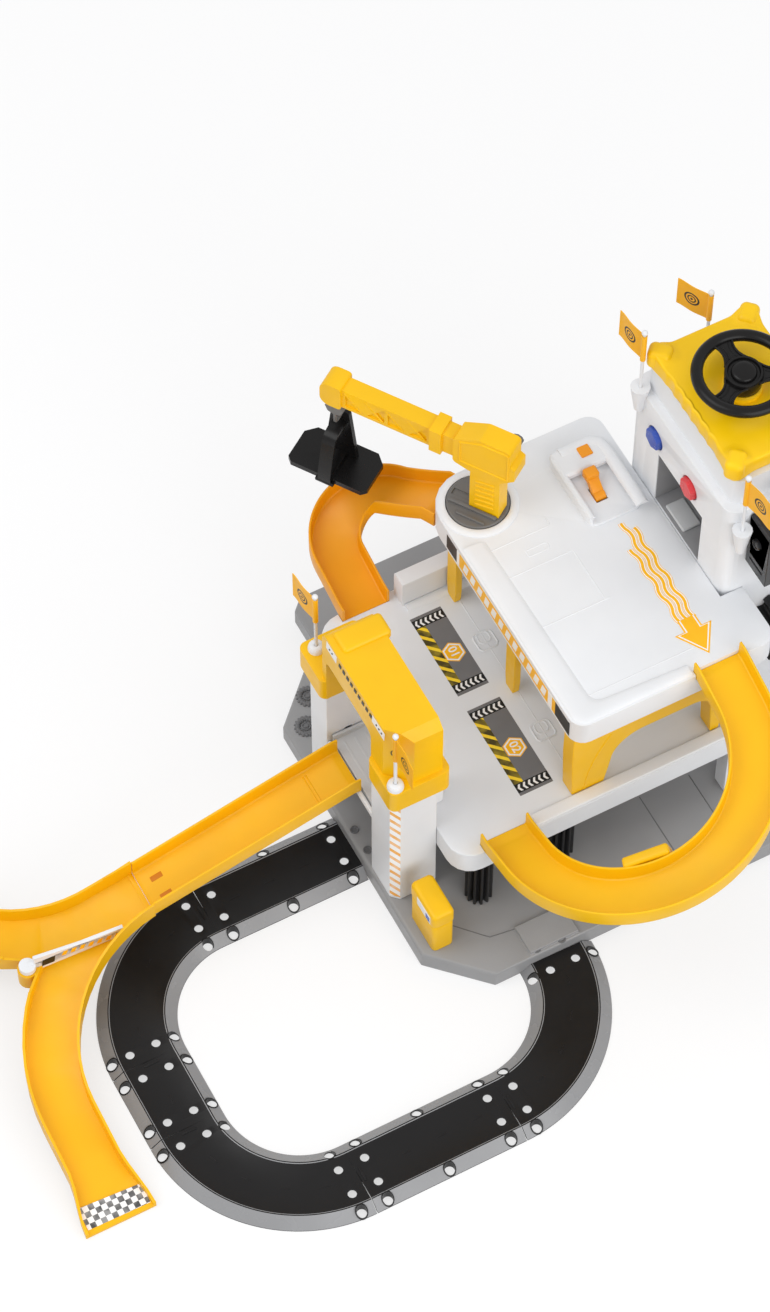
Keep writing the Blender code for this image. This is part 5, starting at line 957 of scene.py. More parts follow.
def carve(item: bpy.types.Object, tools: Surface) -> None:
    """Cut closed shapes out of a piece and leave a plain mesh.

    Args:
        item: The piece.
        tools: The shapes to take away, which don't touch one another.
    """
    cutter = stood("cutter", finished_mesh("cutter", tools, 30.0))
    step = item.modifiers.new("cut", "BOOLEAN")
    step.operation = "DIFFERENCE"
    step.solver = "EXACT"
    step.object = cutter
    graph = bpy.context.evaluated_depsgraph_get()
    graph.update()
    data = bpy.data.meshes.new_from_object(item.evaluated_get(graph))
    item.modifiers.clear()
    item.data = data
    shade(data, MOULDED_CREASE)
    bpy.data.objects.remove(cutter, do_unlink=True)


def give_plan(
    item: bpy.types.Object,
    origin: Sequence[float],
    across: Sequence[float],
    along: Sequence[float],
) -> None:
    """Give a piece a UV map in metres.

    The first number is the distance from the origin in the direction across, and the second
    the distance along.

    Args:
        item: The piece.
        origin: The map's origin.
        across: The first unit direction.
        along: The second unit direction.
    """
    data = item.data
    layer = data.uv_layers.new(name=PLAN_MAP)
    corners = np.zeros(len(data.loops), np.int32)
    data.loops.foreach_get("vertex_index", corners)
    places = np.zeros(len(data.vertices) * 3, np.float32)
    data.vertices.foreach_get("co", places)
    offset = places.reshape(-1, 3)[corners] - np.array(origin, np.float32)
    plan = np.column_stack([offset @ np.array(across), offset @ np.array(along)])
    layer.data.foreach_set("uv", plan.astype(np.float32).ravel())


def axes(origin: Sequence[float], across: Sequence[float], along: Sequence[float]) -> Matrix:
    """Return the placement that lays local X and Y along two directions at an origin.

    Args:
        origin: Where local zero goes.
        across: Where local X goes.
        along: Where local Y goes.

    Returns:
        The 4x4 placement.
    """
    first = Vector(across).normalized()
    third = first.cross(Vector(along)).normalized()
    second = third.cross(first)
    return Matrix.Translation(Vector(origin)) @ Matrix((first, second, third)).transposed().to_4x4()


def digits(text: str, height: float, thickness: float) -> Surface:
    """Return plain numerals as a flat solid round their middle.

    Args:
        text: The numerals.
        height: Their height.
        thickness: Their thickness, upwards from zero.

    Returns:
        The surface.
    """
    curve = bpy.data.curves.new("numerals", "FONT")
    curve.body = text
    curve.size = height * FONT_SIZE
    curve.align_x = "CENTER"
    curve.align_y = "CENTER"
    curve.extrude = thickness / 2
    curve.offset = height * FONT_WEIGHT
    item = stood("numerals", curve)
    graph = bpy.context.evaluated_depsgraph_get()
    data = bpy.data.meshes.new_from_object(item.evaluated_get(graph))
    points = np.zeros(len(data.vertices) * 3, np.float32)
    data.vertices.foreach_get("co", points)
    faces = [tuple(face.vertices) for face in data.polygons]
    bpy.data.objects.remove(item, do_unlink=True)
    bpy.data.meshes.remove(data)
    points = points.reshape(-1, 3).astype(float) + np.array([0.0, 0.0, thickness / 2])
    return Surface(points, faces)


# Road


@dataclass
class RoadRing:
    """The ring of clipped road pieces."""

    middle: tuple[float, float] = (-420 * MM, -110 * MM)
    radius: float = 95 * MM
    short_length: float = 63.6 * MM
    long_length: float = 126.5 * MM
    foot: float = 31 * MM
    top: float = 22 * MM
    height: float = 8 * MM
    wall: float = 2 * MM
    hole_radius: float = 3.5 * MM
    kerb_hole: float = 4.0 * MM
    boss_wall: float = 0.95 * MM
    hole_from_joint: float = 11 * MM
    hole_inner: float = 11 * MM
    hole_outer: float = 26 * MM
    gap: float = 0.3 * MM

    def section(self) -> np.ndarray:
        """Work out the road's section: a flat top, sloping sides and an open underside.

        Returns:
            The section's corners in order.
        """
        wall, foot, top, height = self.wall, self.foot, self.top, self.height
        right = [
            (foot - wall * 1.3, 0),
            (foot, 0),
            (foot - 0.1 * MM, 0.7 * MM),
            (top + 0.7 * MM, height - 0.5 * MM),
            (top, height),
            (top - 0.9 * MM, height),
            (top - 1.5 * MM, height - 0.35 * MM),
        ]
        left = [(-x, z) for x, z in reversed(right)]
        inner = [(-top + wall * 0.4, height - wall), (top - wall * 0.4, height - wall)]
        return np.array(right + left + inner)

    def pieces(self) -> list[tuple[str, tuple[float, float], float, tuple, bool, bool]]:
        """List the ring's pieces in driving order.

        Returns:
            Each piece's name, start, heading, leg, whether its sides have holes halfway along,
            and whether it clips into the next piece.
        """
        x, y = self.middle
        front, rear = y - self.short_length / 2, y + self.short_length / 2
        right, left = x + self.radius + self.long_length, x + self.radius
        arc = ("arc", self.radius, -90)
        straight = ("straight", self.long_length)
        return [
            ("road_curve_front_right", (right + self.radius, front), -90, arc, False, True),
            ("road_straight_front", (right, front - self.radius), 180, straight, True, True),
            ("road_curve_front_left", (left, front - self.radius), 180, arc, False, True),
            ("road_straight_left", (x, front), 90, ("straight", self.short_length), False, True),
            ("road_curve_rear_left", (x, rear), 90, arc, False, True),
            ("road_straight_rear", (left, rear + self.radius), 0, straight, True, False),
        ]

    def build(self) -> None:
        """Build the six pieces with their holes, the painted sheen on their kerbs, bosses, centre
        marks and clips.
        """
        for name, start, heading, leg, edge_holes, clipped in self.pieces():
            whole = walked(start, heading, [leg], 3 * MM)
            far = whole[:, 3]
            steps = np.linspace(self.gap / 2, far[-1] - self.gap / 2, len(far))
            path = raised(read_off(steps, far, whole[:, :2]), 0.0)
            shell = carried(path, self.section())
            item = add_piece(name + "_shell", shell, ROAD, replaces=(name,))
            holes = self.hole_places(whole, edge_holes)
            carve(item, joined(self.bore(place, tilt) for place, _, tilt in holes))
            # The kerbs' sloping sides get the grey of painted reflection.
            item.data.materials.append(KERB_PAINTED_SHEEN_GREY.material())
            self.paint_kerb_sheen(item)
            bosses = [self.boss(place, away, tilt) for place, away, tilt in holes if tilt]
            add_piece(name + "_hole_bosses", joined(bosses), ROAD)
            add_piece(name + "_marks", self.marks(whole), ROAD)
            if clipped:
                add_piece(name + "_clip", self.clip(whole[-1]), ROAD, edge=0.3 * MM)

    def paint_kerb_sheen(self, item: bpy.types.Object) -> None:
        """Paint a reflection in grey on the sloping sides: every face that leans and looks up.

        Args:
            item: The road piece, whose second material is the grey of the painted sheen.
        """
        steep, level = 0.3, 0.92
        normals = np.zeros(len(item.data.polygons) * 3, np.float32)
        item.data.polygons.foreach_get("normal", normals)
        rise = normals.reshape(-1, 3)[:, 2]
        slots = ((rise > steep) & (rise < level)).astype(np.int32)
        item.data.polygons.foreach_set("material_index", slots)

    def hole_places(
        self,
        whole: np.ndarray,
        edge_holes: bool,
    ) -> list[tuple[np.ndarray, np.ndarray, float]]:
        """Work out each hole's middle on the surface, its direction outwards and its tilt.

        Args:
            whole: The piece's walked path.
            edge_holes: Whether its sides have holes halfway along.

        Returns:
            The places.
        """
        slope = math.atan2(self.height, self.foot - self.top)
        found = []
        spots = [(0, 1), (-1, -1)]
        if edge_holes:
            spots.append((len(whole) // 2, 0))
        for index, inward in spots:
            x, y, way, _ = whole[index]
            ahead, across = compass(way)
            middle = np.array([x, y, 0.0]) + ahead * inward * self.hole_from_joint
            offsets = (-self.hole_outer, self.hole_outer)
            if inward:
                offsets += (-self.hole_inner, self.hole_inner)
            for offset in offsets:
                side = math.copysign(1, offset)
                outer = abs(offset) > self.top
                level = (self.foot - abs(offset)) * math.tan(slope) if outer else self.height
                place = middle + across * offset + np.array([0.0, 0.0, level])
                found.append((place, across * side, slope if outer else 0.0))
        return found

    def bore(self, place: np.ndarray, tilt: float) -> Surface:
        """Make the cutter of one hole: a turned rod through the road.

        Args:
            place: The hole's middle.
            tilt: How steeply the surface falls there; the kerb's holes are wider.

        Returns:
            The cutter.
        """
        reach = self.height * 2
        radius = self.kerb_hole if tilt else self.hole_radius
        return turned([(0, -reach), (radius, -reach), (radius, reach), (0, reach)], place, 24)

    def boss(self, place: np.ndarray, away: np.ndarray, tilt: float) -> Surface:
        """Return the upright boss in one kerb hole.

        It is a turned tube whose top is drawn down to the kerb: each height is the lesser of
        its own and the height of the leaning plane at that distance outwards.

        Args:
            place: The hole's middle.
            away: The direction outwards from the road's middle line.
            tilt: How steeply the kerb falls that way, in radians.

        Returns:
            The boss.
        """
        inner, outer = self.kerb_hole, self.kerb_hole + self.boss_wall
        foot, high = 0.3 * MM, self.height * 4
        profile = [(inner, foot), (outer, foot), (outer, high), (inner, high), (inner, foot)]
        pipe = turned(profile, (place[0], place[1], 0), 40)
        out = (pipe.points - place) @ away
        rim = place[2] + 0.9 * MM - out * math.tan(tilt)
        plane = np.clip(rim, 0.8 * MM, self.height + 0.25 * MM)
        pipe.points[:, 2] = np.minimum(pipe.points[:, 2], plane)
        return pipe

    def marks(self, whole: np.ndarray) -> Surface:
        """Make low raised dashes along the road's middle, one every 30 mm.

        Args:
            whole: The piece's walked path.

        Returns:
            The dashes.
        """
        dash = block((-4, -0.5, 0), (4, 0.5, 0.5), 0.2, 2)
        level = self.height - 0.6 * MM
        far = np.arange(26 * MM, whole[-1, 3] - 22 * MM, 30 * MM)
        rows = read_off(far, whole[:, 3], whole[:, :3])
        return joined(dash.placed(axes((x, y, level), *compass(way))) for x, y, way in rows)

    def clip(self, end: np.ndarray) -> Surface:
        """Make the clip plate under the next piece's top, and its raised lip.

        Args:
            end: The last row of the piece's walked path.

        Returns:
            The clip.
        """
        x, y, way, _ = end
        under = self.height - self.wall - self.gap
        tongue, lip = block((-9, -5, -2), (9, 5, 0), 0.4), block((-4, -6, -1), (-2.4, 6, 0.3), 0.3)
        low, high = (axes((x, y, level), *compass(way)) for level in (under, self.height))
        return tongue.placed(low) + lip.placed(high)


# Base


@dataclass
class BaseTray:
    """The grey tray under the garage, with the pump and the two washing rollers."""

    tyre_radius: float = 9.6 * MM
    tyre_lugs: int = 18
    tyre_places: tuple[tuple[float, float], ...] = ((-168 * MM, 146 * MM), (-182 * MM, 122 * MM))
    screw_places: tuple[tuple[float, float], ...] = (
        (-118.2 * MM, -136.8 * MM),
        (-97.2 * MM, -138.2 * MM),
        (-192.2 * MM, 21.2 * MM),
        (-191.7 * MM, 0.6 * MM),
    )

    def build(self) -> None:
        """Build the tray's finer shell and everything that stands or is moulded on it."""
        moulded("base_tray", BASE_GREY, 0.8 * MM)
        tyres = joined(self.tyre(*place) for place in self.tyre_places)
        sockets = joined(self.socket(*place) for place in self.screw_places)
        # The tyre reliefs, floor lines and screw sockets wear the darker grey, which is painted
        # shade.
        add_piece("base_tyre_reliefs", tyres, BASE_PAINTED_SHADE_GREY)
        add_piece("base_floor_seams", self.seams(), BASE_PAINTED_SHADE_GREY)
        add_piece("base_screw_sockets", sockets, BASE_PAINTED_SHADE_GREY)
        self.build_pump()
        for node in ("wash_roller_front_left", "wash_roller_front_middle"):
            moulded(node, TYRE, 0.4 * MM)

    def tyre(self, x: float, y: float) -> Surface:
        """Make a tyre in relief: a low ring with radial lugs round a hub with five bolts.

        The ring's section is a half circle, flattened to its height, and its reach grows and
        shrinks by the lugs' share as the sine of their number times the angle changes sign.

        Args:
            x: Where its middle lies across the base.
            y: Where its middle lies from front to rear.

        Returns:
            The ring, the hub and the bolts.
        """
        radius, flank, bump = self.tyre_radius, 0.26, 0.05
        angle = np.linspace(0, 2 * np.pi, 144, endpoint=False)
        bulge = np.linspace(0, np.pi, 9)
        lug = 1 + bump * np.sign(np.sin(angle * self.tyre_lugs))
        section = radius * (1 - flank) + radius * flank * -np.cos(bulge)
        reach = section[None, :] * lug[:, None]
        level = np.broadcast_to(BASE_TOP - 0.4 * MM + 2.4 * MM * np.sin(bulge), reach.shape)
        east, north = np.cos(angle)[:, None], np.sin(angle)[:, None]
        points = np.stack([x + reach * east, y + reach * north, level], -1)
        ring = skin(points, wrap_rows=True, wrap_columns=True)
        profile = [(0, -0.4), (4.0, -0.4), (4.0, 1.0), (3.4, 1.5), (2.2, 1.0), (1.6, 1.9), (0, 1.9)]
        hub = lathe(profile, (x, y, BASE_TOP), 40)
        foot = (x, y, BASE_TOP + 0.9 * MM)
        bolt = lathe([(0, -0.3), (0.6, -0.3), (0.5, 0.9), (0, 0.9)], foot, 10)
        bolts = [
            bolt.placed(Matrix.Translation(compass(turn)[0] * 3.2 * MM))
            for turn in np.radians(np.arange(0, 360, 72))
        ]
        return joined([ring, hub, *bolts])

    def seams(self) -> Surface:
        """Make the fine lines moulded in the floor: a long box and the curve of a lane.

        Returns:
            The lines.
        """
        lanes = (
            [(-167, -87), (-145, -111), (-124, -114), (-104, -116), (60, -118)],
            [(18, -111), (18, -57)],
            [(62, -99), (62, -58)],
        )
        section = np.array([(-0.5, 0), (0.5, 0), (0.35, 0.4), (-0.35, 0.4)]) * MM
        level = BASE_TOP - 0.2 * MM
        paths = (traced(np.array(lane, float) * MM, 4, 4 * MM) for lane in lanes)
        return joined(carried(raised(path, level), section) for path in paths)

    def socket(self, x: float, y: float) -> Surface:
        """Return a screw's dished socket: a turned ring with a cupped floor."""
        profile = [(0, 0.1), (2.0, 0.1), (2.6, 0.9), (3.4, 0.9), (3.7, -0.3), (0, -0.3)]
        return lathe(profile, (x, y, BASE_TOP), 28)

    def waisted(
        self,
        low: Vector,
        high: Vector,
        corner: float,
        levels: np.ndarray,
        insets: np.ndarray,
    ) -> Surface:
        """Return an upright body whose rounded outline is drawn in by an inset at each level.

        Args:
            low: The body's lowest corner.
            high: The body's highest corner.
            corner: The outline's corner radius.
            levels: The levels as shares of the height.
            insets: How far the outline is drawn in at each level.

        Returns:
            The closed surface.
        """
        half = np.array([high.x - low.x, high.y - low.y]) / 2
        middle = np.array([high.x + low.x, high.y + low.y]) / 2
        outline = rounded_outline(half, corner, 6)
        shrink = (half - insets[:, None]) / half
        flat = outline[None] * shrink[:, None, :] + middle
        level = low.z + levels * (high.z - low.z)
        rise = np.broadcast_to(level[:, None, None], (*flat.shape[:2], 1))
        return skin(np.concatenate([flat, rise], axis=2), wrap_columns=True, caps=True)

    def build_pump(self) -> None:
        """Build the fuel pump with its waist, its lid and its printed label."""
        low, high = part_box("fuel_pump")
        levels = np.array([0, 0.02, 0.62, 0.645, 0.66, 0.70, 0.72, 0.93, 0.965, 0.985, 1.0])
        insets = np.array([0.8, 0.5, 0.5, 0.9, 1.4, 1.4, 0, 0, 0.5, 1.3, 3.0]) * MM
        body = self.waisted(low, high, 3.8 * MM, levels, insets)
        add_piece("pump_body", body, YELLOW, replaces=("fuel_pump",))
        panel = rounded_block(
            (low.x - 0.2 * MM, low.y + 5 * MM, low.z + 37.5 * MM),
            (low.x + 0.6 * MM, high.y - 12 * MM, low.z + 48.0 * MM),
            0.25 * MM,
        )
        add_piece("pump_panel", panel, PRINT_WHITE)
        gauge = rounded_block(
            (low.x - 0.4 * MM, low.y + 6 * MM, low.z + 39 * MM),
            (low.x + 0.4 * MM, low.y + 12 * MM, low.z + 45.5 * MM),
            0.2 * MM,
        )
        add_piece("pump_gauge", gauge, BLUE)


# Lift


@dataclass
class Lift:
    """The lift's pillars, platform and yellow hood with its prints."""

    pillar_top: float = 163.7 * MM
    hood_top: float = 252 * MM
    chamfer: float = 6 * MM
    facet: float = 17 * MM
    cup_foot: float = 188.05 * MM
    ring_level: float = 222 * MM
    print_stretch: float = 0.66
    cup_profile: tuple[tuple[float, float], ...] = (
        (1.7, 0), (6.4, 0), (6.5, 1.2), (5.9, 4.4), (4.8, 5.6), (2.6, 6.2), (1.7, 6.0), (1.7, 0),
    )

    def build(self) -> None:
        """Build the pillars, the car and the hood."""
        moulded("lift_pillar_front", WHITE, 0.8 * MM)
        moulded("lift_pillar_rear", WHITE, 0.8 * MM)
        moulded("lift_car", LIGHT_GREY, 0.5 * MM)
        self.build_post_strip()
        self.build_car_treads()
        moulded("lift_hood", YELLOW, 1.0 * MM)
        self.build_hood_details()

    def build_post_strip(self) -> None:
        """Build the slanted white and orange strip on the front pillar's cut corner."""
        half, low, high = 4.2 * MM, BASE_TOP + 4 * MM, self.pillar_top - 2 * MM
        outline = [(-half, low), (half, low), (half, high), (-half, high)]
        middle = (LIFT_LEFT + self.chamfer / 2, LIFT_FRONT + self.chamfer / 2, 0)
        strip = prism(outline, -0.1 * MM, 0.2 * MM).placed(axes(middle, (1, -1, 0), (0, 0, 1)))
        item = add_piece("post_strip", strip, PRINT_SLANT)
        # The print is stretched along the strip's width, so its slants stand more upright.
        across = Vector((1, -1, 0)).normalized() * self.print_stretch
        give_plan(item, middle, across, (0, 0, 1))

    def build_car_treads(self) -> None:
        """Build the raised treads on the lift's platform."""
        low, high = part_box("lift_car")
        treads = [
            rounded_block(
                (x, low.y + 10 * MM, DECK_ONE_TOP - 0.3 * MM),
                (x + 2 * MM, high.y - 10 * MM, DECK_ONE_TOP + 0.25 * MM),
                0.2 * MM,
            )
            for x in np.arange(low.x + 6 * MM, high.x - 6 * MM, 9 * MM)
        ]
        add_piece("lift_car_treads", joined(treads), LIGHT_GREY, "lift_car")

    def build_hood_details(self) -> None:
        """Build the hood's raised cap, its printed strips and dashes, cups and ring print."""
        _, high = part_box("lift_hood")
        cap = rounded_block(
            (LIFT_LEFT + 5 * MM, 37 * MM, self.hood_top - 8 * MM),
            (high.x - 1.5 * MM, 57.5 * MM, self.hood_top + 3.0 * MM),
            3.6 * MM,
            7,
        )
        add_piece("hood_cap", cap, YELLOW)
        self.build_hood_prints()
        for name in ("hood_front", "hood_rear"):
            low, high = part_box("flag_pole_" + name)
            foot = ((low.x + high.x) / 2, (low.y + high.y) / 2, self.cup_foot)
            add_piece(name + "_cup", lathe(self.cup_profile, foot, 40), WHITE)
        middle = (LIFT_LEFT + self.facet / 2, LIFT_FRONT + self.facet / 2, self.ring_level)
        rings = joined(
            lathe([(r, -0.1), (r + 0.9, -0.1), (r + 0.9, 0.2), (r, 0.2), (r, -0.1)], steps=40)
            for r in (5.2, 2.4)
        )
        place = axes(middle, (1, -1, 0), (0, 0, 1))
        add_piece("hood_ring_print", rings.placed(place), PRINT_BLACK)

    def build_hood_prints(self) -> None:
        """Build the white strips and the plain black dashes along the hood's left side."""
        mirror = Matrix.Scale(-1, 4, (0, 0, 1))
        place = axes((LIFT_LEFT, 0, self.hood_top - 8 * MM), (0, 1, 0), (0, 0, 1)) @ mirror
        strips = [
            slab([(start, -5.0), (end, -5.0), (end - 1, 5.0), (start - 1, 5.0)], -0.1, 0.2)
            for start, end in ((56, 40), (-16, -35))
        ]
        add_piece("hood_strips", joined(strips).placed(place), PRINT_WHITE)
        marks = []
        for y in (51.5, 47.5, *range(36, -16, -6), -22, -26, -30):
            wide, tall = (1.6, 1.2) if y > 40 or y < -18 else (3.4, 2.5)
            outline = [(y, -tall), (y - wide, -tall), (y - wide - 1, tall), (y - 1, tall)]
            marks.append(slab(outline, 0.1, 0.4))
        add_piece("hood_dash_marks", joined(marks).placed(place), PRINT_BLACK)


# Decks


@dataclass
class ParkingBay:
    """One printed parking bay: a grey field, hazard band, chevron rows and a numbered badge."""

    name: str
    low: tuple[float, float]
    high: tuple[float, float]
    text: str

    def build(self) -> None:
        """Lay the bay's prints on the lower deck, a layer at a time."""
        x0, y0 = self.low
        x1, y1 = self.high
        level = DECK_ONE_TOP
        ground = [(x0, y0), (x1, y0), (x1, y1), (x0, y1)]
        sheet = prism(ground, level - 0.1 * MM, level + 0.12 * MM)
        add_piece(self.name + "_field", sheet, PRINT_GREY)
        row, edge, wide = 8.0 * MM, 2.6 * MM, 8.2 * MM
        rows = [(y0 + edge, y0 + edge + row), (y1 - edge - row, y1 - edge)]
        top = level + 0.18 * MM
        bands = [prism([(x0, a), (x1, a), (x1, b), (x0, b)], level, top) for a, b in rows]
        add_piece(self.name + "_end_rows", joined(bands), PRINT_BLACK)
        add_piece(self.name + "_chevrons", joined(self.chevrons(rows, level)), PRINT_WHITE)
        low, high = rows[0][1], rows[1][0]
        outline = [(x0, low), (x0 + wide, low), (x0 + wide, high), (x0, high)]
        band = prism(outline, level, top)
        hazard = add_piece(self.name + "_hazard_band", band, PRINT_HAZARD)
        give_plan(hazard, (x0, y0, level), (1, 0, 0), (0, 1, 0))
        self.badge(level)

    def chevrons(self, rows: Sequence[tuple[float, float]], level: float) -> list[Surface]:
        """Make the rows of bent arrows that point to -X.

        Args:
            rows: Each row's lowest and highest y.
            level: The deck's top.

        Returns:
            The arrows.
        """
        x0, x1 = self.low[0], self.high[0]
        count, margin = 6, 1 * MM
        pitch = (x1 - x0 - 2 * margin) / count
        thick, bend = pitch * 0.42, pitch * 0.36
        found = []
        for low, high in rows:
            middle, half = (low + high) / 2, (high - low) / 2 - margin
            for index in range(count):
                tip = x0 + 1.4 * MM + index * pitch
                outline = [
                    (tip, middle),
                    (tip + bend, middle - half),
                    (tip + bend + thick, middle - half),
                    (tip + thick, middle),
                    (tip + bend + thick, middle + half),
                    (tip + bend, middle + half),
                ]
                found.append(prism(outline, level + 0.1 * MM, level + 0.24 * MM))
        return found

    def badge(self, level: float) -> None:
        """Build the six-sided badge with its white outline and numerals.

        Args:
            level: The deck's top.
        """
        low, high = np.array(self.low), np.array(self.high)
        middle = low + (high - low) * np.array([0.60, 0.47])
        angle = np.radians(np.arange(0, 360, 60) + 30)
        circle = np.column_stack([np.cos(angle), np.sin(angle)])
        layers = (
            ("plate", 9.6, 0.20, PRINT_ORANGE),
            ("line", 8.6, 0.24, PRINT_WHITE),
            ("heart", 7.2, 0.28, PRINT_ORANGE),
        )
        for part, reach, rise, finish in layers:
            plate = prism(middle + circle * reach * MM, level, level + rise * MM)
            add_piece(f"{self.name}_badge_{part}", plate, finish)
        place = axes((*middle, level + 0.2 * MM), (0, -1, 0), (1, 0, 0))
        text = digits(self.text, 7 * MM, 0.14 * MM).placed(place)
        add_piece(self.name + "_numerals", text, PRINT_WHITE, crease=60)


@dataclass
class Decks:
    """The two white decks, the legs between them and their prints and reliefs."""

    arrow_x: float = 61 * MM
    skirt_left: float = -59.5 * MM
    skirt_level: float = DECK_TWO_TOP - 13.5 * MM
    console_top: float = DECK_TWO_TOP + 10.4 * MM

    def build(self) -> None:
        """Build both decks and everything on them."""
        # The lower deck and its lines wear the darker white, which is painted shade.
        moulded("deck_lower", LOWER_DECK_PAINTED_SHADE_WHITE, 0.6 * MM)
        moulded("deck_upper", WHITE, 0.6 * MM)
        for node in ("side_leg_middle", "side_leg_rear"):
            moulded(node, YELLOW, 0.8 * MM)
        self.build_portal()
        ParkingBay("bay_one", (-89 * MM, 45 * MM), (-62 * MM, 124 * MM), "01").build()
        ParkingBay("bay_two", (-89.5 * MM, -55 * MM), (-61 * MM, 30 * MM), "02").build()
        add_piece("lower_deck_lines", self.lower_lines(), LOWER_DECK_PAINTED_SHADE_WHITE)
        ledge = block((-92, -84.4, 102), (93, -73.6, 105.6), 1.4, 5)
        add_piece("lower_deck_ledge", ledge, WHITE)
        add_piece("upper_deck_border", self.upper_border(), WHITE)
        add_piece("console_walls", self.console_walls(), WHITE)
        add_piece("upper_deck_reliefs", self.upper_reliefs(), WHITE)
        self.build_arrow()
        self.build_skirt_strip()
        self.build_console()

    def line(
        self,
        points: Sequence[tuple[float, float]],
        level: float,
        wide: float,
        high: float,
    ) -> Surface:
        """Return a low rounded ridge along straight stretches.

        Args:
            points: The ridge's corners in millimetres.
            level: The level that it stands on.
            wide: Its width.
            high: Its height.

        Returns:
            The ridge's surface.
        """
        sunk = 0.3 * MM
        path = raised(traced(np.array(points, float) * MM, 6, 3 * MM), level - sunk)
        angle = np.linspace(0, np.pi, 7)
        section = np.column_stack([np.cos(angle) * wide / 2, np.sin(angle) * (high + sunk)])
        return carried(path, section)

    def lower_lines(self) -> Surface:
        """Make the lower deck's long seam, its rear ridge and its two moulded latches.

        Returns:
            The lines.
        """
        found = [
            self.line([(-46, -72), (-46, 130)], DECK_ONE_TOP, 1.2 * MM, 0.4 * MM),
            self.line([(-86, 134.5), (91, 134.5)], DECK_ONE_TOP, 9 * MM, 3.0 * MM),
        ]
        for y in (80, -12):
            for half, high, shift in ((8, 1.1, 0), (5, 0.8, 3)):
                cut = half - 2
                loop = [
                    (-cut, -half), (cut, -half), (half, -cut), (half, cut),
                    (cut, half), (-cut, half), (-half, cut), (-half, -cut), (-cut, -half),
                ]
                moved = [(-46 + x, y + z + shift) for x, z in loop]
                found.append(self.line(moved, DECK_ONE_TOP, 1.8 * MM, high * MM))
        return joined(found)

    def upper_border(self) -> Surface:
        """Make the broad raised border along the upper deck's left and front edges.

        Two lines, the border's outer and inner edge, are joined by a section that rises
        steeply outside, runs level and eases down to the deck's floor inside.

        Returns:
            The border.
        """
        outer = np.concatenate([
            np.column_stack([np.full(30, -58.2), np.linspace(99, -68, 30)]),
            quarter_arc((-47.4, -68.4), 10.8, 180, 270, 10)[1:-1],
            np.column_stack([np.linspace(-47.4, 40.4, 20), np.full(20, -79.2)]),
        ]) * MM
        inner = np.concatenate([
            np.column_stack([np.linspace(-38.5, -36.5, 30), np.linspace(97, -54, 30)]),
            quarter_arc((-26.5, -55.0), 10.0, 180, 270, 10)[1:-1],
            np.column_stack([np.linspace(-26.5, 40.4, 20), np.linspace(-65, -68.5, 20)]),
        ]) * MM
        shares = np.array([0.0, 0.03, 0.09, 0.18, 0.30, 0.74, 0.85, 0.94, 1.0, 0.5])
        rises = np.array([-0.7, 0.2, 1.0, 1.6, 1.9, 1.9, 1.4, 0.6, -0.3, -0.8]) * MM
        flat = outer[:, None] + (inner - outer)[:, None] * shares[None, :, None]
        rise = np.broadcast_to((DECK_TWO_TOP + rises)[None, :, None], (*flat.shape[:2], 1))
        return skin(np.concatenate([flat, rise], axis=2), wrap_columns=True, caps=True)

    def console_walls(self) -> Surface:
        """Make the console's rounded walls, a thick tall one on the right and a thin one.

        Returns:
            Both walls and the block behind them.
        """
        top = self.console_top
        bend = [(46, 135), (73, 135), (78.6, 130.5), (79.6, 124), (79.6, 66)]
        right = self.line(bend, top, 10.5 * MM, 2.8 * MM)
        left = self.line([(39.6, 132), (39.6, 72)], top, 5.0 * MM, 1.4 * MM)
        low, high = (38 * MM, 113.5 * MM, top - 6 * MM), (80 * MM, 139 * MM, top + 1.6 * MM)
        return right + left + rounded_block(low, high, 3.2 * MM, 6)

    def build_portal(self) -> None:
        """Build the front portal: a plate with one broad leg, one slim leg and an arch."""
        low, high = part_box("portal_frame")
        opening = [
            (-27.0, 103.3), (-23.5, 122.0),
            *quarter_arc((5.0, 130.0), 27.0, 165, 90, 10),
            *quarter_arc((48.0, 141.0), 16.0, 90, 0, 8),
            (66.0, 103.3),
        ]
        outer = [
            (74.0, 103.3), (76.5, 165.0), (80.0, 187.7),
            (-56.0, 187.7), (-56.5, 150.0), (-55.0, 103.3),
        ]
        plate = prism(np.array([*opening, *outer], float) * MM, -high.y, -low.y)
        turn = Matrix(((1, 0, 0, 0), (0, 0, -1, 0), (0, 1, 0, 0), (0, 0, 0, 1)))
        plate = plate.placed(turn)
        add_piece("portal_frame_moulded", plate, YELLOW, replaces=("portal_frame",), edge=1.0 * MM)
        share = np.linspace(0, 1, 24)
        ridge = np.column_stack([
            (-44.0 + 20 * share ** 2.0) * MM,
            np.full(24, low.y),
            (105 + 64 * share) * MM,
        ])
        add_piece("portal_ridge", tube(ridge, 0.7 * MM, 8), YELLOW)

    def upper_reliefs(self) -> Surface:
        """Make the thin bay lines and the small emblem plate of the upper deck.

        Returns:
            The lines.
        """
        lines = [
            [(-40, 88), (12, 88), (12, 96)],
            [(-42, 60), (14, 60)],
            [(-42, 84), (-42, -58), (52, -58)],
            [(-42, 10), (20, 10)],
            [(-16, 76), (2, 76), (2, 70), (-16, 70), (-16, 76.1)],
            [(16, 60), (16, 10)],
        ]
        return joined(self.line(line, DECK_TWO_TOP, 1.1 * MM, 0.35 * MM) for line in lines)

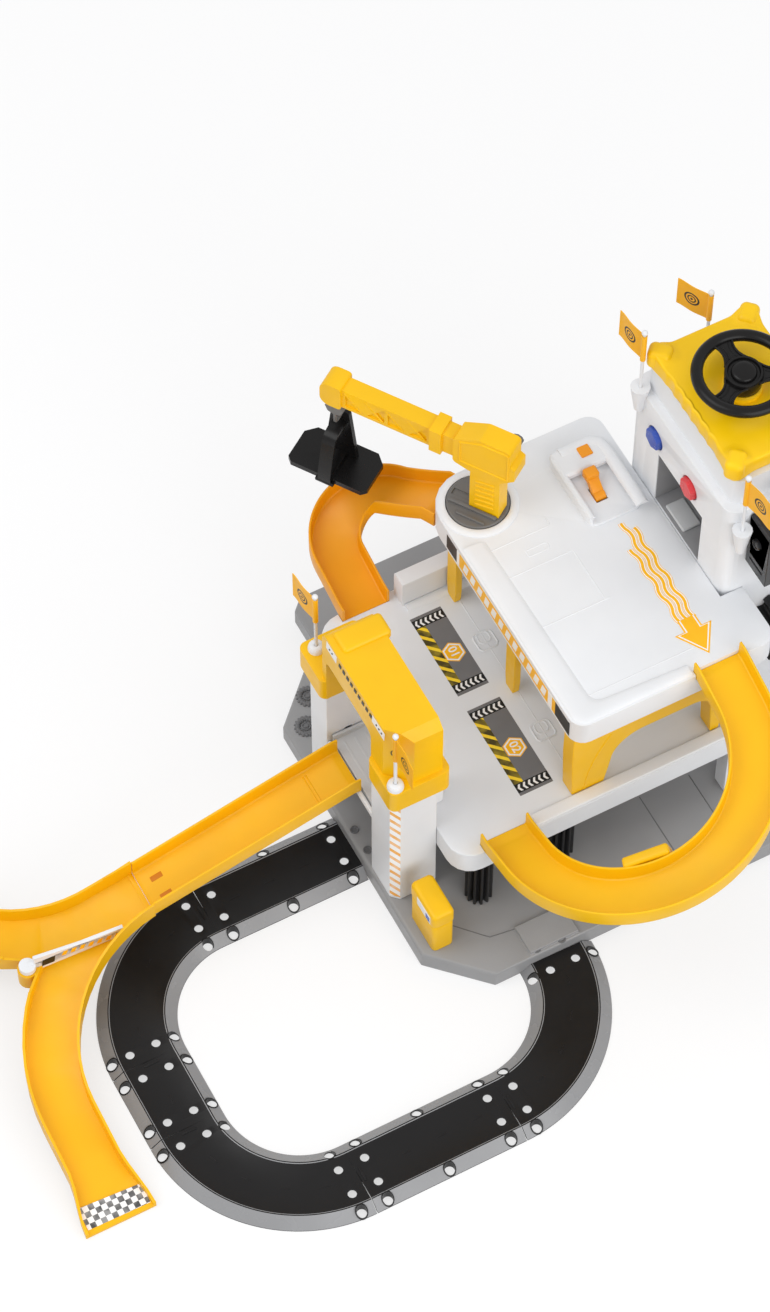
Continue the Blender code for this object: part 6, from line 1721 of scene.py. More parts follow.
    def build_arrow(self) -> None:
        """Build the printed lane arrow with its outlined tail lines."""
        x, level = self.arrow_x, DECK_TWO_TOP
        layers = (
            ("edge", 0.0, 0.22, PRINT_ORANGE),
            ("line", 1.3, 0.27, PRINT_WHITE),
            ("heart", 2.3, 0.32, PRINT_ORANGE),
        )
        for part, inset, rise, finish in layers:
            wing, neck, tip = 15.7 - inset * 1.5, 7.6 - inset, -68 + inset * 1.7
            top, tail = -43.5 - inset * 0.5, -33.0
            head = [
                (-wing, top), (-neck, top), (-neck, tail),
                (neck, tail), (neck, top), (wing, top), (0, tip),
            ]
            outline = np.array(head) * MM + np.array([x, 0])
            plate = prism(outline, level - 0.1 * MM, level + rise * MM)
            add_piece("lane_arrow_" + part, plate, finish)
        threads = (
            ("wave_edges", 4.7, 0.14, PRINT_ORANGE),
            ("waves", 3.9, 0.17, PRINT_WHITE),
            ("wave_hearts", 2.3, 0.19, PRINT_ORANGE),
        )
        for part, wide, rise, finish in threads:
            strands = []
            half, top = wide / 2, rise + 0.1
            section = np.array([(-half, 0), (half, 0), (half, top), (-half, top)]) * MM
            for offset, reach in ((-5.6, 40), (0, 64), (5.6, 56)):
                far = np.linspace(-35, reach, 90)
                sway = np.sin(far / 3.6)
                drift = offset + 1.2 * np.sign(sway) * np.abs(sway) ** 0.8
                path = raised(np.column_stack([x + drift * MM, far * MM]), level - 0.1 * MM)
                strands.append(carried(path, section))
            add_piece("lane_arrow_" + part, joined(strands), finish)

    def build_skirt_strip(self) -> None:
        """Build the strip along the upper deck's left skirt: an orange run with white marks."""
        place = axes((self.skirt_left, 0, self.skirt_level), (0, -1, 0), (0, 0, 1))
        stretches = (
            ("rear_black", -120, -104, PRINT_BLACK),
            ("rear_white", -104, -100, PRINT_WHITE),
            ("run", -100, 38, PRINT_ORANGE),
            ("front_white", 38, 44, PRINT_WHITE),
            ("front_orange", 44, 49, PRINT_ORANGE),
            ("front_black", 49, 70, PRINT_BLACK),
        )
        for name, start, end, finish in stretches:
            outline = [(start, -8.5), (end, -8.5), (end, 8.5), (start, 8.5)]
            add_piece("skirt_" + name, slab(outline, -0.1, 0.2).placed(place), finish)
        marks = joined(
            slab([(y, -5.5), (y + 6, -5.5), (y + 8.5, 5.5), (y + 2.5, 5.5)], 0, 0.3)
            for y in range(-94, 28, 11)
        )
        add_piece("skirt_marks", marks.placed(place), PRINT_WHITE)

    def build_console(self) -> None:
        """Build the console's key cap, and its tiller with the knob."""
        low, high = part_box("console_key")
        shrink = Vector((1.5, 1.5, 0)) * MM
        key = rounded_block(low + shrink, high - shrink, 0.9 * MM, 4)
        add_piece("console_key_cap", key, ORANGE, "console_key", ("console_key",))
        moulded("console_tiller", ORANGE, 0.6 * MM)
        low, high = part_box("console_tiller")
        middle = Vector(((low.x + high.x) / 2, high.y - 3.5 * MM, high.z - 2.5 * MM))
        below, above = Vector((5.5, 4.5, 4.5)) * MM, Vector((5.5, 4.5, 4.0)) * MM
        knob = rounded_block(middle - below, middle + above, 1.6 * MM)
        add_piece("console_tiller_knob", knob, ORANGE, "console_tiller")


# Ramps


@dataclass
class Ramps:
    """The yellow ramps as thin channels with rounded lips, and the fork at their foot."""

    width: float = 41 * MM
    side: float = 15 * MM
    wall: float = RAMP_WALL
    long_y: float = 27 * MM
    long_right: float = LIFT_LEFT + 2.5 * MM
    long_length: float = 176.7 * MM
    long_drop: float = 43 * MM
    long_flat: float = 6 * MM
    side_start: tuple[float, float] = (-116 * MM, -85 * MM)
    side_straight: float = 27 * MM
    side_radius: float = 89.5 * MM
    side_sink: float = 8 * MM
    rear_heading: float = 118
    rear_reach: float = 26.5 * MM
    rear_level: float = 12 * MM
    rear_straight: float = 43 * MM
    rear_radius: float = 30 * MM
    rear_turn: float = 152
    line_slope: float = 0.16

    def section(self) -> np.ndarray:
        """Work out the channel's section: rounded lips, filleted floor, rounded underside.

        Returns:
            The section's corners in order.
        """
        half, wall, side = self.width / 2, self.wall, self.side
        lip = wall / 2
        right = np.concatenate([
            quarter_arc((half - 1.6 * MM, -wall + 1.6 * MM), 1.6 * MM, -90, 0),
            quarter_arc((half - lip, side - lip), lip, 0, 180, 6),
            quarter_arc((half - wall - 1.8 * MM, 1.8 * MM), 1.8 * MM, 0, -90),
        ])
        left = right[::-1] * np.array([-1.0, 1.0])
        return np.concatenate([right, left])

    def build(self) -> None:
        """Build the long, side and rear ramps and the fork with its gate."""
        self.build_long()
        self.build_side()
        self.build_rear()
        self.build_fork()

    def build_long(self) -> None:
        """Build the straight ramp: level at the lift, then down to the fork."""
        far = np.array([0, self.long_flat, self.long_length - 2 * MM, self.long_length])
        drop = np.array([0, 0, self.long_drop, self.long_drop])
        steps = np.unique(np.concatenate([np.linspace(0, self.long_length, 60), far]))
        path = np.column_stack([
            self.long_right - steps,
            np.full(len(steps), self.long_y),
            DECK_ONE_TOP - np.interp(steps, far, drop),
        ])
        channel = carried(path, self.section())
        add_piece("ramp_long_channel", channel, TRACK_YELLOW, replaces=("ramp_long",))
        rib = block((-0.6, -14, -0.5), (0.6, 14, 0.5), 0.4)
        ribs = joined(rib.placed(self.long_spot(at)) for at in (30 * MM, 32.5 * MM))
        add_piece("ramp_long_ribs", ribs, TRACK_YELLOW)
        slot = block((-5, -2.4, -0.8), (5, 2.4, 0.25), 0.5)
        tilt = Matrix.Rotation(-math.atan(self.long_slope()), 4, "Y")
        at = self.long_length - 14 * MM
        slots = joined(slot.placed(self.long_spot(at, y) @ tilt) for y in (-11 * MM, 6 * MM))
        # The latch slots wear the darker orange, which is painted shade in their recesses.
        add_piece("ramp_joint_latches", slots, LATCH_PAINTED_SHADE_ORANGE)

    def long_slope(self) -> float:
        """Return how much the long ramp falls for each step outwards."""
        return self.long_drop / (self.long_length - self.long_flat - 2 * MM)

    def long_spot(self, at: float, offset: float = 0.0) -> Matrix:
        """Return the place on the long ramp's floor at a distance from its upper end."""
        level = DECK_ONE_TOP - (at - self.long_flat) * self.long_slope()
        return Matrix.Translation((self.long_right - at, self.long_y + offset, level))

    def build_side(self) -> None:
        """Build the half-round ramp: its floor rises with the distance walked."""
        sink, level_end, gap = self.side_sink, 6 * MM, 0.3 * MM
        start = (self.side_start[0], self.side_start[1] + sink - gap)
        first = sink - gap + self.side_straight
        turn_y = start[1] - first
        last = -80.5 * MM + 5 * MM - gap - turn_y
        legs = [("straight", first), ("arc", self.side_radius, 180), ("straight", last)]
        walk = walked(start, -90, legs)
        share = (walk[:, 3] - sink) / (walk[-1, 3] - sink - level_end)
        rise = DECK_TWO_TOP - 4 * MM - DECK_ONE_TOP
        path = np.column_stack([walk[:, :2], DECK_ONE_TOP + rise * np.clip(share, 0, 1)])
        channel = carried(path, self.section())
        add_piece("ramp_side_channel", channel, YELLOW, replaces=("ramp_side",))
        wedge = block((-19, -4.4, -14), (18, 4.4, 0), 2.4, 5)
        place = Matrix.Translation((-50.5 * MM, -171 * MM, 162.5 * MM))
        turn = Matrix.Rotation(math.radians(-19), 4, "Z")
        tilt = Matrix.Rotation(-math.atan(0.45), 4, "Y")
        add_piece("ramp_side_wedge", wedge.placed(place @ turn @ tilt), YELLOW)

    def build_rear(self) -> None:
        """Build the hooked ramp: its floor falls with the distance walked and sags a little."""
        ahead, _ = compass(math.radians(self.rear_heading))
        start = np.array(TURNTABLE[:2]) + self.rear_reach * ahead[:2]
        legs = [
            ("straight", self.rear_level),
            ("straight", self.rear_straight),
            ("arc", self.rear_radius, self.rear_turn),
        ]
        walk = walked(start, self.rear_heading, legs)
        shift = -115 * MM - walk[-1, 0]
        landing = 155 * MM - 8 * MM + 0.3 * MM
        tail = np.linspace(walk[-1, 1], landing, 8)[1:]
        last = np.column_stack([
            np.full(7, walk[-1, 0]),
            tail,
            np.full(7, walk[-1, 2]),
            walk[-1, 3] + walk[-1, 1] - tail,
        ])
        walk = np.concatenate([walk, last])
        total = walk[-1, 3] - 8 * MM - self.rear_level
        share = np.clip((walk[:, 3] - self.rear_level) / total, 0, 1)
        sag = share + 0.4 * share * (1 - share)
        top = DECK_TWO_TOP - 27 * MM
        path = np.column_stack([
            walk[:, 0] + shift * smooth_step(share),
            walk[:, 1],
            top - (top - DECK_ONE_TOP) * sag,
        ])
        channel = carried(path, self.section())
        # The rear ramp wears the darker yellow, which is painted shade.
        add_piece("ramp_rear_channel", channel, REAR_PAINTED_SHADE_YELLOW, replaces=("ramp_rear",))

    def build_fork(self) -> None:
        """Build the fork, the gate with its dashes and the checked line at the near end."""
        moulded("ramp_fork", TRACK_YELLOW, 0.5 * MM, 40.0)
        moulded("gate_arm", WHITE, 0.5 * MM)
        middle = (-496 * MM, -172 * MM, 0)
        outline = [(-25.5, -8.5), (25.5, -9.5), (25.5, 6.5), (-25.5, 9.5)]
        strip = slab(outline, -0.6, 0.35).placed(Matrix.Translation(middle))
        strip.points[:, 2] += RAMP_WALL + self.line_slope * (strip.points[:, 1] + 185 * MM)
        item = add_piece("finish_line", strip, PRINT_CHECKS)
        give_plan(item, middle, (1, 0, 0), (0, 1, 0))
        self.build_gate_marks()

    def build_gate_marks(self) -> None:
        """Build the gate's board, with orange dashes and a black patch on both of its faces."""
        place = axes((-474 * MM, 16 * MM, 0), compass(math.radians(-6.5))[0], (0, 0, 1))
        dashes = [
            slab([(x, 51.5), (x + 3.6, 51.5), (x + 5.6, 57), (x + 2, 57)], low, low + 0.3)
            for low in (-1.7, 1.4)
            for x in range(27, 70, 7)
        ]
        add_piece("gate_dashes", joined(dashes).placed(place), PRINT_ORANGE, "gate")
        board = slab([(5, 41.5), (76, 50.5), (76, 59), (5, 60.5)], -1.5, 1.5)
        add_piece("gate_board", board.placed(place), WHITE, "gate", edge=0.6 * MM)
        patch = [(11, 46), (21, 47), (22, 55), (12, 54)]
        patches = joined(slab(patch, low, low + 0.4) for low in (-1.8, 1.4))
        add_piece("gate_patches", patches.placed(place), PRINT_BLACK, "gate")


# Crane


@dataclass
class Crane:
    """The crane on its turntable, with louvres, panel frames, a boom lattice and the cargo tray's
    strap.
    """

    middle: tuple[float, float, float] = TURNTABLE
    heading: float = 124.0
    collar_profile: tuple[tuple[float, float], ...] = (
        (25.1, -0.5), (31.5, -0.5), (31.5, 0.6), (30.0, 2.0),
        (26.1, 2.4), (25.1, 1.8), (25.1, -0.5),
    )

    def place(self) -> Matrix:
        """Return the placement of the crane's own frame, with X along the boom."""
        turn = Matrix.Rotation(math.radians(self.heading), 4, "Z")
        return Matrix.Translation(self.middle) @ turn

    def build(self) -> None:
        """Build the crane's pieces and their details."""
        moulded("crane_turntable", DARK_GREY, 0.4 * MM)
        moulded("crane_tower", YELLOW, 1.0 * MM)
        moulded("crane_boom", YELLOW, 0.8 * MM)
        moulded("crane_winch_knob", DARK_GREY, 0.5 * MM)
        moulded("crane_hook", DARK_GREY, 0.4 * MM)
        moulded("cargo_tray", BLACK, 0.6 * MM)
        place = self.place()
        add_piece("crane_louvres", self.louvres().placed(place), YELLOW, "crane")
        add_piece("crane_house_frames", self.frames().placed(place), YELLOW, "crane")
        add_piece("crane_boom_lattice", self.lattice().placed(place), YELLOW, "crane")
        add_piece("cargo_tray_strap", self.strap().placed(place), BLACK, "cargo_tray")
        add_piece("turntable_bars", self.bars().placed(place), DARK_GREY, "crane")
        add_piece("turntable_collar", self.collar(), WHITE)

    def louvres(self) -> Surface:
        """Make the slanting louvres on both sides of the mast.

        Returns:
            The louvres.
        """
        slat = block((-8, -0.8, -1.2), (8, 0.8, 1.2), 0.6)
        tilt = Matrix.Rotation(math.radians(12), 4, "Y")
        return joined(
            slat.placed(Matrix.Translation((-8.5 * MM, y, level)) @ tilt)
            for y in (-7 * MM, 7 * MM)
            for level in np.arange(8, 44, 6) * MM
        )

    def frames(self) -> Surface:
        """Make the raised panel frames on both sides of the house.

        Returns:
            The frames' bars.
        """
        corners = [(-28, 58), (12, 58), (12, 82), (-6, 90), (-28, 90), (-28, 58)]
        outline = np.array(corners, float) * MM
        found = []
        for y in (-9 * MM, 9 * MM):
            for start, end in zip(outline[:-1], outline[1:]):
                line = start + (end - start) * np.linspace(0, 1, 8)[:, None]
                path = np.column_stack([line[:, 0], np.full(8, y), line[:, 1]])
                found.append(tube(path, 0.9 * MM, 8))
        return joined(found)

    def lattice(self) -> Surface:
        """Make the slanting braces on both sides of the boom, one in each of its four bays.

        Returns:
            The braces.
        """
        share = np.linspace(0, 1, 6)
        found = []
        for y in (-6.5 * MM, 6.5 * MM):
            for start in np.arange(41, 113, 18) * MM:
                along, rise = start + (1.5 + 15 * share) * MM, (60 + 16 * share) * MM
                found.append(tube(np.column_stack([along, np.full(6, y), rise]), 0.8 * MM, 8))
        return joined(found)

    def strap(self) -> Surface:
        """Make the tray's front strap: a flat bar from the front lip up and back to the hanger.

        Each row is the path's point, plus or minus half the thickness along the path's normal
        in the upright plane, at both sides of the bar.

        Returns:
            The bar and the lip.
        """
        path = np.array([
            (20.2, -32.0), (20.2, -24.0), (18.4, -14.0), (15.6, -2.0), (12.8, 9.0),
            (11.2, 13.6), (8.4, 16.4), (4.0, 17.4), (-6.5, 17.4),
        ]) * MM
        way = np.gradient(path, axis=0)
        way /= np.linalg.norm(way, axis=1)[:, None]
        normal = np.column_stack([-way[:, 1], way[:, 0]]) * 1.2 * MM
        middle, half = 122 * MM, 5.5 * MM
        rows = []
        for side, face in ((-1, -1), (1, -1), (1, 1), (-1, 1)):
            line = path + normal * face
            rows.append(np.column_stack([np.full(len(path), middle + side * half), line]))
        bar = skin(np.stack(rows, axis=1), wrap_columns=True, caps=True)
        return bar + block((114, 17.5, -32.6), (130, 21.8, -29.2), 1.0)

    def bars(self) -> Surface:
        """Return the two raised bars across the turntable."""
        wide = block((-20, 7.6, -0.3), (21, 10.4, 2.6), 0.6)
        return wide + block((-14, 16, -0.3), (10, 18, 1.8), 0.5)

    def collar(self) -> Surface:
        """Return the deck's raised white collar round the turntable."""
        return lathe(self.collar_profile, (*self.middle[:2], DECK_TWO_TOP), 72)


# Tower


@dataclass
class Tower:
    """The white tower with its roof, steering wheel, buttons, gear box and spare wheel."""

    wheel: tuple[float, float] = (143 * MM, 43.5 * MM)
    wheel_radius: float = 39.2 * MM
    rim_wide: float = 9.4 * MM
    rim_high: float = 9 * MM
    spoke_headings: tuple[float, ...] = (90, 210, 330)
    spare_place: tuple[float, float] = (160 * MM, 150 * MM)
    bolt_circle: float = 10.5 * MM
    roof_half: tuple[float, float] = (43.0 * MM, 60.4 * MM)
    roof_corner: float = 9 * MM
    roof_top: float = 362.3 * MM
    ear_size: float = 3.8 * MM
    ear_spread: float = 17 * MM
    scallop_depth: float = 1.1 * MM
    scallop_pitch: float = 3.9 * MM
    button_middles: tuple[float, float] = (78 * MM, 27 * MM)
    button_level: float = 286 * MM
    bar_gap: float = 3 * MM

    def build(self) -> None:
        """Build the tower and everything on it."""
        moulded("tower_body", WHITE, 0.8 * MM)
        self.build_roof()
        self.build_wheel()
        moulded("button_blue", BLUE, 0.9 * MM)
        moulded("button_red", RED, 0.9 * MM)
        moulded("gear_box", GEAR_BLACK, 0.6 * MM)
        dress_node("gear_lever", BLACK)
        self.build_gear_knob()
        self.build_doorway()
        moulded("spare_wheel", TYRE, 0.5 * MM)
        self.build_spare_hub()
        self.build_button_marks()

    def build_wheel(self) -> None:
        """Build the wheel: a swept rim, three dished spokes and a turned hub."""
        _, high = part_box("steering_wheel")
        x, y = self.wheel
        top = high.z
        angle = np.linspace(0, 2 * np.pi, 96, endpoint=False)
        around = np.linspace(0, 2 * np.pi, 20, endpoint=False)
        middle = self.wheel_radius - self.rim_wide / 2
        reach = middle + self.rim_wide / 2 * np.cos(around)
        level = top - self.rim_high / 2 + self.rim_high / 2 * np.sin(around)
        points = np.stack([
            x + np.cos(angle)[:, None] * reach,
            y + np.sin(angle)[:, None] * reach,
            np.broadcast_to(level, (96, 20)),
        ], axis=-1)
        rim = skin(points, wrap_rows=True, wrap_columns=True)
        seat = 368.1 * MM
        profile = [
            (0, seat), (13.6 * MM, seat), (14.2 * MM, seat + 1 * MM), (14.6 * MM, top - 2.8 * MM),
            (14.0 * MM, top - 1.9 * MM), (12.4 * MM, top - 1.9 * MM), (11.6 * MM, top - 3.6 * MM),
            (9.9 * MM, top - 3.6 * MM), (9.3 * MM, top - 1.4 * MM), (8.2 * MM, top - 0.4 * MM),
            (5 * MM, top), (0, top),
        ]
        hub = turned(profile, (x, y, 0), 64)
        spokes = []
        share = np.linspace(0, 1, 20)
        half = (5.4 + 4.2 * (2 * share - 1) ** 2) * MM
        far = 11 * MM + share * (middle - 12 * MM)
        bed = top - 4.6 * MM + 0.8 * MM * share
        corners = ((-1.0, -1.6), (1.0, -1.6), (1.0, 0.0), (-1.0, 0.0))
        rows = [np.column_stack([far, half * side, bed + rise * MM]) for side, rise in corners]
        spoke = skin(np.stack(rows, axis=1), wrap_columns=True, caps=True)
        inner = slice(4, -4)
        for heading in self.spoke_headings:
            turn = Matrix.Translation((x, y, 0)) @ Matrix.Rotation(math.radians(heading), 4, "Z")
            spokes.append(spoke.placed(turn))
            for side in (-1, 1):
                ridge = np.column_stack([far, half * side, bed + 0.5 * MM])
                spokes.append(tube(ridge, 0.9 * MM, 12).placed(turn))
                away = (half[inner] - 3.4 * MM) * side
                groove = np.column_stack([far[inner], away, bed[inner] + 0.1 * MM])
                spokes.append(tube(groove, 0.5 * MM, 8).placed(turn))
        whole = joined([rim, hub, *spokes])
        node = "steering_wheel"
        add_piece("steering_wheel_moulded", whole, BLACK, node, ("steering_wheel",), crease=50)

    def build_spare_hub(self) -> None:
        """Build the spare wheel's dished hub with its bolts."""
        low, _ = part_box("spare_wheel")
        place = axes((self.spare_place[0], low.y, self.spare_place[1]), (1, 0, 0), (0, 0, 1))
        profile = [
            (0, -6.6), (19.5, -6.6), (19.5, -1), (18, 0.2), (16.5, -1.5),
            (14, -4.5), (7, -4.5), (6, -1), (4.5, 0), (0, 0),
        ]
        bolt = [(0, -5), (1.3, -5), (1.2, -3.2), (0, -3)]
        bolts = [
            lathe(bolt, compass(turn)[0] * self.bolt_circle, 12)
            for turn in np.radians(np.arange(0, 360, 60))
        ]
        hub = joined([lathe(profile, steps=56), *bolts])
        add_piece("spare_wheel_hub", hub.placed(place), DARK_GREY)

    def build_button_marks(self) -> None:
        """Build the raised bars on both buttons."""
        buttons = zip(("button_blue", "button_red"), self.button_middles, (BLUE, RED))
        for body, y, finish in buttons:
            low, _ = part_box(body)
            bars = [
                rounded_block(
                    (low.x - 0.1 * MM, y - 4.5 * MM, level - 0.6 * MM),
                    (low.x + 0.6 * MM, y + 4.5 * MM, level + 0.6 * MM),
                    0.3 * MM,
                )
                for level in self.button_level + np.array([-1, 0, 1]) * self.bar_gap
            ]
            add_piece(body + "_bars", joined(bars), finish, body)

    def build_roof(self) -> None:
        """Build the roof plate: a rounded outline with four ears and scallops on the left side.

        The outline is pushed outwards near each corner and drawn in by half sines along
        the left side. Each row is the outline scaled about the middle or drawn in, and the
        top rises near every ear by a smooth step of the distance.
        """
        low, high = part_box("tower_roof")
        middle = np.array([(low.x + high.x) / 2, (low.y + high.y) / 2])
        half = np.array(self.roof_half)
        rough = rounded_outline(half, self.roof_corner, 12)
        outline = traced(np.concatenate([rough, rough[:1]]), 281)[:-1]
        gaps = np.abs(outline) - (half - 3 * MM)
        near = np.clip(1 - np.linalg.norm(gaps, axis=1) / self.ear_spread, 0, 1)
        outward = outline / np.linalg.norm(outline, axis=1)[:, None]
        outline = outline + outward * (smooth_step(near) * self.ear_size)[:, None]
        left = (outline[:, 0] < 6 * MM - half[0]) & (np.abs(outline[:, 1]) < 38 * MM)
        scallops = self.scallop_depth * np.abs(np.sin(outline[:, 1] / self.scallop_pitch))
        outline[:, 0] += np.where(left, scallops, 0)
        shares = np.array([0.02, 0.3, 0.5, 0.6, 0.68, 0.74, 0.79, 0.83, 0.87, 0.9, 0.93, 0.95])
        insets = np.array([2.6, 1.4, 0.6, 0.15, 0.0, 0.0, 0.3, 1.5]) * MM
        drops = np.array([0, 0.2, 0.7, 1.5, 2.6, 14.0, 14.7, 15.0]) * MM
        reach = np.linalg.norm(outline, axis=1)
        rows = [outline * share for share in shares]
        rows += [outline * (1 - inset / reach)[:, None] for inset in insets]
        flat = np.stack(rows)
        away = np.linalg.norm(np.abs(flat) - (half - 5 * MM), axis=2)
        lift = smooth_step(np.clip(1.45 - away / (10 * MM), 0, 1))
        fall = np.concatenate([np.zeros(len(shares)), drops])[:, None]
        level = self.roof_top - fall + self.ear_size * lift * (1 - fall / drops[-1])
        points = np.concatenate([flat + middle, level[..., None]], axis=2)
        plate = skin(points, wrap_columns=True, caps=True)
        # The roof's pieces wear the lighter yellow, which is painted light.
        add_piece("tower_roof_moulded", plate, ROOF_PAINTED_LIGHT_YELLOW, replaces=("tower_roof",))
        foot, shoulder = self.roof_top - 2 * MM, 366 * MM
        wide, brim = 15 * MM, 13.7 * MM
        profile = [(0, foot), (wide, foot), (wide, shoulder), (brim, high.z), (0, high.z)]
        add_piece("tower_roof_seat", turned(profile, (*self.wheel, 0), 48), ROOF_PAINTED_LIGHT_YELLOW)
        below, above = (-10 * MM, -7.6 * MM, 348 * MM), (9 * MM, 7.6 * MM, high.z - 0.1 * MM)
        ear = rounded_block(below, above, 5.0 * MM, 7)
        ears = []
        for sides in ((-1, -1), (1, -1), (1, 1), (-1, 1)):
            corner = Matrix.Translation((*(middle + np.array(sides) * (half - 5.2 * MM)), 0))
            turn = Matrix.Rotation(math.atan2(sides[1], sides[0]), 4, "Z")
            ears.append(ear.placed(corner @ turn))
        add_piece("tower_roof_ears", joined(ears), ROOF_PAINTED_LIGHT_YELLOW)

    def build_gear_knob(self) -> None:
        """Build the round knob on the gear box's left side."""
        low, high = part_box("gear_box")
        profile = [(0, 0), (4.6, 0), (4.6, 2.2), (3.8, 3.2), (3.2, 3.2), (2.9, 2.6), (0, 2.6)]
        knob = lathe(profile, (0, 0, -0.2 * MM), 36)
        place = axes((low.x, (low.y + high.y) / 2, high.z - 22 * MM), (0, 1, 0), (0, 0, 1))
        place = place @ Matrix.Rotation(math.pi, 4, "X")
        add_piece("gear_box_knob", knob.placed(place), GEAR_BLACK)

    def build_doorway(self) -> None:
        """Build the doorway's lining, a grey of painted shade, and the low kerb on its floor."""
        low, high, thick = np.array([94.6, 7.1, 213.4]), np.array([138.9, 71.9, 271.9]), 0.5
        walls = []
        for axis, upper in ((2, False), (2, True), (1, False), (1, True), (0, True)):
            near, far = low.copy(), high.copy()
            if upper:
                near[axis] = high[axis] - thick
            else:
                far[axis] = low[axis] + thick
            walls.append(block(near, far, 0.1, 1))
        # The doorway's lining is a grey sheet of painted shade.
        add_piece("doorway_painted_shade_lining", joined(walls), DOORWAY_PAINTED_SHADE_GREY)
        add_piece("doorway_kerb", block((97, 34, 213.5), (113, 61, 216.4), 1.3), LIGHT_GREY)


# Flags


@dataclass
class Flags:
    """The five flags: smooth poles with round caps, and gently waved printed sheets."""

    headings: dict[str, float] = field(default_factory=lambda: {
        "hood_front": -90,
        "hood_rear": 100,
        "tower_left": 100,
        "tower_front": -80,
        "tower_rear": 120,
    })
    pole_radius: float = 1.4 * MM
    sleeve_radius: float = 2.2 * MM
    length: float = 28.6 * MM
    half_thickness: float = 0.3 * MM
    wave: float = 1.1 * MM
    ball: float = 2.38 * MM
    columns: int = 36
    rows: int = 14

    def build(self) -> None:
        """Build every flag on its own pole."""
        for name, heading in self.headings.items():
            low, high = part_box("flag_pole_" + name)
            middle = (low + high) / 2
            foot, top = low.z, high.z
            ball = self.ball
            angles = np.radians(np.arange(-52, 90, 12))
            cap = [(ball * math.cos(a), top - ball + ball * math.sin(a)) for a in angles]
            neck = top - 2 * ball + 0.3 * MM
            shaft = [(0, foot), (self.pole_radius, foot), (self.pole_radius, neck)]
            pole = turned([*shaft, *cap, (0, top)], (middle.x, middle.y, 0), 20)
            add_piece(f"flag_pole_{name}_smooth", pole, WHITE, replaces=("flag_pole_" + name,))
            self.build_sheet(name, heading, middle)

    def build_sheet(self, name: str, heading: float, middle: Vector) -> None:
        """Build one sheet: a flat strip whose sideways offset is a sine that grows outwards.

        Args:
            name: The flag's name.
            heading: The direction that it flies in, in degrees.
            middle: A point on the pole's axis.
        """
        low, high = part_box("flag_cloth_" + name)
        ahead, across = compass(math.radians(heading))
        share = np.linspace(0, 1, self.columns)
        rise = np.linspace(low.z + 0.2 * MM, high.z - 0.2 * MM, self.rows)
        wave = self.wave * share * np.sin(share * 5.2)
        base = np.array([middle.x, middle.y, 0])
        start = self.pole_radius + 0.5 * MM
        far = (start + share * (self.length - start))[:, None]
        rows = []
        for offset in (-self.half_thickness, self.half_thickness):
            line = base + ahead * far + across * (wave + offset)[:, None]
            grid = np.broadcast_to(line[:, None, :], (self.columns, self.rows, 3)).copy()
            grid[:, :, 2] = rise
            rows.append(grid)
        loop = np.concatenate([rows[0], rows[1][:, ::-1]], axis=1)
        sheet = skin(loop, wrap_columns=True, caps=True)
        inner, outer = self.pole_radius + 0.25 * MM, self.sleeve_radius
        ring = [(inner, low.z), (outer, low.z), (outer, high.z), (inner, high.z), (inner, low.z)]
        whole = sheet + turned(ring, base, 24)
        item = add_piece(f"flag_sheet_{name}", whole, FLAG, replaces=("flag_cloth_" + name,))
        heart = base + ahead * self.length * 0.54 + np.array([0, 0, (low.z + high.z) / 2])
        give_plan(item, heart, ahead, (0, 0, 1))


# Studio


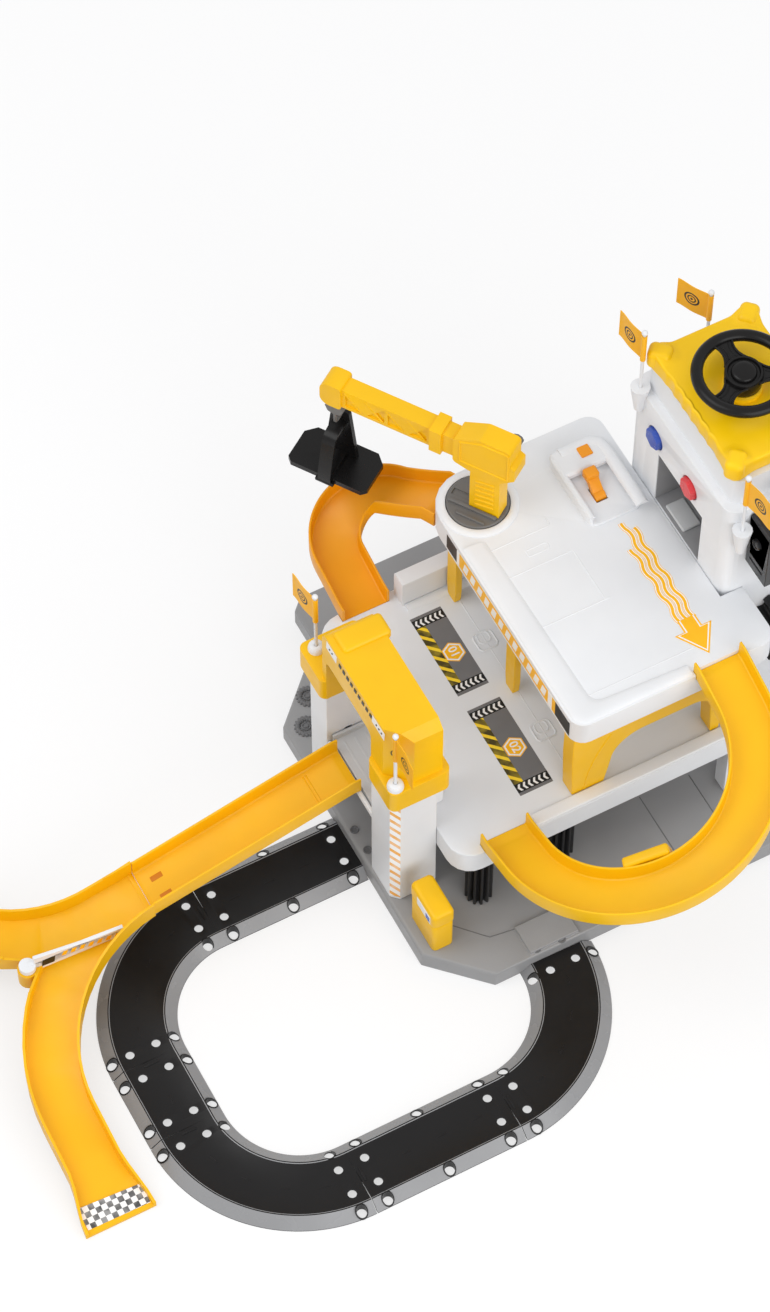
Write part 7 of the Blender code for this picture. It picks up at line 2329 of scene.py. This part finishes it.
@dataclass
class Studio:
    """The pale floor, the soft lamps and the camera."""

    eye: tuple[float, float, float] = (-0.9775, -1.5059, 3.0257)
    right: tuple[float, float, float] = (0.88291, -0.46953, 0.0)
    up: tuple[float, float, float] = (0.39837, 0.74910, 0.52929)
    back: tuple[float, float, float] = (-0.24852, -0.46732, 0.84844)
    lens: float = 122.17
    sensor: float = 36.0
    floor_edge: float = 8.0
    sky: float = 0.80
    aim: tuple[float, float, float] = (-0.15, 0.0, 0.1)

    def build(self) -> None:
        """Build the camera, the floor, the world and the lamps."""
        self.build_camera()
        self.build_floor()
        self.build_world()
        self.build_lamp("key", (-1.5, 0.3, 2.0), 1.6, 16.0)
        self.build_lamp("fill", (0.1, -2.0, 1.0), 1.8, 20.0)
        bpy.context.scene.view_settings.view_transform = "Standard"

    def build_camera(self) -> None:
        """Build the camera at the photograph's angle."""
        camera = stood("camera", bpy.data.cameras.new("camera"))
        camera.data.lens = self.lens
        camera.data.sensor_width = self.sensor
        camera.data.clip_start, camera.data.clip_end = 0.05, 50.0
        turn = Matrix((self.right, self.up, self.back)).transposed().to_4x4()
        camera.matrix_world = Matrix.Translation(self.eye) @ turn
        bpy.context.scene.camera = camera

    def build_floor(self) -> None:
        """Build a wide floor that is paler to the eye than to the light that it sends back."""
        edge = self.floor_edge
        corners = [(-edge, -edge, 0), (edge, -edge, 0), (edge, edge, 0), (-edge, edge, 0)]
        flat = Surface(np.array(corners, float), [(0, 1, 2, 3)])
        item = stood("floor", finished_mesh("floor", flat, 30))
        finish = Finish("floor_paint", (0.40, 0.40, 0.41), "", Feel.MATT, spread=0.01, wear=0.0)
        made = finish.material()
        writer = MaterialWriter(made, finish)
        rays = writer.node("LightPath")
        seen = writer.maths("MAXIMUM", rays.outputs["Is Camera Ray"], rays.outputs["Is Glossy Ray"])
        seen = writer.maths("MAXIMUM", seen, rays.outputs["Is Transmission Ray"])
        glow = writer.node("Emission")
        glow.inputs["Strength"].default_value = 1.0
        paint = writer.node("BsdfDiffuse")
        paint.inputs["Color"].default_value = (0.92, 0.92, 0.93, 1.0)
        pale = writer.node("MixShader")
        pale.inputs[0].default_value = 0.62
        writer.join(paint.outputs[0], pale.inputs[1])
        writer.join(glow.outputs[0], pale.inputs[2])
        choice = writer.node("MixShader")
        writer.join(seen, choice.inputs[0])
        writer.join(writer.shader.outputs[0], choice.inputs[1])
        writer.join(pale.outputs[0], choice.inputs[2])
        output = writer.nodes["Material Output"]
        writer.join(choice.outputs[0], output.inputs["Surface"])
        item.data.materials.append(made)

    def build_world(self) -> None:
        """Build a plain pale sky."""
        world = bpy.data.worlds.new("sky")
        bpy.context.scene.world = world
        world.use_nodes = True
        ground = world.node_tree.nodes["Background"]
        ground.inputs["Color"].default_value = (1.0, 1.0, 1.0, 1.0)
        ground.inputs["Strength"].default_value = self.sky

    def build_lamp(
        self,
        name: str,
        place: tuple[float, float, float],
        size: float,
        power: float,
    ) -> None:
        """Build one soft square lamp that looks at the garage.

        Args:
            name: The lamp's name.
            place: Where it hangs.
            size: Its side.
            power: Its power in watts.
        """
        light = bpy.data.lights.new(name, "AREA")
        light.size = size
        light.energy = power
        item = stood(name, light)
        aim = Vector(self.aim) - Vector(place)
        turn = aim.to_track_quat("-Z", "Y").to_matrix().to_4x4()
        item.matrix_world = Matrix.Translation(place) @ turn


def main() -> None:
    """Build each sub-assembly in order and report its pieces."""
    logging.basicConfig(level=logging.INFO, format="%(name)s: %(message)s")
    makers = (RoadRing, BaseTray, Lift, Decks, Ramps, Crane, Tower, Flags, Studio)
    for part in (maker() for maker in makers):
        part.build()
        LOG.info("%s is ready", type(part).__name__)


if __name__ == "__main__":
    main()
